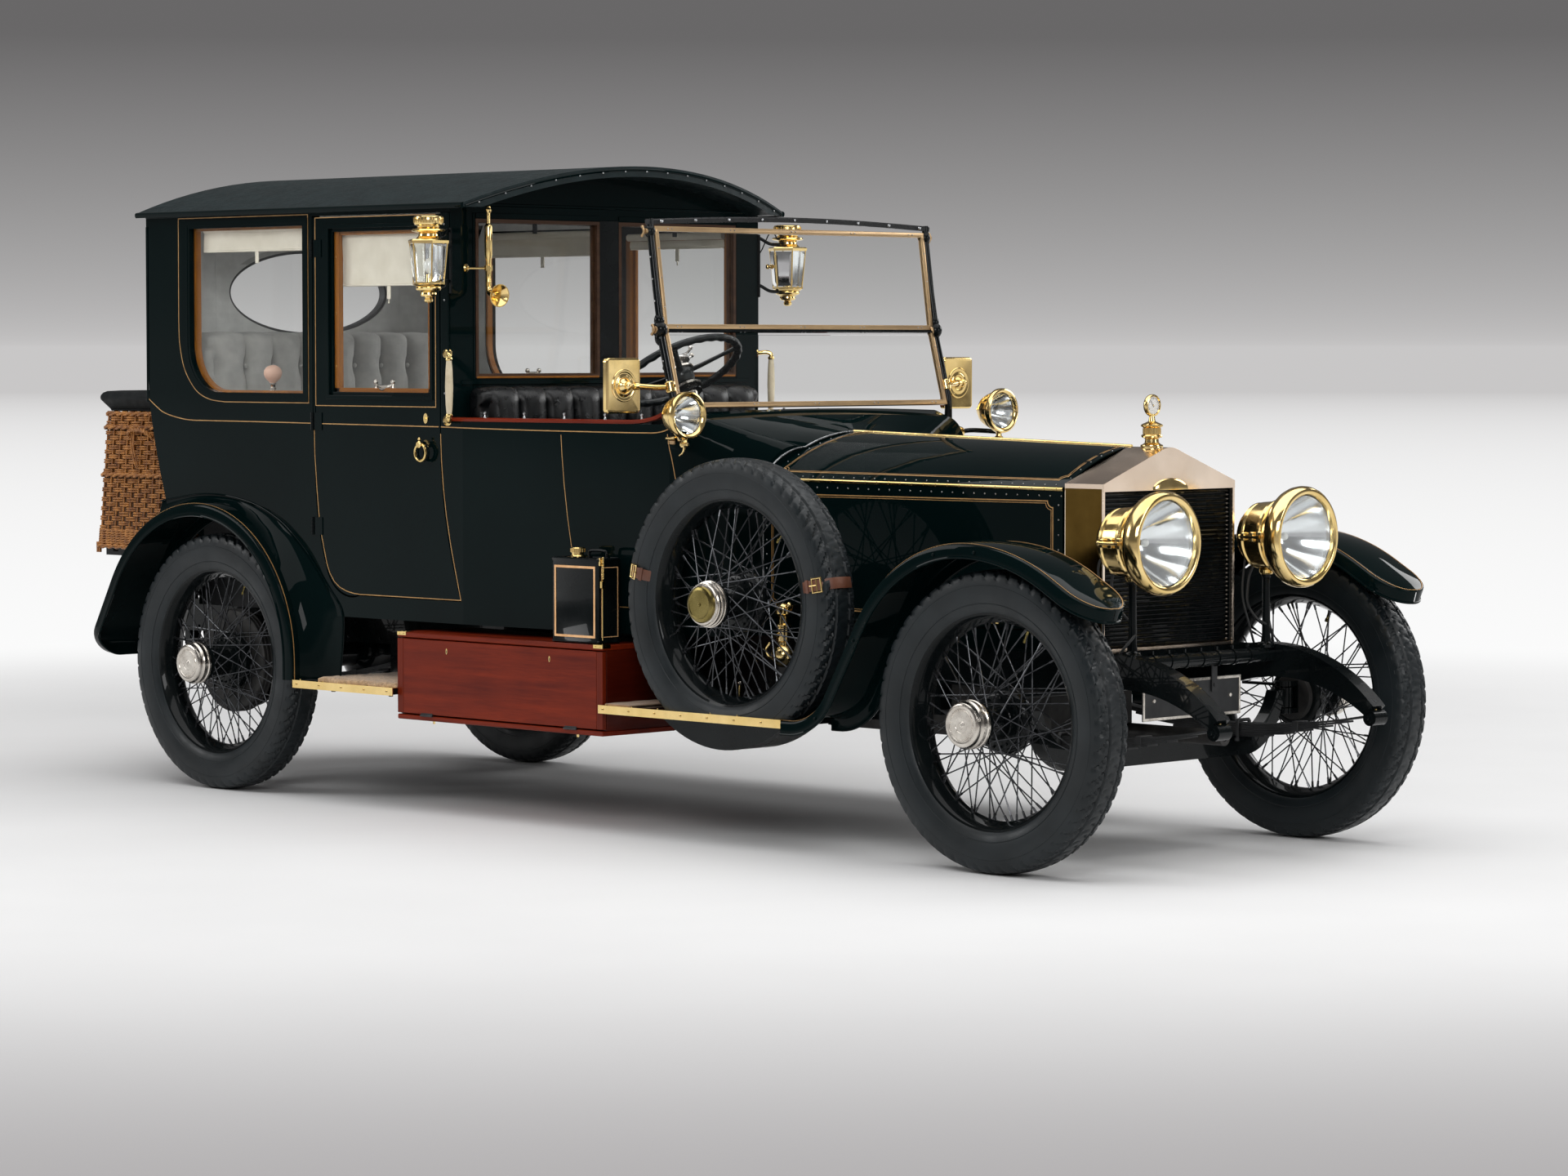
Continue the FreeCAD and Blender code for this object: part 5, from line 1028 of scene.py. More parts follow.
def leaf_pack(b, x0, x1, z_end, z_mid, y):
    """Six leaves that shorten downwards, with their clips."""
    middle, half, t = (x0 + x1) / 2, (x1 - x0) / 2, 7.0
    for k in range(6):
        reach = half * (1 - 0.145 * k)
        line = []
        for u in np.linspace(-1, 1, 19):
            x = middle + reach * u
            rise = (z_end + 14 - z_mid - 42) * ((x - middle) / half) ** 2
            line.append((x, y, z_mid + 42 - t * (k + 1) + rise))
        b.bar(line, 49 - (k > 0), t * 0.9, (0, 0, 1))
    for x in (middle - 42, middle + 42):
        b.tube([(x, y - 29, z_mid - 14), (x, y - 29, z_mid + 44), (x, y - 24, z_mid + 50),
                (x, y + 24, z_mid + 50), (x, y + 29, z_mid + 44), (x, y + 29, z_mid - 14)], 6, 8)
        for side in (-29, 29):
            b.cyl((x, y + side, z_mid - 14), (x, y + side, z_mid - 4), 10, n=6)
    for u in (-0.5, 0.5):
        x = middle + half * u
        z = z_mid + 20 + (z_end - z_mid - 28) * u * u
        b.box((x - 12, y - 27, z - 4), (x + 12, y + 27, z + 27), 1.5)


def make_front_frame():
    """Springs, the frame's bolts, the number plate, the headlamps and their conduits."""
    b = Build()
    for y in (-370.0, 370.0):
        leaf_pack(b, 1290.0, 2344.5, 421.0, 342.0, y)
        leaf_pack(b, -2440.0, -1200.0, 468.0, 350.0, y)
    b.done("spring_leaves", CAR, [SATIN], "cast_iron", ["leaf_springs"])
    b = Build()
    for side in (-1, 1):
        for y0, y1, y2 in ((340, 331, 323), (400, 409, 417)):
            b.cyl((2368.5, side * y0, 428), (2368.5, side * y1, 428), 17, 17 * 0.92, 6)
            b.cyl((2368.5, side * y1, 428), (2368.5, side * y2, 428), 8, 7, 12)
        b.cyl((2366, side * 370, 450), (2366, side * 370, 468), 6.5, 5, 10, 1)
        for x, z in ((1905, 612), (1935, 610), (2060, 580), (2090, 570), (2200, 540), (2300, 470)):
            b.ball((x, side * RAIL_SIDE, z), 5.5, 0, 8)
        for x in np.arange(-2380, 1700, 170.0):
            b.ball((x, side * RAIL_SIDE, 532), 5.5, 0, 8)
    for y in np.arange(-300, 301, 75.0):
        b.cyl((1990, y - 6, 605), (1990, y + 6, 605), 25, n=20)
        b.cyl((1990, y, 628), (1990, y, 640), 5.5, n=6)
    b.done("frame_bolts", CAR, [ENAMEL, BRASS], "black_enamel")
    b = Build()
    b.box((1955.6, -231, 426), (1958.6, 231, 546), 0.8)
    edge = [(1958.6, -226, 431), (1958.6, 226, 431), (1958.6, 226, 541), (1958.6, -226, 541)]
    b.bar(edge, 8, 2.2, (1, 0, 0), True, 1)
    for y in (-180, 180):
        b.cyl((1958, y, 486), (1962.5, y, 486), 7, 5.5, 14, 1)
    for y in (-100, 100):
        b.bar([(1961, y, 500), (1961, y, 580), (1966, y, 597), (1988, y, 601)], 24, 4, (1, 0, 0))
        b.cyl((1962, y, 520), (1968, y, 520), 6, n=6)
    b.done("number_plate_look", CAR, [SATIN, NICKEL], "black_enamel", ["number_plate"])
    headlamp().both().done("headlamps_look", CAR, [BRASS, SILVER, LENS, PORCELAIN, ENAMEL], "brass",
                           ["headlamps"], 30)
    b = Build()
    for side in (-1, 1):
        loop = spline([(1925, side * 329, 872), (1915, side * 322, 830), (1930, side * 300, 760),
                       (1975, side * 290, 715), (2000, side * 320, 690), (1985, side * 352, 650),
                       (1960, side * 366, 605)], 6)
        b.tube(loop, 4.2, 8)
        b.tube(spline([(1893, side * 340, 930), (1880, side * 345, 880), (1885, side * 330, 780),
                       (1900, side * 345, 690), (1905, side * 372, 612)], 6), 3.6, 8)
    b.done("lamp_conduits", CAR, [SATIN], "black_enamel")


make_bonnet()
make_radiator()
make_front_frame()


# ---------------------------------------------------------------- guards, boards and what stands on them
BOARD_TOP, BOARD_EDGE, BOARD_REAR, BOARD_FRONT = 410.0, 820.0, -1322.0, 1022.0
GUARD_HALF, GUARD_CENTRE, GUARD_SKIRT, GUARD_T = 113.0, 713.0, 40.0, 3.0
# each guard from the side: its foot, its heading there, then straights (length, 0) and arcs (radius, turn)
FRONT_GUARD = ((1024.0, BOARD_TOP), 0.0, [(33.0, 0), (170.0, 60), (262.0, 0), (500.0, -60), (676.0, -30),
                                          (150.0, 0), (120.0, 14)])
REAR_GUARD = ((-1325.0, BOARD_TOP), 90.0, [(60.0, 0), (530.0, 90), (560.0, 60), (200.0, 0), (150.0, 30),
                                           (28.0, 0)])


def run_points(run, step):
    """(x, z) points and left-hand normals along a guard's run."""
    (x, z), heading, moves = run
    a = math.radians(heading)
    out = [(x, z, -math.sin(a), math.cos(a))]
    for size, turn in moves:
        if turn == 0:
            n = max(1, round(size / step))
            for _ in range(n):
                x += size / n * math.cos(a)
                z += size / n * math.sin(a)
                out.append((x, z, -math.sin(a), math.cos(a)))
            continue
        n = max(2, round(abs(size * math.radians(turn)) / step))
        bend = math.radians(turn) / n
        for _ in range(n):
            chord = 2 * size * math.sin(abs(bend) / 2)
            x += chord * math.cos(a + bend / 2)
            z += chord * math.sin(a + bend / 2)
            a += bend
            out.append((x, z, -math.sin(a), math.cos(a)))
    return np.array(out)


def rounded_width(d, r):
    """Half a guard's width at a distance d from its end, whose corner has the radius r."""
    return GUARD_HALF if d >= r else GUARD_HALF - r + math.sqrt(max(r * r - (r - d) ** 2, 0.0))


def guard_sheet(run, inward, r_out, r_in):
    """One right-hand guard, its painted line and the rows it is made of. It is crowned on top, with turned
    down sides and rounded corners at its end."""
    fine = run_points(run, 4.0)
    reach = np.concatenate([[0], np.cumsum(np.hypot(*np.diff(fine[:, :2], axis=0).T))])
    r = max(r_out, r_in)
    stops = list(np.linspace(0, reach[-1] - r, int((reach[-1] - r) / 14)))
    stops += [reach[-1] - r + r * math.sin(math.radians(q))
              for q in (8, 16, 25, 34, 43, 52, 60, 68, 75, 81, 86, 89.5)]
    rows = np.array([[float(np.interp(s, reach, fine[:, k])) for k in range(4)] for s in stops])
    b, centre, t, skirt, end = Build(), GUARD_CENTRE, GUARD_T, GUARD_SKIRT, reach[-1]
    rings, edge_out, edge_in, line_out, line_in = [], [], [], [], []
    for (x, z, nx, nz), s in zip(rows, stops):
        wide = [max(rounded_width(end - s, q), t + 1.5) for q in (r_in, r_out)]
        nx, nz = -nx * inward, -nz * inward
        rise = 7.0 * min(wide) / GUARD_HALF
        halves = []
        for w in wide:
            e = min(9.0, w * 0.5)
            edge = [(w, -skirt), (w, -e), (w - e * 0.3, -e * 0.3), (w - e, 0)]
            halves.append(edge + [((w - e) * q, rise * (1 - q * q)) for q in (0.84, 0.62, 0.4, 0.2)])
        top = [(-u, v) for u, v in halves[0]] + [(0, rise)] + halves[1][::-1]
        inner = []
        for u, v in reversed(top):
            aside = t if abs(u) > wide[1 if u > 0 else 0] - 9.5 else 0
            inner.append((math.copysign(max(abs(u) - aside, 0.3), u), v - (t if v > -skirt else 0)))
        rings.append([(x + nx * v, -(centre + u), z + nz * v) for u, v in top + inner])
        for edge, line, y in ((edge_out, line_out, wide[1]), (edge_in, line_in, -wide[0])):
            edge.append((x - nx * skirt, -(centre + y), z - nz * skirt))
            if min(wide) > 26:
                y -= math.copysign(13, y)
                line.append(((x + nx * 1.3, -(centre + y), z + nz * 1.3), (nx, 0, nz)))
    b.rings(rings)
    b.tube(edge_out + edge_in[::-1], 4.2, 8)
    loop = line_out + line_in[::-1] if inward < 0 else line_out
    lines = Build().bar([p for p, _ in loop], 2.6, 0.9, np.array([n for _, n in loop]))
    return b, lines, rows


def make_guards():
    """Front and rear guards, with the wing that joins each rear one to the body."""
    front, front_line, rows = guard_sheet(FRONT_GUARD, -1, GUARD_HALF, GUARD_HALF)
    for k in (10, 30, 62, 74):
        x, z, nx, nz = rows[min(k, len(rows) - 12)]
        front.ball((x - nx * 22, -826.5, z - nz * 22), 5.5, 0, 10)
    rear, rear_line, _ = guard_sheet(REAR_GUARD, 1, 105.0, 45.0)
    wing = spline([(-2185, 1000), (-2100, 1012), (-1962, 1029), (-1814, 1027), (-1650, 1000), (-1509, 945),
                   (-1415, 880), (-1342, 818), (-1255, 728), (-1185, 650), (-1180, 560), (-1190, 470),
                   (-1195, 412)], 6)
    outer = run_points(REAR_GUARD, 14.0)
    outer = outer[outer[:, 0] > -2190][::-1]
    pick = np.linspace(0, len(outer) - 1, len(wing))
    rings = []
    for (ix, iz), at in zip(wing, pick):
        ox, oz, nx, nz = [float(np.interp(at, range(len(outer)), outer[:, k])) for k in range(4)]
        ox, oz = ox - nx * 1.5, oz - nz * 1.5
        line = bezier((ox, -794, oz), (ox * 0.82 + ix * 0.18, -727, oz * 0.82 + iz * 0.18), (ix, -712, iz), 8)
        low = line + np.array((nx * 3.0, 0, nz * 3.0))
        rings.append(np.vstack([line, low[::-1]]))
    rear.rings(rings)
    rear.tube([(x, -718.5, z) for x, z in wing], 2.6, 8)
    sheets = Build().take(front).take(rear)
    sheets.on("right", "guard_sheets_right", CAR, [PAINT, STEEL], "paint", sharp=38)
    sheets.on("left", "guard_sheets_left", CAR, [PAINT, STEEL], "paint", replaces=["guards"], sharp=38)
    Build().take(front_line).take(rear_line).pair("guard_lines_{}", CAR, [GOLD_LINE], "brass")


TOOL_X, TOOL_Y, TOOL_Z = (-797.0, 205.0), (-800.0, -480.0), (310.0, 600.0)


def board_edge(b, x0, x1):
    """A brass angle with rivets along the right board's edge."""
    y, z = -BOARD_EDGE, BOARD_TOP
    lip = [(0, -24), (3.2, -24), (3.2, 2.6), (-22, 2.6), (-22, 0.6), (0, 0.6)]
    b.sweep([(x0, y, z), (x1, y, z)], lip, (0, 0, 1))
    for x in np.arange(x0 + 22, x1 - 8, 118.0):
        b.ball((x, y - 3, z - 11), 4.2, 0, 8)
        b.ball((x, y + 13, z + 2), 3.6, 0, 8)


def mat_sheet(name, x0, x1, y0, y1, t, mat, seed, rough):
    """A thick mat that lies on a board, with a wandering edge and a lumpy pile."""
    z = BOARD_TOP + 2.2
    rng = np.random.default_rng(seed)
    nx, ny = max(8, int((x1 - x0) / 14)), max(6, int((y1 - y0) / 14))
    phase = rng.uniform(0, TAU, (4, 2))

    def ripple(u, v, k):      # smooth waves, k high
        return sum(math.sin(u * f + phase[i, 0]) * math.cos(v * f * 1.3 + phase[i, 1]) / (i + 1)
                   for i, f in enumerate((0.031, 0.057, 0.11, 0.19))) * k

    top, low = [], []
    for i in range(nx + 1):
        for j in range(ny + 1):
            u, v = i / nx, j / ny
            x = x0 + (x1 - x0) * u
            y = y0 + (y1 - y0) * v
            edge = min(min(u, 1 - u) * (x1 - x0), min(v, 1 - v) * (y1 - y0))
            push = ripple(x, y, rough * 0.8) if edge < 20 else 0
            x += push if i in (0, nx) else 0
            y += push if j in (0, ny) else 0
            fall = min(1.0, (edge + 1.5) / 11.0) ** 0.5
            top.append((x, y, z + t * (0.35 + 0.65 * fall) + ripple(x * 1.7, y * 1.7, rough * 0.25) * fall))
            low.append((x, y, z))
    n, row = len(top), ny + 1
    faces = []
    for i in range(nx):
        for j in range(ny):
            a = i * row + j
            faces += [(a, a + row, a + row + 1, a + 1), (n + a, n + a + 1, n + a + row + 1, n + a + row)]
    for i in range(nx):
        for j in (0, ny):
            a = i * row + j
            faces.append((a, a + row, n + a + row, n + a))
    for j in range(ny):
        for i in (0, nx):
            a = i * row + j
            faces.append((a, a + 1, n + a + 1, n + a))
    obj = Build().add(top + low, faces).done(name, CAR, [mat], "black_cloth", sharp=80)


def make_boards():
    """The running boards' brass edges, planks, brackets and mats. The toolbox parts the right-hand board."""
    rear_end, front_end = TOOL_X
    b = Build()
    board_edge(b, BOARD_REAR, rear_end)
    board_edge(b, front_end + 2, BOARD_FRONT)
    left = Build()
    board_edge(left, BOARD_REAR, BOARD_FRONT)
    b.take(left, True)
    b.done("board_edges", CAR, [BRASS], "brass")
    b = Build()
    for s, x0, x1, first in ((-1, BOARD_REAR, rear_end, 0), (-1, front_end + 1, BOARD_FRONT, 3),
                             (1, BOARD_REAR, BOARD_FRONT, 0)):
        for k in range(first, 5):      # the outer planks make room for the spare wheel
            y = BOARD_EDGE - 30 - k * 76
            b.box((x0 + 2, s * y, 409.6), (x1 - 2, s * (y - 73), 411.8), 0.6)
    b.done("board_planks", CAR, [SATIN], "black_enamel")
    b = Build()
    for side in (-1, 1):      # board brackets below
        for x in (-1180.0, -880.0, 300.0, 940.0):
            b.bar([(x, side * y, z) for y, z in ((RAIL_SIDE, 500), (410, 430), (440, 384), (780, 384))],
                  34, 6, (0, side * 0.2, 1))
            for y in (520, 640, 760):
                b.cyl((x, side * y, 376), (x, side * y, 384), 8, n=6)
    b.done("board_brackets", CAR, [ENAMEL], "black_enamel")
    mat_sheet("fleece_mat_right", -1215.0, -806.0, -800.0, -452.0, 15.0, FLEECE, 3, 7.0)
    mat_sheet("fleece_mat_left", -1215.0, -640.0, 452.0, 800.0, 15.0, FLEECE, 4, 7.0)
    mat_sheet("step_mat_right", 214.0, 330.0, -800.0, -470.0, 6.0, TAN_FELT, 5, 1.5)
    mat_sheet("step_mat_left", -60.0, 420.0, 470.0, 800.0, 6.0, TAN_FELT, 6, 1.5)


def make_toolbox():
    """The chest, its brass, and the front board that drops."""
    (x0, x1), (y0, y1), (z0, z1) = TOOL_X, TOOL_Y, TOOL_Z
    w = 16.0      # the walls' thickness
    b = Build()
    b.box((x0, y0, z0), (x1, y1, z0 + 16), 2)                 # floor, back and frame members
    b.box((x0, y1 - 16, z0 + 16), (x1, y1, z1 - 16), 1)
    b.box((x0, y0, z1 - 17.6), (x1, y1, z1), 2.5)
    # the end members take the darker mahogany: painted shade
    b.box((x0, y0 + 17, z0 + 16.5), (x0 + 16, y1 - 16.5, z1 - 18), 1, 1)
    b.box((x1 - 16, y0 + 17, z0 + 16.5), (x1, y1 - 16.5, z1 - 18), 1, 1)
    b.done("toolbox_case", CAR, [MAHOGANY, MAHOGANY_SHADED], "wood", ["toolbox"])
    b = Build()
    for x, s in ((x0, 1), (x1, -1)):                          # brass corners of the lid
        b.box((x - s * 1.2, y0 - 1.2, z1 - 11), (x + s * 44, y0 + 1, z1 + 1.2), 0.5)
        b.box((x - s * 1.2, y0 - 1.2, z1 - 11), (x + s, y0 + 34, z1 + 1.2), 0.5)
        b.box((x - s, y0 - 1, z1), (x + s * 44, y0 + 34, z1 + 1.3), 0.5)
        for d in (12, 32):
            b.ball((x + s * d, y0 - 1, z1 - 5), 2.4, 0, 8)
            b.ball((x + s * d, y0 + 10, z1 + 1), 2.4, 0, 8)
    for x in (x0 + 150, x1 - 150):                            # feet bolts under the box
        b.cyl((x, y0 + 30, z0 - 12), (x, y0 + 30, z0), 4, n=8)
    for x in (x0 + 190, x0 + 500, x1 - 190):
        b.cyl((x, y1 - 60, z1), (x, y1 - 60, z1 + 2), 5, 4, 12)
    b.done("toolbox_brass", CAR, [BRASS], "brass")
    b = Build()
    b.box((x0 + 30, y0 - 0.6, z0 + w + 5), (x1 - 30, y0 + 14.5, z1 - w - 5), 1.2)
    b.box((x0 + 0.6, y0 - 0.6, z0 + w + 5), (x0 + 29, y0 + 14.5, z1 - w - 5), 1.2, 1)
    b.box((x1 - 29, y0 - 0.6, z0 + w + 5), (x1 - 0.6, y0 + 14.5, z1 - w - 5), 1.2, 1)
    for x in (x0 + 250, x1 - 250):                            # keyholes with brass plates
        b.plate([(x + u * 0.62, z1 - 55 + v * 1.6) for u, v in circle(6, 12)], 1, y0 - 2.0, y0 - 0.5, 2)
        b.box((x - 1.6, y0 - 2.4, z1 - 61), (x + 1.6, y0 - 1.9, z1 - 51), 0.2, 3)
    for x in (x0 + 120, x1 - 180):
        b.cyl((x, y0 - 4.0, z0 + w + 1), (x + 60, y0 - 4.0, z0 + w + 1), 3.2, n=12, mat=3)
        b.box((x + 2, y0 - 2.4, z0 + w + 1), (x + 58, y0 - 0.4, z0 + w + 9), 0.5, 3)
    b.done("toolbox_front_board", "toolbox_front", [MAHOGANY, MAHOGANY_UP, BRASS, SATIN], "wood",
           ["toolbox_front"])


def make_can():
    """The can with its outlines, cap, handle and hasp, and its padlock and chain."""
    x0, x1, yc, z0, z1 = -43.0, 181.0, -745.0, 600.0, 875.0
    y0, y1 = yc - 52, yc + 52
    b = Build()
    c = 9.0
    ring = [(x0 + c, y0), (x1 - c, y0), (x1 - c * 0.3, y0 + c * 0.3), (x1, y0 + c), (x1, y1 - c),
            (x1 - c * 0.3, y1 - c * 0.3), (x1 - c, y1), (x0 + c, y1), (x0 + c * 0.3, y1 - c * 0.3),
            (x0, y1 - c), (x0, y0 + c), (x0 + c * 0.3, y0 + c * 0.3)]
    mid = np.array([(x0 + x1) / 2, yc])
    rows = []
    for z, k in ((z0, 6.0), (z0 + 5, 0.5), (z0 + 9, 0.5), (z0 + 12, 2.5), (z1 - 14, 2.5), (z1 - 10, 0.5),
                 (z1 - 4, 0.5), (z1, 5.0), (z1 - 3.0, 9.0), (z1 - 2.4, 16.0)):
        rows.append([(x + math.copysign(k, mid[0] - x), y + math.copysign(k, mid[1] - y), z)
                     for x, y in ring])
    b.rings(rows)
    low, high = z0 + 24, z1 - 30      # outlines on the broad and the narrow face
    b.bar([(x, y0 + 2.2, z) for x, z in ((x0 + 20, low), (x1 - 20, low), (x1 - 20, high), (x0 + 20, high))],
          7.5, 0.8, (0, -1, 0), True, 1)
    b.bar([(x1 - 2.2, y, z) for y, z in ((y0 + 17, low), (y1 - 17, low), (y1 - 17, high), (y0 + 17, high))],
          2.4, 0.8, (1, 0, 0), True, 1)
    b.lathe([(-4, 0), (-4, 25), (2, 26), (5, 24), (6, 20), (14, 20), (14, 23.5), (27, 23.5), (30, 20),
             (30, 0)], (30, yc, z1), (0, 0, 1), 28, 2)
    for u, v in circle(23.5, 20):
        b.cyl((30 + u, yc + v, z1 + 15), (30 + u, yc + v, z1 + 26), 1.6, n=6, mat=2)
    b.tube(spline([(84, yc, z1 - 2), (84, yc, z1 + 14), (92, yc, z1 + 21), (125, yc, z1 + 23),
                   (158, yc, z1 + 21), (166, yc, z1 + 14), (166, yc, z1 - 2)], 4), 5.0, 10)
    for x in (84, 166):
        b.box((x - 9, yc - 7, z1 - 2), (x + 9, yc + 7, z1 + 3), 1)
    b.box((x1 - 4, y0 + 6, z1 - 24), (x1 + 3, y0 + 22, z1 + 2), 0.8, 2)      # the hasp
    b.done("petrol_can_look", CAR, [ENAMEL, SIGN_GOLD, BRASS], "black_enamel", ["petrol_can"], 40)
    b = Build()      # a padlock and its chain of links, which stand in place on the can's front face
    x, y = x1 + 7, y0 + 14
    for k in range(9):
        z = z1 - 2 - k * 7.4
        flat = (1, 0, 0) if k % 2 else (0, 1, 0)
        side = np.cross(flat, (0, 0, 1))
        loop = [np.array((x, y, z)) + side * 3.2 * math.cos(q) + np.array((0, 0, 5.2 * math.sin(q)))
                for q in np.linspace(0, TAU, 12, endpoint=False)]
        b.tube(loop, 1.15, 6, True)
    b.box((x - 4.5, y - 9, z1 - 96), (x + 4.5, y + 9, z1 - 70), 2.5)
    b.box((x - 1.2, y - 2, z0 + 14), (x + 1.2, y + 2, z1 - 96), 0.4)
    b.done("can_chain", CAR, [BRASS], "brass")


def make_apron_fittings():
    """A small brass horn and a rod with a ball, hung on the right-hand apron behind the spare wheel."""
    apron = -404.0
    x, y = 684.0, -470.0
    b = Build()
    bowl = [(38 * math.sin(q), 38 * math.cos(q)) for q in np.linspace(-math.pi / 2, 0.9, 14)]
    profile = [(576 + up, out) for up, out in bowl]
    profile += [(609, 19), (618, 18), (622, 23), (664, 23), (668, 26), (673, 26), (677, 17), (700, 15),
                (704, 24), (708, 28), (724, 29), (732, 26), (740, 17), (745, 0)]
    b.lathe(profile, (x, y, 0), (0, 0, 1), 32)
    b.lathe([(0, 0), (0, 6), (3, 9), (12, 10), (17, 7), (19, 0)], (x + 24, y - 4, 731), (0.8, -0.3, 0.5), 16)
    b.cyl((x, y - 20, 640), (x, y - 31, 640), 8, n=12)
    b.tube(spline([(x - 20, y, 560), (x - 52, y - 6, 566), (x - 74, y - 2, 588), (x - 80, y + 20, 610)], 6),
           4.5, 10)
    for z in (650, 716):
        b.box((x - 12, y + 10, z - 3), (x + 12, apron + 1, z + 3), 1, 1)
    b.box((x - 26, apron - 4, 632), (x + 26, apron + 1, 734), 1, 1)
    b.cyl((486, y, 430), (490, y, 474), 3.2, n=10)
    b.ball((490.4, y, 478), 7.5, 2, 14)
    b.box((477, y - 8, 424), (495, apron + 1, 432), 1, 1)
    b.done("apron_fittings", CAR, [BRASS, ENAMEL, NICKEL], "brass", sharp=30)


make_guards()
make_boards()
make_toolbox()
make_can()
make_apron_fittings()


# ---------------------------------------------------------------- coachwork trim
WALL = 716.0            # half the width over the body's sides, and at the front of the cowl
COWL = 655.0
WALL_TOP = 2005.0
RAIL_Z = 1300.0         # top of the driver's side panels
TAIL_X, DIVISION_X = -2262.0, -620.0
LINE, FINE_LINE, DOOR_LINE = 3.2, 2.8, 2.6      # widths of the painted lines
CAPPING = [(-15, 0.5), (-16, 8), (-11, 13), (11, 13), (16, 8), (15, 0.5)]


def side_y(x):
    """The body's half width, which narrows along the driver's place."""
    share = min(max((x + 560.0) / 920.0, 0.0), 1.0)
    return WALL + (COWL - WALL) * share


def side_line(b, points, width, closed=False):
    """A painted line on the right-hand body side through (x, z) points."""
    b.bar([(x, -side_y(x) - 0.2, z) for x, z in points], width, 0.9, (0, -1, 0), closed)


def round_rect(x0, x1, z0, z1, r, n):
    """A rectangle whose corners are arcs of n steps."""
    out = []
    corners = ((x1 - r, z1 - r, 0), (x0 + r, z1 - r, 90), (x0 + r, z0 + r, 180), (x1 - r, z0 + r, 270))
    for cx, cz, a in corners:
        out += arc((cx, cz), r, a, a + 90, n)
    return out


def quarter_loop(grow, n=12):
    """The quarter window's outline, grown outwards."""
    x0, x1, z0, z1 = -2017.0 - grow, -1380.0 + grow, 1381.0 - grow, 1965.0 + grow
    r = 172.0 + grow * 0.6
    lower = [(x0 + r - r * math.sin(q), z0 + r - r * math.cos(q)) for q in np.linspace(0, math.pi / 2, n)]
    return [(x1, z1), (x0, z1)] + lower[::-1] + [(x1, z0)]


def reveal(b, loop, steps):
    """Nested mouldings round an opening of the right side. Each step reaches from one distance outside the
    loop to another, and from one height over the wall's face to another."""
    for outer, inner, y0, y1 in steps:
        ring = offset_loop(loop, (outer + inner) / 2)
        b.bar([(x, -WALL - y0, z) for x, z in ring], abs(outer - inner), y1 - y0, (0, -1, 0), True)


def offset_loop(p, d):
    """A closed outline moved outwards by d."""
    p = np.asarray(p, float)
    area = np.sum(p[:, 0] * np.roll(p[:, 1], -1) - np.roll(p[:, 0], -1) * p[:, 1])
    s = 1 if area > 0 else -1
    before, after = p - np.roll(p, 1, 0), np.roll(p, -1, 0) - p
    before /= np.linalg.norm(before, axis=1)[:, None]
    after /= np.linalg.norm(after, axis=1)[:, None]
    n0 = np.stack([before[:, 1], -before[:, 0]], 1) * s
    n1 = np.stack([after[:, 1], -after[:, 0]], 1) * s
    m = n0 + n1
    m /= (np.linalg.norm(m, axis=1) ** 2 / 2)[:, None]
    return p + m * d


DOOR_EDGE = [(-1330, 1266), (-1328, 1180), (-1317, 1056), (-1302, 930), (-1266, 806), (-1250, 775),
             (-1228, 748), (-1200, 730), (-1165, 718), (-1125, 711), (-1090, 709), (-574, 709), (-600, 800),
             (-624, 890), (-646, 990), (-660, 1080), (-669, 1170), (-673, 1258)]


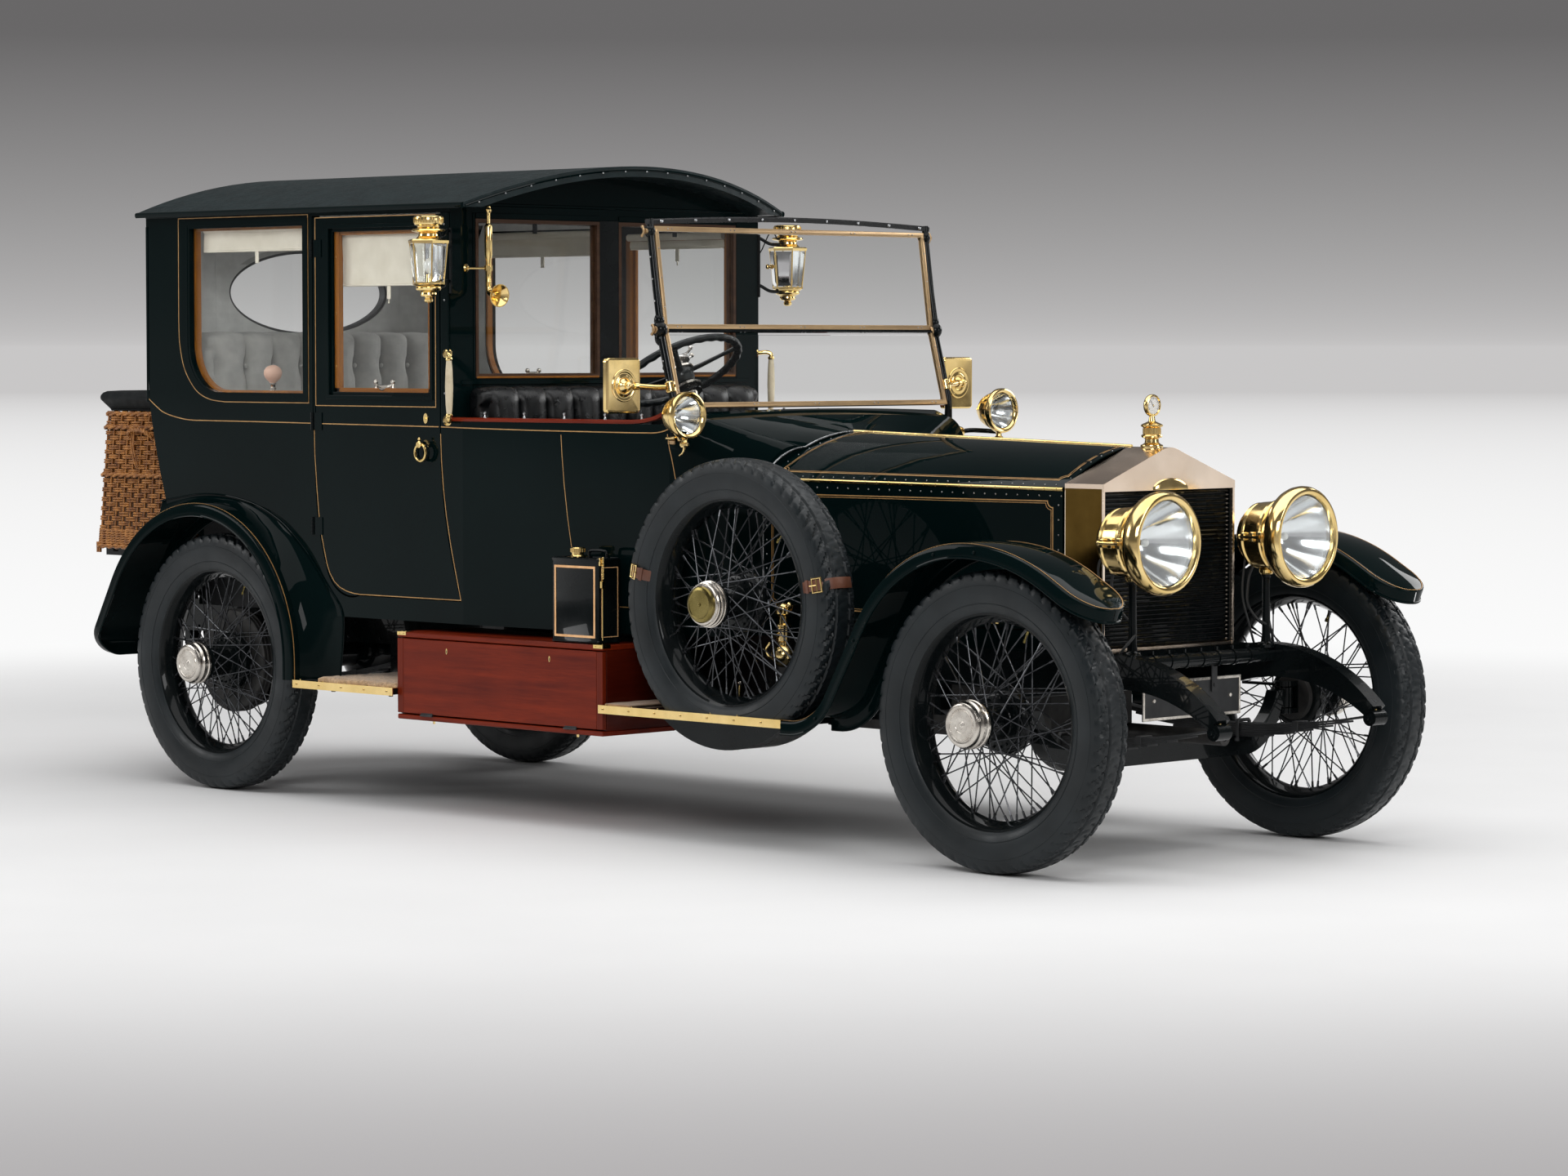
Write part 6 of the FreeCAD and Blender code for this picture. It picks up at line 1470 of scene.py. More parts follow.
def make_door_trim():
    """Mouldings, blind, frame and fittings that ride on each rear door."""
    pane = [(-1249.0, 1380.0), (-720.0, 1380.0), (-720.0, 1948.0), (-1249.0, 1948.0)]
    for side in SIDES:
        door = "rear_door_" + side
        b = Build()
        reveal(b, pane, [(12, -2, -6, 3.5), (0, -13, -24, -7)])
        b.bar([(-1325, -WALL - 0.2, 1318), (-1325, -WALL - 0.2, 1978)], 8, 2.5, (0, -1, 0))
        b.on(side, door + "_mouldings", door, [PAINT], "paint", sharp=30, bevel=1.2)
        b = Build()
        reveal(b, pane, [(-2, -24, -48, -25)])
        b.bar([(-1228, -WALL + 32, 1390), (-1228, -WALL + 32, 1940)], 30, 14, (0, -1, 0))
        b.bar([(-741, -WALL + 32, 1390), (-741, -WALL + 32, 1940)], 22, 14, (0, -1, 0))
        b.bar([(-1240, -WALL + 34, 1394), (-730, -WALL + 34, 1394)], 26, 16, (0, -1, 0), mat=1)
        for z in (1480, 1660, 1850):
            b.ball((-1226, -WALL + 17, z), 3.4, 2, 8)
        b.on(side, door + "_wood", door, [GOLDEN_WOOD, GOLDEN_WOOD_X, BRASS], "wood", sharp=30, bevel=1.0)
        b = Build()
        side_line(b, [(-1318, 1984), (-694, 1984), (-694, 1346), (-1318, 1346)], FINE_LINE, True)
        side_line(b, [(-1326, 1284.5), (-1000, 1283), (-680, 1281)], LINE)
        side_line(b, [(x + 3, z) for x, z in DOOR_EDGE], FINE_LINE)
        b.on(side, door + "_lines", door, [GOLD_LINE], "brass")
        b = Build()
        rows = []
        hem = 1896 if side == "left" else 1752      # the left blind is nearly rolled up
        for i, z in enumerate(np.linspace(hem, 1946, 8)):
            wave = 3.0 * math.sin(i * 0.9)
            rows.append([(x, -WALL + 46 + wave + 2.0 * math.sin(x * 0.021 + i * 0.4) * (1 - i / 8), z)
                         for x in np.linspace(-1224, -742, 28)])
        back = [[(x, y + 1.6, z) for x, y, z in row] for row in rows]
        shell_of(b, rows, back)
        blind = b.on(side, door + "_blind", door, [CREAM], "cloth", sharp=80)
        b = Build()
        b.cyl((-1226, -WALL + 54, 1938), (-740, -WALL + 54, 1938), 13, n=20)
        b.cyl((-1220, -WALL + 47, hem + 2), (-746, -WALL + 47, hem + 2), 4.5, n=10)
        b.box((-992, -WALL + 44, hem - 46), (-974, -WALL + 48, hem - 2), 1)
        b.tube(spline([(-983, -WALL + 46, hem - 44), (-983, -WALL + 46, hem - 60)], 3), 2.5, 8)
        b.on(side, door + "_blind_roller", door, [CREAM, NICKEL], "cloth", sharp=40)
        b = Build()
        for x in (-1034, -946):      # the window lift: two knobs and a chased bow
            b.cyl((x, -WALL + 30, 1404), (x, -WALL + 30, 1422), 7, 5, 14)
            b.ball((x, -WALL + 30, 1428), 8.5, 0, 12)
            b.box((x - 16, -WALL + 22, 1398), (x + 16, -WALL + 40, 1405), 2)
        b.tube(spline([(-1030, -WALL + 30, 1418), (-1012, -WALL + 24, 1410), (-990, -WALL + 20, 1402),
                       (-968, -WALL + 24, 1410), (-950, -WALL + 30, 1418)], 5), 5, 8)
        b.box((-1016, -WALL + 24, 1398), (-964, -WALL + 30, 1418), 2.5)
        b.lathe([(0, 0), (0, 15), (3, 15), (6, 10), (12, 7.5), (26, 7), (29, 11), (34, 12), (38, 8), (38, 0)],
                (-744, -WALL, 1222), (0, -1, 0), 20, 1)      # handle
        loop = [(-744 + 27 * u, -WALL - 26, 1195 + 28 * v) for u, v in circle(1, 29)]
        b.tube(loop, 4.6, 10, True, 1)
        b.ball((-744, -WALL - 30, 1240), 6, 1, 10)
        b.plate([(-744 + u * 0.72, 1308 + v * 1.15) for u, v in circle(15, 18)], 1, -WALL - 3, -WALL, 1)
        b.cyl((-744, -WALL - 6, 1308), (-744, -WALL, 1308), 4, n=10, mat=1)
        b.on(side, door + "_fittings", door, [NICKEL, BRASS], "brass")
        b = Build()
        for z in (905.0, 1262.0, 1850.0):      # hinges
            x, y = -1333.5, -WALL - 5
            for k in range(5):
                b.cyl((x, y, z + 12.2 * k + 0.6), (x, y, z + 12.2 * k + 11), 5.6, n=14)
            b.box((x, -WALL - 3.2, z), (-1322, -WALL, z + 60), 0.8)
        b.on(side, door + "_hinges", door, [ENAMEL], "black_enamel")


def shell_of(b, front, back):
    """Closes two matching grids of points into one thin sheet."""
    front, back = np.asarray(front, float), np.asarray(back, float)
    r, c = front.shape[:2]
    n = r * c
    faces = []
    for i in range(r - 1):
        for j in range(c - 1):
            a = i * c + j
            faces += [(a, a + 1, a + c + 1, a + c), (n + a, n + a + c, n + a + c + 1, n + a + 1)]
    rim = list(range(c)) + [i * c + c - 1 for i in range(1, r)]
    rim += [(r - 1) * c + j for j in range(c - 2, -1, -1)] + [i * c for i in range(r - 2, 0, -1)]
    for a, d in zip(rim, rim[1:] + rim[:1]):
        faces.append((a, n + a, n + d, d))
    return b.add(np.vstack([front.reshape(-1, 3), back.reshape(-1, 3)]), faces)


def make_wall_trim():
    """What stays with the body: quarter windows, lines, the belt, posts and the oval window."""
    for side in SIDES:
        b = Build()
        reveal(b, quarter_loop(0), [(22, 4, -4, 4), (6, -6, -22, 2.5)])
        b.box((TAIL_X, -WALL - 3, 1999.5), (DIVISION_X, -WALL + 1, 2006), 1)      # under the roof
        b.bar([(-2256, -WALL, 1970), (-2256, -WALL, 1350)], 10, 2.5, (0, -1, 0))
        b.bar([(-652, -WALL, 1322), (-652, -WALL, 1984)], 10, 3, (0, -1, 0))
        b.box((-661, -WALL - 7, 1322), (-622, -WALL + 1, 1990), 2.5)
        b.on(side, "wall_mouldings_" + side, CAR, [PAINT], "paint", sharp=30, bevel=1.2)
        b = Build()
        reveal(b, quarter_loop(0), [(-5, -14, -46, -22)])
        b.on(side, "quarter_frame_" + side, CAR, [GOLDEN_WOOD], "wood", sharp=30)
        b = Build()
        rows = []
        for i, z in enumerate(np.linspace(1880, 1962, 5)):
            rows.append([(x, -WALL + 50 + 1.5 * math.sin(x * 0.02 + i), z)
                         for x in np.linspace(-1990, -1402, 28)])
        shell_of(b, rows, [[(x, y + 1.6, z) for x, y, z in row] for row in rows])
        blind = b.on(side, "quarter_blind_" + side, CAR, [CREAM], "cloth", sharp=80)
        b = Build()
        b.cyl((-1992, -WALL + 58, 1955), (-1400, -WALL + 58, 1955), 13, n=20)
        b.cyl((-1988, -WALL + 51, 1880), (-1404, -WALL + 51, 1880), 4.5, n=10)
        b.box((-1702, -WALL + 48, 1836), (-1684, -WALL + 52, 1877), 1)
        b.on(side, "quarter_roller_" + side, CAR, [CREAM], "cloth", sharp=40)
        b = Build()
        swept = [tuple(q) for q in spline([(-2075, 1640), (-2071, 1560), (-2049, 1478), (-2012, 1424),
                                           (-1966, 1385), (-1900, 1362), (-1817, 1354)], 5)]
        side_line(b, [(-1357, 1996), (-2074, 1996)] + swept + [(-1357, 1354)], FINE_LINE, True)
        belt = spline([(-2255, 1363), (-2210, 1336), (-2166, 1314), (-2100, 1299), (-2020, 1289),
                       (-1900, 1287.5), (-1675, 1287), (-1339, 1285)], 5)
        side_line(b, belt, LINE)
        cowl = [(-668, 1281), (-560, 1279), (-450, 1277.5), (-250, 1275), (0, 1273.5), (200, 1272.5)]
        cowl += [tuple(q) for q in bezier((290, 1273), (350, 1276), (372, 1296), 6)]
        if side == "right":
            side_line(b, cowl, LINE)
            side_line(b, [(-112, 1262), (-108, 1200), (-98, 1100), (-84, 1000), (-66, 900), (-40, 800),
                          (-10, 715), (250, 715)], DOOR_LINE)
        else:
            side_line(b, cowl[:3] + [(-108, 1276)], LINE)
            side_line(b, [(306, 1277), (345, 1280), (372, 1296)], LINE)
        seam = [(352, 1270), (358, 1242), (361, 1225), (370, 1194), (384, 1130), (399, 1064), (409, 1010)]
        b.bar([(x, -COWL + 0.1875 * max(x - 360, 0) - 0.3, z) for x, z in seam], FINE_LINE, 0.9, (0, -1, 0))
        b.on(side, "coach_lines_" + side, CAR, [GOLD_LINE], "brass")
        b = Build()      # screws of the posts and curtain buttons on the rail
        for z in (1392, 1520, 1700, 1860, 1950):
            b.ball((-641, -WALL - 7, z), 3.4, 0, 8)
        for x in (-470, -290, -110, 70, 230):
            y = -side_y(x) + 12
            b.lathe([(0, 0), (0, 5), (4, 3.4), (12, 3), (15, 5), (19, 5), (22, 0)], (x, y, RAIL_Z + 12),
                    (0, 0, 1), 10)
        b.on(side, "curtain_buttons_" + side, CAR, [STEEL], "brass")
        b = Build()      # mahogany capping, which curves up to the windscreen post
        path = [(-618, RAIL_Z), (-560, RAIL_Z), (-400, RAIL_Z), (-200, RAIL_Z), (0, RAIL_Z), (170, RAIL_Z)]
        path += [tuple(q) for q in bezier((170, RAIL_Z), (300, RAIL_Z), (352, RAIL_Z + 42), 8)[1:]]
        if side == "left":      # there it ends at the front door
            path = [(-618, RAIL_Z), (-560, RAIL_Z), (-108, RAIL_Z)]
        b.sweep([(x, -side_y(x) + 15, z) for x, z in path], CAPPING, (0, 0, 1))
        b.on(side, "rail_capping_" + side, CAR, [MAHOGANY], "wood", sharp=50)
    b = Build()      # the left front door carries its own length of capping, lines and handle
    b.sweep([(x, side_y(x) - 15, RAIL_Z) for x in (-96, 100, 296)], CAPPING, (0, 0, 1))
    b.done("front_door_capping", "front_door_left", [MAHOGANY], "wood", sharp=50)
    b = Build()
    side_line(b, [(-94, 1276), (100, 1276), (295, 1276)], LINE)
    side_line(b, [(-92, 1262), (-92, 713), (292, 713), (292, 1262)], DOOR_LINE)
    b.on("left", "front_door_lines", "front_door_left", [GOLD_LINE], "brass")
    b = Build()
    y = side_y(260)
    b.lathe([(0, 0), (0, 16), (3, 16), (6, 11), (12, 8), (26, 7.5), (31, 10), (36, 8), (36, 0)],
            (260, y - 2, 1222), (0, 1, 0), 20)
    b.tube(spline([(262, y + 27, 1222), (240, y + 28, 1222), (215, y + 27, 1217)], 5), 6.5, 10)
    b.done("front_door_handle", "front_door_left", [BRASS], "brass")
    b = Build()      # the oval rear window's frames
    ring = [(375 * math.cos(q), 1742 + 157 * math.sin(q)) for q in np.linspace(0, TAU, 73)[:-1]]
    x = TAIL_X
    for grow, x0, x1, mat in ((8, x - 5, x + 6, 0), (-4, x + 2, x + 34, 1), (6, x + 28, x + 37, 2)):
        b.bar([(x0, y, z) for y, z in offset_loop(ring, grow)], 18, x1 - x0, (1, 0, 0), True, mat)
    b.done("oval_window_frame", CAR, [PAINT, SATIN, GREY_CLOTH], "paint", sharp=30)
    b = Build()      # the belt across the back
    b.bar([(x - 0.5, -700, 1354), (x - 0.5, 700, 1354)], 6, 3, (-1, 0, 0))
    b.done("tail_belt", CAR, [GOLD_LINE], "brass")


def make_division_trim():
    """Frames of the two openings behind the driver, in brown wood, with their window lifts."""
    x = DIVISION_X
    b = Build()
    for lo, hi in ((-605.0, -45.0), (45.0, 605.0)):
        mid = (lo + hi) / 2
        loop = [(lo, 1443.0), (hi, 1443.0), (hi, 1970.0), (lo, 1970.0)]
        b.bar([(x - 9, y, z) for y, z in offset_loop(loop, -6)], 12, 12, (1, 0, 0), True)
        b.bar([(x - 33, y, z) for y, z in offset_loop(loop, -5)], 18, 14, (1, 0, 0), True)
        b.box((x - 12, lo + 3, 1441), (x + 3.5, hi - 3, 1449), 1.5, 1)
        b.box((x - 34, mid - 30, 1449), (x - 26, mid + 30, 1462), 2, 2)      # the window lift
        for q in (-26, 26):
            b.ball((x - 28, mid + q, 1466), 8, 2, 10)
        b.box((x - 20, mid - 9, 1925), (x - 14, mid + 9, 1958), 1, 3)
    b.box((x - 31, -44, 1440), (x + 4, 44, 1975), 2, 3)
    b.done("division_frames", CAR, [DARK_WOOD, GOLDEN_WOOD, NICKEL, ENAMEL], "wood", sharp=30)
    b = Build()
    for s in (-1, 1):      # upright beads beside the openings
        b.box((x + 0.3, s * 612 - 4, 1330), (x + 3, s * 612 + 4, 1990), 1)
    b.box((x + 0.3, -640, 2012), (x + 6, 640, 2022), 2)
    for s in (-1, 1):      # the board above the openings
        b.box((x + 0.3, s * 45, 1972), (x + 4, s * 605, 1990), 1)
    b.box((x + 0.2, -670, 1420), (x + 5, 670, 1436), 2)
    b.done("division_mouldings", CAR, [PAINT], "paint", sharp=30)


def make_roof_trim():
    """Gutters and the studded edge of the roof's front bow."""
    b = Build()
    gutter = [(0, -4), (9, -4), (13, 2), (13, 10), (9, 14), (0, 16)]
    b.sweep([(x, -741, WALL_TOP) for x in (-2276, -1400, -523)], gutter, (0, 0, 1))
    b = b.both()
    bow = roof_front_line()
    b.tube(bow, 5.0, 10)
    b.tube([(-2278, y, z) for _, y, z in bow], 6.0, 10)
    b.done("roof_gutter", CAR, [PAINT], "paint", sharp=35)
    b = Build()
    for x, y, z in bow[2:-2:4]:
        b.ball((x + 3, y, z - 6), 3.2, 0, 8)
    b.done("roof_studs", CAR, [STEEL], "brass")


def roof_front_line():
    """The lower edge of the roof's front bow."""
    out = []
    for y in np.linspace(-735, 735, 61):
        fall = 1 - (y / 742.0) ** 2
        out.append((-524.0 + 90.0 * fall, y, WALL_TOP + 2.0 + 135.0 * fall))
    return out


make_door_trim()
make_wall_trim()
make_division_trim()
make_roof_trim()


# ---------------------------------------------------------------- driver's place, windscreen and small lamps
SCREEN = np.array([(368.0, 1352.0), (302.0, 1600.0), (256.0, 1928.0)])


def make_windscreen():
    """The screen's two leaves, the posts they turn on, and the padded rail along its top."""
    foot, joint, head = SCREEN
    half = 618
    b = Build()
    for low, high in ((foot, joint), (joint, head)):
        d = (high - low) / np.linalg.norm(high - low)
        lo, hi = low + d * (8 if low is foot else 9), high - d * (9 if high is joint else 8)
        n = np.array((d[1], 0, -d[0]))
        pts = [(hi[0], -half, hi[1]), (lo[0], -half, lo[1]), (lo[0], half, lo[1]), (hi[0], half, hi[1])]
        section = [(-8, -7), (-6, -8), (6, -8), (8, -7), (8, 7), (6, 8), (-6, 8), (-8, 7)]
        b.sweep(pts, section, n, high is head)
        for y in np.arange(-560, 561, 280.0):      # screws of the frame
            for p in (lo, hi):
                for dy in (-9, 9):
                    b.ball((p[0] + n[0] * 8, y + dy, p[1] + n[2] * 8), 2.4, 2, 8)
        for share in (0.2, 0.5, 0.8):
            p = lo + (hi - lo) * share
            for y in (-half, half):
                b.ball((p[0] + n[0] * 8, y, p[1] + n[2] * 8), 2.4, 2, 8)
    d = (joint - foot) / np.linalg.norm(joint - foot)
    strip = joint - d * 5      # the lower leaf's head is a black strip under the upper leaf
    b.bar([(strip[0], -622, strip[1]), (strip[0], 622, strip[1])], 9, 12, (d[1], 0, -d[0]), mat=1)
    for s in (-1, 1):
        y = s * 640.0
        b.tube([(362, y, 1250), (365, y, 1300), (366, y, 1340), (364, y, 1372), (305, y, 1585)], 12.5, 14,
               mat=1, scale=[1.15, 1.1, 1.0, 0.95, 0.95])
        b.tube([(301, y, 1604), (300, y, 1640), (285, y, 1725), (262, y, 1885), (256, y, 1952)], 11, 14,
               mat=1, scale=[1.35, 1.05, 1.0, 1.0, 1.0])
        b.ball((302, y, 1600), 27, 1, 20, 0.85, (0, 1, 0))
        b.ball((302, y, 1572), 17, 1, 14, 1.4, (0.25, 0, -1))
        b.ball((299, y, 1628), 17, 1, 14, 1.4, (-0.15, 0, 1))
        b.ball((257, y, 1912), 18, 1, 14, 1.2)
        for x, z, r in ((302, 1600, 12), (257, 1912, 9)):
            b.cyl((x, y - s * 30, z), (x, y + s * 24, z), r, n=16)
            b.ball((x, y - s * 22, z), r + 4, 0, 12, 0.6, (0, 1, 0))
            wing = spline([(x - 8, y + s * 26, z + 16), (x, y + s * 27, z + 4), (x, y + s * 27, z - 4),
                           (x - 10, y + s * 26, z - 16)], 4)      # wing nut
            b.tube(wing, 4, 8, scale=[1.3] * 2 + [1.0] * (len(wing) - 4) + [1.3] * 2)
        for z in (1440, 1500, 1690, 1760, 1830):      # screws through the posts
            x = float(np.interp(z, (1372, 1585, 1604, 1725, 1885), (364, 305, 301, 285, 262)))
            b.ball((x, y + s * 11, z), 3, 2, 8)
        b.box((352, y - 16, 1236), (384, y + 16, 1252), 3)
    b.done("windscreen_frame_look", CAR, [GOLD_BAR, ENAMEL, STEEL], "brass", ["windscreen_frame"], 32)

    def rail_z(y):
        return 1936 + 23 * math.cos(y / 640 * 1.3)

    b = Build()
    line = [(256 + 4 * math.cos(y / 420), y, rail_z(y)) for y in np.linspace(-652, 652, 25)]
    b.sweep(line, [(-9, -8), (9, -8), (10, 5), (5, 9), (-5, 9), (-10, 5)], (0, 0, 1))
    for y in np.linspace(-600, 600, 9):
        b.lathe([(-1, 0), (-1, 5.5), (1, 5.5), (3.5, 3.6), (6, 4.2), (8, 0)], (266, y, rail_z(y)),
                (1, 0, 0), 12, 1)
    b.done("windscreen_top_rail", CAR, [BLACK_HIDE, STEEL], "leather", sharp=40)


def make_mirrors():
    """A square mirror on a bent arm beside each windscreen post."""
    b = Build()
    y0, y1, z0, z1, x = -852.0, -706.0, 1336.0, 1511.0, 274.0
    mid_y, mid_z = (y0 + y1) / 2, (z0 + z1) / 2
    ring = round_rect(y0, y1, z0, z1, 14, 6)
    rows = []
    for dx, g in ((-9.5, -7), (-8, 0), (4, 0), (8, -2.5), (9.5, -6), (9.0, -9)):
        rows.append([(x + dx, y, z) for y, z in offset_loop(ring, g)])
    b.rings(rows)
    b.plate([tuple(q) for q in offset_loop(ring, -8)], 0, x - 10.5, x - 9.2, 1)
    b.lathe([(8.5, 0), (8.5, 50), (10, 52), (12, 50), (12.5, 46), (11, 42), (10.5, 36), (12, 33),
             (13.5, 29), (13, 25), (11.5, 22), (14, 18), (20, 15), (24, 11), (24, 0)], (x, mid_y, mid_z),
            (1, 0, 0), 40)
    b.ball((x + 30, mid_y, mid_z), 14, 0, 16)
    b.tube(spline([(x + 30, mid_y + 4, mid_z), (x + 34, mid_y + 30, mid_z - 1), (330, -690, 1418),
                   (346, -658, 1418)], 5), 9.0, 14)
    b.cyl((x + 33, mid_y + 22, mid_z - 1), (x + 35, mid_y + 34, mid_z - 1), 12, n=18)
    b.lathe([(-17, 0), (-17, 14), (-14, 16.5), (14, 16.5), (17, 14), (17, 0)], (352, -642, 1418),
            (-0.26, 0, 1), 24)
    b.cyl((352, -642, 1418), (372, -642, 1424), 6, 5, 10)
    b.both().done("mirrors_look", CAR, [BRASS, SILVER], "brass", ["mirrors"], 32)


def make_spot_lamps():
    """A small lamp on a stem beside each end of the screen's foot."""
    b = Build()
    x, y, z = 524.0, -733.0, 1332.0
    b.lathe([(-100, 0), (-100, 14), (-97, 20), (-92, 23), (-86, 26), (-80, 36), (-66, 49), (-50, 57),
             (-34, 62.5), (-20, 66), (-16, 66.5), (-14, 72), (-9, 75), (2, 75.5), (8, 73.5), (10, 69),
             (8, 64), (3, 60), (-2, 59.5), (-14, 61), (-40, 52), (-70, 34), (-84, 0)], (x, y, z), (1, 0, 0),
            60)
    lamp_face(b, (x - 3, y, z), 60, 62, 0.45)
    stem = spline([(418, -650, 1262), (440, -672, 1266), (470, -712, 1264), (500, -734, 1262),
                   (508, -735, 1268), (510, -734, 1282)], 5)
    b.tube(stem, 8.0, 12, mat=4)
    b.lathe([(0, 0), (0, 12), (5, 15), (12, 15), (15, 10), (24, 9), (27, 13), (34, 14), (38, 10), (38, 0)],
            (510, -733.5, 1232), (0, 0, 1), 24)
    b.tube(spline([(510, -733.5, 1240), (508, -733.5, 1224), (498, -730, 1214), (480, -724, 1206)], 4), 4, 10)
    b.lathe([(-6, 0), (-6, 17), (0, 20), (10, 17), (16, 12), (16, 0)], (412, -645, 1260),
            (0.55, -0.75, 0.05), 20)
    b.tube(spline([(365, -640, 1300), (372, -641, 1284), (388, -642, 1268), (414, -648, 1261)], 5), 10, 12)
    b.box((348, -662, 1252), (388, -622, 1262), 3)
    b.both().done("spot_lamps_look", CAR, [BRASS, SILVER, LENS, PORCELAIN, ENAMEL], "brass",
                  ["spot_lamps"], 30)


def make_side_lamps():
    """A six-sided lamp with bevelled panes at each front corner of the cabin."""
    b = Build()
    x, y = -590.0, -835.0

    def six(z, r):
        """A level hexagon about the lamp's axis."""
        turns = [math.radians(60 * i + 30) for i in range(6)]
        return [(x + r * math.cos(q), y + r * math.sin(q), z) for q in turns]

    b.lathe([(0, 0), (0, 9), (4, 14), (10, 15), (15, 12), (18, 14), (21, 25), (27, 28), (33, 27), (37, 31),
             (41, 41), (47, 43), (52, 41), (55, 47), (60, 53), (62, 50), (62, 0)], (x, y, 1690), (0, 0, 1),
            40)
    b.rings([six(1750, 44), six(1750, 56), six(1757, 56), six(1757, 44)], loop=True)
    b.rings([six(1884, 56), six(1884, 70), six(1893, 71), six(1897, 66), six(1897, 40)])
    b.lathe([(0, 0), (0, 44), (6, 40), (13, 33), (20, 32), (24, 36), (27, 52), (31, 56), (35, 54), (38, 40),
             (42, 36), (46, 37), (50, 46), (54, 48), (74, 48), (78, 46), (80, 40), (81, 33), (76, 30),
             (76, 0)], (x, y, 1895), (0, 0, 1), 44)
    for u, v in circle(48, 30):
        b.cyl((x + u, y + v, 1951), (x + u, y + v, 1968), 1.6, n=6)
    low, high = six(1756, 52), six(1886, 65)
    for ends in zip(low, high):
        b.tube(ends, 2.6, 8)
    for i in range(6):      # bevelled panes; the two towards the body are silvered
        j = (i + 1) % 6
        corner = [np.array(low[i]), np.array(low[j]), np.array(high[j]), np.array(high[i])]
        mid = sum(corner) / 4
        out = np.array((mid[0] - x, mid[1] - y, 0.0))
        out /= np.linalg.norm(out)
        rim = [mid + (c - mid) * 0.93 for c in corner]
        face = [mid + (c - mid) * 0.70 + out * 4.0 for c in corner]
        back = [mid + (c - mid) * 0.93 - out * 2.5 for c in corner]
        b.rings([face, rim, back], 1 if out[1] > 0.3 else 2)
    b.plate([(x + u, y + 33 + v * 0.1) for u, v in circle(30, 16)], 2, 1770, 1870, 1)
    b.cyl((x, y, 1752), (x, y, 1786), 9, 7, 14)
    b.ball((x, y, 1812), 15, 3, 14, 1.5)
    for z in (1740, 1906):      # curved arms from the body
        arm = spline([(x - 38, -WALL + 4, z + 26), (x - 30, -WALL - 14, z + 20), (x - 16, -WALL - 46, z + 2),
                      (x - 8, y + 34, z)], 5)
        b.tube(arm, 6, 10, mat=4)
    b.tube(spline([(x - 40, -WALL + 2, 1862), (x - 36, -WALL - 22, 1882), (x - 26, -WALL - 50, 1940),
                   (x - 14, y + 58, 1948), (x - 10, y + 44, 1928)], 6), 2.2, 8, mat=4)
    b.lathe([(0, 0), (0, 8), (5, 9), (9, 6), (14, 6), (16, 9), (22, 9), (24, 0)],
            (x - 14, -WALL - 58, 1828), (-1, 0.3, 0), 14)
    b.box((x - 60, -WALL - 4, 1720), (x - 20, -WALL + 2, 1940), 2, 4)
    b.both().done("side_lamps_look", CAR, [BRASS, SILVER, LENS, PORCELAIN, ENAMEL], "brass",
                  ["side_lamps"], 30)


def make_horn():
    """The upright horn in front of the right-hand side lamp."""
    b = Build()
    x, y = -560.0, -600.0
    b.lathe([(0, 0), (0, 9), (4, 10.5), (8, 9.5), (82, 9.5), (86, 11.5), (92, 11.5), (95, 13), (190, 13),
             (196, 10.5), (200, 7.5), (236, 7), (240, 10), (246, 10.5), (250, 8), (256, 8), (261, 0)],
            (x, y, 1753), (0, 0, 1), 24)
    b.tube(spline([(x, y, 1756), (x, y, 1742), (x + 3, y - 1, 1730), (x + 14, y - 3, 1721),
                   (x + 26, y - 5, 1718)], 5), 10.0, 14)
    b.lathe([(0, 0), (0, 11), (8, 13), (20, 18), (30, 25), (38, 33), (43, 37.5), (46, 38.5), (46, 35),
             (42, 31), (34, 22), (22, 13), (10, 6), (10, 0)], (x + 20, y - 4, 1719), (1, -0.12, -0.10), 40)
    b.tube([(-619, -648, 1806), (-600, -636, 1806), (x - 6, y - 4, 1806)], 4.0, 10)
    b.lathe([(0, 0), (0, 14), (3, 14), (6, 8), (10, 7), (10, 0)], (-620, -648, 1806), (1, 0.2, 0), 18)
    b.lathe([(-9, 0), (-9, 14), (9, 14), (9, 0)], (x, y, 1806), (0, 0, 1), 20)
    b.done("horn_look", CAR, [BRASS], "brass", ["horn"], 35)


def make_grab_handles():
    """An ivory grip in brass ends on each pillar behind the driver."""
    b = Build()
    x, y = -588.0, -750.0
    b.lathe([(-96, 0), (-96, 7), (-88, 9), (-60, 11.5), (0, 13.5), (60, 11.5), (88, 9), (96, 7), (96, 0)],
            (x, y, 1413), (0, 0, 1), 24, 1)
    for s in (-1, 1):
        b.lathe([(s * 88, 0), (s * 88, 10.5), (s * 92, 12), (s * 98, 10), (s * 100, 0)], (x, y, 1413),
                (0, 0, 1), 20)
        b.tube(spline([(x, y, 1413 + s * 94), (x - 1, y, 1413 + s * 106), (x - 12, y + 10, 1413 + s * 113),
                       (x - 34, y + 30, 1413 + s * 111), (x - 44, y + 37, 1413 + s * 110)], 5), 7.5, 12)
        b.lathe([(0, 0), (0, 17), (4, 18), (8, 13), (12, 9), (12, 0)], (x - 45, y + 35, 1413 + s * 110),
                (0.3, -0.95, 0), 20)
    b.both().done("grab_handles_look", CAR, [BRASS, IVORY], "brass", ["grab_handles"], 30)


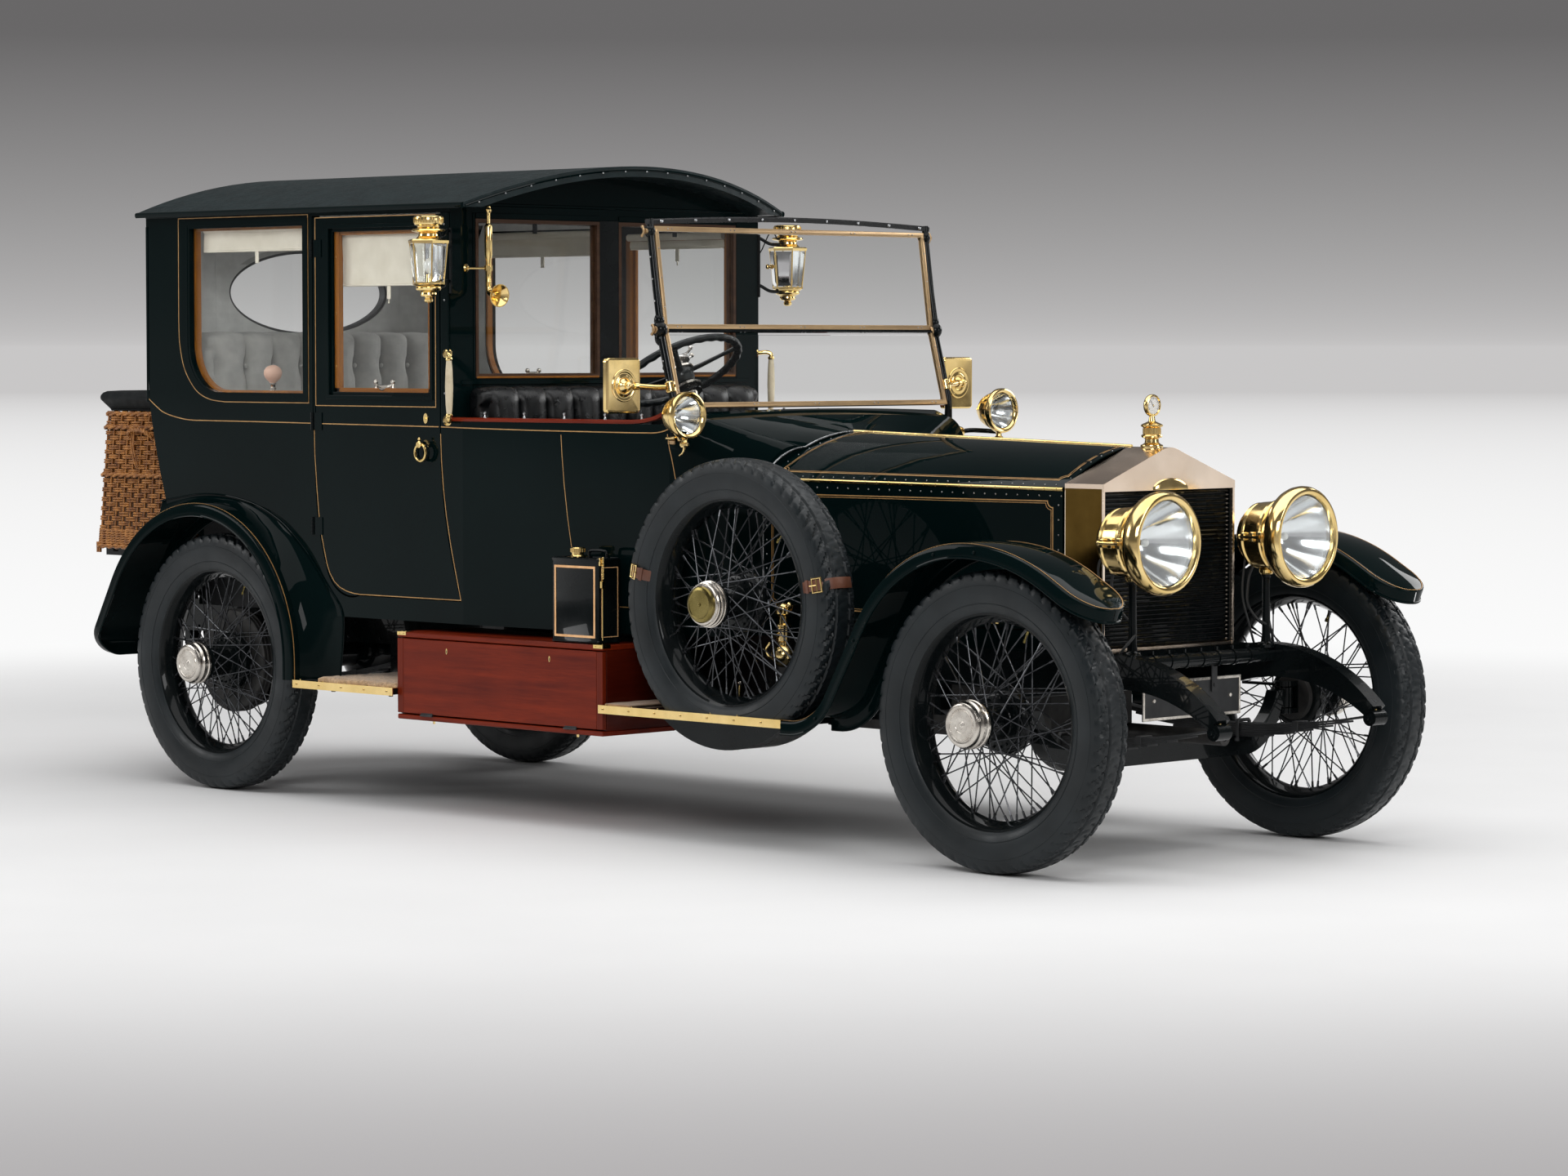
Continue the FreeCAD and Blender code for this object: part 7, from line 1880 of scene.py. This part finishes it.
def make_steering():
    """The steering wheel, and the column's head with its levers."""
    rake = math.radians(58)
    down = np.array((math.cos(rake), 0, -math.sin(rake)))
    hub = np.array((40.0, -290.0, 1447.0))
    side = np.array((0, 1.0, 0))
    rise = np.cross(down, side)
    centre = hub - down * 25

    def outward(a):
        return side * math.cos(a) + rise * math.sin(a)

    b = Build()
    rings = []
    for i in range(160):      # a rim with finger grips beneath
        a = TAU * i / 160
        out = outward(a)
        ring = []
        for j in range(14):
            q = TAU * j / 14
            r = 14.0 + (1.6 * math.cos(a * 30) if math.sin(q) > 0.2 else 0)
            ring.append(centre + out * (205 + r * math.cos(q)) + down * (r * 0.85 * math.sin(q)))
        rings.append(ring)
    b.rings(rings, loop=True)
    for i in range(4):
        out = outward(math.pi / 4 + i * math.pi / 2)
        pts = [hub - down * 12 + out * 20, hub - down * 14 + out * 70, hub - down * 20 + out * 140,
               hub - down * 25 + out * 198]
        across = np.cross(out, down)
        rows = []
        for p, w, h in zip(pts, (13, 10.5, 9, 11), (8, 7, 6, 7)):
            rows.append([p + across * w * u + down * h * v for u, v in circle(1, 10)])
        b.rings(rows)
    b.lathe([(-20, 0), (-20, 38), (-12, 42), (14, 38), (24, 30), (24, 0)], hub, down, 32)
    b.lathe([(-30, 0), (-30, 40), (-27, 46), (-20, 47), (-17, 40), (-17, 0)], hub, down, 40, 1)
    b.lathe([(-40, 0), (-40, 13), (-37, 18), (-30, 20), (-28, 0)], hub, down, 28, 1)
    b.done("steering_wheel_look", "steering_wheel", [ENAMEL_RIM, NICKEL], "black_enamel",
           ["steering_wheel"], 40)
    b = Build()      # column, quadrant and control levers
    b.lathe([(34, 0), (34, 44), (38, 50), (46, 50), (50, 42), (54, 34), (66, 27), (90, 24), (96, 27),
             (104, 27), (110, 24), (330, 23), (336, 28), (352, 28), (358, 23), (880, 23), (880, 0)], hub,
            down, 28)
    b.lathe([(-74, 0), (-74, 9), (-70, 13), (-64, 15), (-60, 24), (-57, 46), (-53, 48), (-50, 46),
             (-49, 22), (-42, 16), (-42, 0)], hub, down, 40, 1)
    for i, a in enumerate((0.25, 1.25, 2.75)):
        out = outward(a)
        b.tube(spline([hub - down * 62 + out * 12, hub - down * 66 + out * 30, hub - down * 64 + out * 52,
                       hub - down * 70 + out * 66], 4), 4.0, 10, mat=1)
        b.ball(hub - down * 73 + out * 68, 8, 1 if i else 0, 12)
    for a in np.linspace(0.0, 3.0, 24):
        out = outward(a)
        b.bar([hub - down * 57.5 + out * 36, hub - down * 57.5 + out * 45], 1.6, 1.0, -down, mat=2)
    b.done("column_head", CAR, [NICKEL, BRIGHT_NICKEL, ENAMEL], "brass", sharp=35)


make_windscreen()
make_mirrors()
make_spot_lamps()
make_side_lamps()
make_horn()
make_grab_handles()
make_steering()


# ---------------------------------------------------------------- seats, linings and the wicker trunk
def rounded_loop(x0, x1, z0, z1, radii, crown):
    """A cushion's cross-section, from the lower rear corner round the foot, front and top. radii are the
    corners' in that order, crown how far front and top swell."""
    corners = ((x0, z0, 180), (x1, z0, 270), (x1, z1, 0), (x0, z1, 90))
    signs = ((1, 1), (-1, 1), (-1, -1), (1, -1))
    out = []
    for (cx, cz, a), (sx, sz), r in zip(corners, signs, radii):
        out += arc((cx + sx * r, cz + sz * r), r, a, a + 90, 7)
    loop = np.array(out)
    dense = []
    for p, q in zip(loop, np.roll(loop, -1, 0)):
        steps = max(1, int(np.linalg.norm(q - p) / 14))
        dense += [p + (q - p) * i / steps for i in range(steps)]
    loop = np.array(dense)
    u = (loop[:, 0] - x0) / (x1 - x0)
    v = (loop[:, 1] - z0) / (z1 - z0)
    front, top = np.maximum(u - 0.5, 0) * 8 * v * (1 - v), np.maximum(v - 0.5, 0) * 8 * u * (1 - u)
    return loop + np.stack([crown[0] * front, crown[1] * top], 1)


def cushion(b, loop, half, spacing, depth, reach, rows):
    """Stuffed channels side by side across the car, each a soft lobe between two pleats.

    loop is the cross-section. reach(x, z) gives how deep a pleat is at a place, 0 to 1, and rows the
    places of buttons, which pull the pleats in."""
    end = 34.0      # how far each end is rounded
    p = np.asarray(loop, float)
    tangent = np.roll(p, -1, 0) - np.roll(p, 1, 0)
    normal = np.stack([tangent[:, 1], -tangent[:, 0]], 1)
    normal /= np.linalg.norm(normal, axis=1)[:, None]
    mask = np.array([reach(x, z) for x, z in p])
    count = max(1, round(2 * (half - end) / spacing))
    pitch = 2 * (half - end) / count
    ys = []
    for k in range(count):
        ys += [-half + end + pitch * (k + share)
               for share in (0, 0.035, 0.09, 0.17, 0.28, 0.5, 0.72, 0.83, 0.91, 0.965)]
    ys.append(half - end)
    ends = [end * (1 - math.cos(q)) for q in np.linspace(0, math.pi / 2, 7)[:-1]]
    ys = [-half + e for e in ends] + ys + [half - e for e in reversed(ends)]
    rings = []
    for y in ys:
        near = min(abs(abs((y + half - end) / pitch % 1.0 - 0.5) - 0.5), 1.0) * pitch     # to the next pleat
        inside = abs(y) <= half - end + 0.01
        lobe = (1 - min(near / (pitch / 2), 1.0)) ** 1.7 * 0.55 + 0.45 * math.exp(-(near / 6.0) ** 2)
        pull = np.zeros(len(p))
        for x, z in rows:
            away = np.hypot(p[:, 0] - x, p[:, 1] - z)
            pull += np.exp(-(away / 26) ** 2) * math.exp(-(near / 17) ** 2) * 0.9
        inset = depth * (mask * (lobe if inside else 1.0) + (pull if inside else 0))
        e = max(0.0, abs(y) - (half - end)) / end
        shrink = end * 0.62 * (1 - math.sqrt(max(0.0, 1 - e * e)))
        ring = p - normal * (inset + shrink)[:, None]
        rings.append([(x, y, z) for x, z in ring])
    b.rings(rings)
    return [-half + end + pitch * k for k in range(count + 1)]


def buttons(b, ys, x, z, out):
    """A row of covered buttons."""
    r = 9.0
    for y in ys:
        b.lathe([(-3, 0), (-3, r * 0.7), (0, r), (r * 0.35, r * 0.8), (r * 0.55, r * 0.35), (r * 0.6, 0)],
                (x, y, z), out, 12)


def make_seats():
    """The buttoned backs and cushions of both seats. Each is (rear, front, foot, top, half width)."""
    seats = (
        ("driver_seat", BLACK_HIDE, "leather", 1262.0,
         (-619.5, -500.0, 1090.0, 1415.0, 645.0), (-619.5, -110.0, 930.5, 1088.0, 640.0)),
        ("rear_seat", GREY_CLOTH, "cloth", 1478.0,
         (-2170.0, -2010.0, 1170.5, 1600.0, 600.0), (-2080.0, -1545.0, 1010.5, 1170.0, 600.0)))
    for name, hide, slot, row_z, back, seat in seats:
        x0, x1, z0, z1, half = back
        loop = rounded_loop(x0, x1 - 12, z0, z1 - 8, (8, 22, 46, 26), (12, 8))

        def on_back(x, z):
            front = min(max((x - x0 - 26) / 30, 0), 1)
            arch = min(max((z1 + 8 - z) / 70, 0.25), 1)
            return front * arch * min(max((z - z0 - 6) / 50, 0), 1)

        b = Build()
        ys = cushion(b, loop, half, 122.0, 44.0, on_back, [(x1 - 4, row_z)])
        buttons(b, ys[1:-1], x1 - 34, row_z, (1, 0, 0))
        back_look = b.done(name + "_back", CAR, [hide], slot, [name], 50)
        x0, x1, z0, z1, half = seat
        loop = rounded_loop(x0, x1 - 10, z0, z1 - 16, (8, 20, 40, 12), (10, 16))

        def on_seat(x, z):
            top = min(max((z - z0 - 10) / 60, 0), 1)
            return top * min(max((x - x0 - 90) / 60, 0), 1)

        b = Build()
        row_x = [x1 - 150.0, x1 - 330.0]
        ys = cushion(b, loop, half, 116.0, 22.0, on_seat, [(x, z1) for x in row_x])
        for x in row_x:
            buttons(b, ys[1:-1], x, z1 - 30, (0, 0, 1))
        b.tube([(x1 - 3, y, z0 + 12) for y in np.linspace(-half + 14, half - 14, 24)], 5.0, 8)
        seat_look = b.done(name + "_cushion", CAR, [hide], slot, [name], 50)


def make_linings():
    """Cloth on the cabin's walls and ceiling, and the speaking tube's bulb on the sill."""

    def tail(z):      # the back wall leans
        return -2232.0 + 12.0 * (WALL_TOP - z) / 650.0

    b = Build()
    oval = [(375 * math.cos(q), 1742 + 157 * math.sin(q)) for q in np.linspace(0, TAU, 73)[:-1]]
    oval = offset_loop(oval, -3)
    outer = []
    for u, v in oval:      # the wall's edge in the same direction as each point of the oval
        d = np.array((u, v - 1742))
        d /= np.linalg.norm(d)
        reach = min(672 / max(abs(d[0]), 1e-6), (352 if d[1] > 0 else 380) / max(abs(d[1]), 1e-6))
        outer.append((d[0] * reach, 1742 + d[1] * reach))
    rings = []
    for x in (0.5, 4.0):
        rings.append([(tail(z) + x, y, min(z, ceiling(y) - 1)) for y, z in outer])
        rings.append([(tail(v) + x, u, v) for u, v in oval])
    b.rings([rings[0], rings[1], rings[3], rings[2]], loop=True)
    for y in (-430.0, 430.0):      # seams of the wall cloth
        b.bar([(tail(1602) + 4, y, 1602), (tail(2050) + 4, y, ceiling(y) - 6)], 7, 1.2, (1, 0, 0))
    b.tube([(-2227, y, ceiling(y) - 8) for y in np.linspace(-664, 664, 40)], 5, 8)
    b.done("rear_lining", CAR, [PALE_CLOTH], "cloth", sharp=40)
    for side in SIDES:
        b = Build()
        y = -WALL + 35.0
        inner = quarter_loop(10, 10)
        mid = np.mean(inner, axis=0)
        outer = []
        for u, v in inner:
            d = np.array((u, v)) - mid
            d /= np.linalg.norm(d)
            rx = (-1345 - mid[0]) if d[0] > 0 else (mid[0] + 2226)
            rz = (2000 - mid[1]) if d[1] > 0 else (mid[1] - 1015)
            reach = min(rx / max(abs(d[0]), 1e-6), rz / max(abs(d[1]), 1e-6))
            outer.append((mid[0] + d[0] * reach, mid[1] + d[1] * reach))
        a = [[(u, level, v) for u, v in loop] for level in (y + 0.5, y + 4.0) for loop in (outer, inner)]
        b.rings([a[0], a[1], a[3], a[2]], loop=True)
        b.bar([(-1352, y + 4, 1020), (-1352, y + 4, 1995)], 10, 4, (0, 1, 0))
        b.bar([(-2220, y + 4, 1330), (-1350, y + 4, 1330)], 12, 4, (0, 1, 0))
        b.tube([(x, y + 8, 2004) for x in (-2226, -1500, -660)], 6, 8)
        b.on(side, "side_lining_" + side, CAR, [PALE_CLOTH], "cloth", sharp=40)
    rows = [[(x, y, ceiling(y) - 1.0) for y in np.linspace(-674, 674, 30)]
            for x in np.linspace(-2229, -652, 12)]
    b = Build()
    shell_of(b, rows, [[(x, y, z - 3.5) for x, y, z in row] for row in rows])
    for x in (-1920.0, -1560.0, -1200.0, -860.0):
        b.tube([(x, y, ceiling(y) - 5) for y in np.linspace(-668, 668, 30)], 3.2, 6)
    b.done("roof_lining", CAR, [PALE_CLOTH], "cloth", sharp=60)
    b = Build()
    x, y, z = -1635.0, -646.0, 1384.0
    b.lathe([(0, 0), (0, 15), (4, 15), (7, 10), (12, 9), (14, 12), (20, 12), (22, 8), (30, 9), (33, 12),
             (36, 12), (38, 0)], (x, y, z), (0, 0, 1), 24, 1)
    b.lathe([(36, 0), (36, 10), (41, 14), (48, 22), (58, 29), (69, 32), (80, 30.5), (90, 24), (97, 13),
             (99, 0)], (x, y, z), (0, 0, 1), 28)
    b.box((x - 22, y - 14, 1378), (x + 22, y + 14, 1385), 2, 1)
    b.done("speaking_bulb", CAR, [PINK_RUBBER, NICKEL], "leather", sharp=40)


def ceiling(y):
    """The roof's underside over the cabin."""
    return WALL_TOP + 114.0 * max(0.0, 1 - (y / 672.0) ** 2)


def trunk_loop(z, grow, per=1):
    """Places round the basket at a height, evenly spaced, with their outward directions."""
    share = (z - 807.0) / 503.0
    x0, x1, half = -2806.0 + 60.0 * share, -2294.0, 546.0
    p = np.array(round_rect(x0, x1, -half, half, 34.0, 5))
    dist = np.linalg.norm(np.roll(p, -1, 0) - p, axis=1)
    marks = np.concatenate([[0], np.cumsum(dist)])
    at = np.linspace(0, dist.sum(), 74 * per + 1)[:-1]      # 74 stakes
    q = np.vstack([p, p[:1]])
    points = np.stack([np.interp(at, marks, q[:, 0]), np.interp(at, marks, q[:, 1])], 1)
    t = np.roll(points, -1, 0) - np.roll(points, 1, 0)
    normal = np.stack([t[:, 1], -t[:, 0]], 1)
    normal /= np.linalg.norm(normal, axis=1)[:, None]
    return points + normal * grow, normal


def weave_row(b, z, phase, r, amp, n=5, lift=0.0, rise=0.0, grow=-6.0):
    """One rod that passes in front of and behind the stakes by turns."""
    per = 3      # points from stake to stake
    points, normal = trunk_loop(z, grow, per=per)
    k = np.arange(len(points))
    out = amp * np.tanh(1.7 * np.cos(math.pi * k / per + math.pi * phase))
    up = lift + rise * np.sin(math.pi * k / per + math.pi * phase)
    line = np.column_stack([points + normal * out[:, None], z + up])
    b.tube(line, r, n, True)


def make_trunk():
    """The wicker basket, woven rod by rod, a dark sheet of painted shade inside it, its hinges, and the
    canvas lid.
    """
    rng = np.random.default_rng(7)
    b = Build()
    z, row = 884.0, 0
    while z < 1296:
        if abs(z - 1078) > 13 and abs(z - 1252) > 13:
            for step in (-4.1, 4.1):
                weave_row(b, z + step, row % 2, 4.1, 7.0, lift=float(rng.uniform(-0.6, 0.6)))
        row += 1
        z += 17.4
    b.done("trunk_weave", CAR, [WICKER], "wicker", ["trunk_basket"], 80)
    b = Build()      # stakes, wales, rope bands and borders
    foot, _ = trunk_loop(812.0, -5.0)
    head, _ = trunk_loop(1306.0, -5.0)
    for f, h in zip(foot, head):
        b.tube([(f[0], f[1], 812), ((f[0] + h[0]) / 2, (f[1] + h[1]) / 2, 1060), (h[0], h[1], 1306)], 3.8, 6)
    for z in (829, 838, 847, 856, 865, 874):      # waling: three rods that climb over each other
        for phase in (0.0, 0.66, 1.33):
            weave_row(b, z, phase, 4.0, 5.5, rise=2.2, grow=-4.0)
    for z in (1078, 1252):
        for phase in (0.0, 1.0):
            weave_row(b, z, phase, 5.6, 6.5, 6, rise=4.6, grow=2.0)
    for z, grow in ((1302, -1.0), (816, 1.0)):
        for phase in (0.0, 1.0):
            weave_row(b, z, phase, 5.6, 4.5, 6, rise=5.0, grow=grow)
    for y in (-546.0, 546.0):      # peg feet at the tail corners
        for dx in (0, 13):
            b.cyl((-2800 + dx, y * 0.985, 792), (-2800 + dx, y * 0.985, 830), 5.5, 6.0, 10)
    for side in (-1, 1):      # twisted handles with their loops
        y = side * 556.0
        bow = spline([(-2580, y, 1216), (-2572, y + side * 12, 1236), (-2535, y + side * 22, 1246),
                      (-2490, y + side * 24, 1246), (-2455, y + side * 22, 1238), (-2440, y, 1216)], 8)
        for k in range(2):
            turn = np.arange(len(bow)) * 0.9 + math.pi * k
            b.tube(bow + np.column_stack([0 * turn, 4 * np.cos(turn), 4 * np.sin(turn)]), 4.4, 7)
        for dx in (-6, 6):
            b.tube(spline([(-2560 + dx, y, 1236), (-2552 + dx, y + side * 9, 1190),
                           (-2545 + dx, y + side * 7, 1150), (-2540 + dx, y - side * 2, 1110)], 4), 3.2, 6)
    b.done("trunk_stakes", CAR, [WICKER], "wicker", ["trunk_basket"], 80)
    b = Build()      # a dark sheet inside the weave, painted shade behind the rods, and the plank foot
    rings = []
    for z, grow in ((809, -6), (1304, -11), (1304, -15), (822, -14)):
        points, _ = trunk_loop(z, grow)
        rings.append([(x, y, z) for x, y in points])
    b.rings(rings)
    b.done("trunk_inner_shade", CAR, [SHADE_WICKER], "wicker", ["trunk_basket"], 40)
    b = Build()      # hinge straps
    for y in (-380.0, 340.0):
        b.box((-2290, y, 1248), (-2286, y + 40, 1384), 1)
        b.cyl((-2282, y, 1392), (-2282, y + 40, 1392), 5.0, n=16)
        b.box((-2290, y, 1380), (-2280, y + 40, 1389), 1)
        for z in (1262, 1300, 1345):
            b.ball((-2286, y + 20, z), 4.5, 0, 10)
    b.done("trunk_hinges", CAR, [ENAMEL], "black_enamel", ["trunk_basket"], 40)
    b = Build()      # the lid, a canvas-covered hood with a turned-under edge
    rings = []
    x0, x1, half = -2764.0, -2296.0, 564.0
    for z, inset in ((1311.5, 40), (1314, 33), (1330, 20), (1346, 7), (1354, 1), (1362, 0), (1370, 2),
                     (1378, 8), (1384, 20), (1386.5, 60), (1388, 150)):
        rings.append([(x, y, z) for x, y in round_rect(x0 + inset, x1 - min(inset, 20), -half + inset,
                                                       half - inset, max(30 - inset * 0.3, 8), 6)])
    b.rings(rings)
    line = round_rect(x0 + 33, x1 - 19, -half + 33, half - 33, 20, 6)
    b.tube([(x, y, 1316) for x, y in line], 4.0, 8, True)
    for y in np.linspace(-470, 470, 9):      # round-headed nails along the edge
        b.ball((x0 + 12, y, 1332), 3.6, 1, 8)
    b.done("trunk_lid_hood", "trunk_lid", [BLACK_CANVAS, STEEL], "black_cloth", ["trunk_lid"], 50)
    b = Build()
    for y in (-339.5, 299.5):
        b.cyl((-2282, y, 1392), (-2282, y + 40, 1392), 5.0, n=16)
        b.box((-2360, y, 1388.5), (-2282, y + 40, 1392), 1)
        for x in (-2350, -2320):
            b.ball((x, y + 20, 1392), 4, 0, 10)
    b.done("trunk_lid_hinges", "trunk_lid", [ENAMEL], "black_enamel", ["trunk_lid"], 40)


make_seats()
make_linings()
make_trunk()


# ---------------------------------------------------------------- CAD nodes that stay
PLAIN = {
    "chassis_frame": ENAMEL, "front_axle": ENAMEL, "rear_axle": ENAMEL, "leaf_springs": SATIN,
    "knuckle_right": ENAMEL, "knuckle_left": ENAMEL, "track_rod": ENAMEL, "engine_block": IRON,
    "fuel_tank": ENAMEL, "bonnet_top_right": PAINT, "bonnet_top_left": PAINT, "bonnet_side_right": PAINT,
    "bonnet_side_left": PAINT, "bonnet_hinge": BRASS, "bonnet_shelves": PAINT, "scuttle": PAINT,
    "cabin_sides": PAINT, "driver_panels": PAINT, "front_door_left": PAINT, "rear_door_right": PAINT,
    "rear_door_left": PAINT, "cabin_back": PAINT, "division": PAINT, "roof": ROOF_HIDE, "body_floor": SATIN,
    "window_glass": WINDOW, "rear_door_glass_right": WINDOW, "rear_door_glass_left": WINDOW,
    "guards": PAINT, "running_boards": ENAMEL, "luggage_rack": ENAMEL, "steering_column": ENAMEL,
}

for name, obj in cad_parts.items():
    obj.data.materials.clear()
    obj.data.materials.append(PLAIN.get(name, ENAMEL))
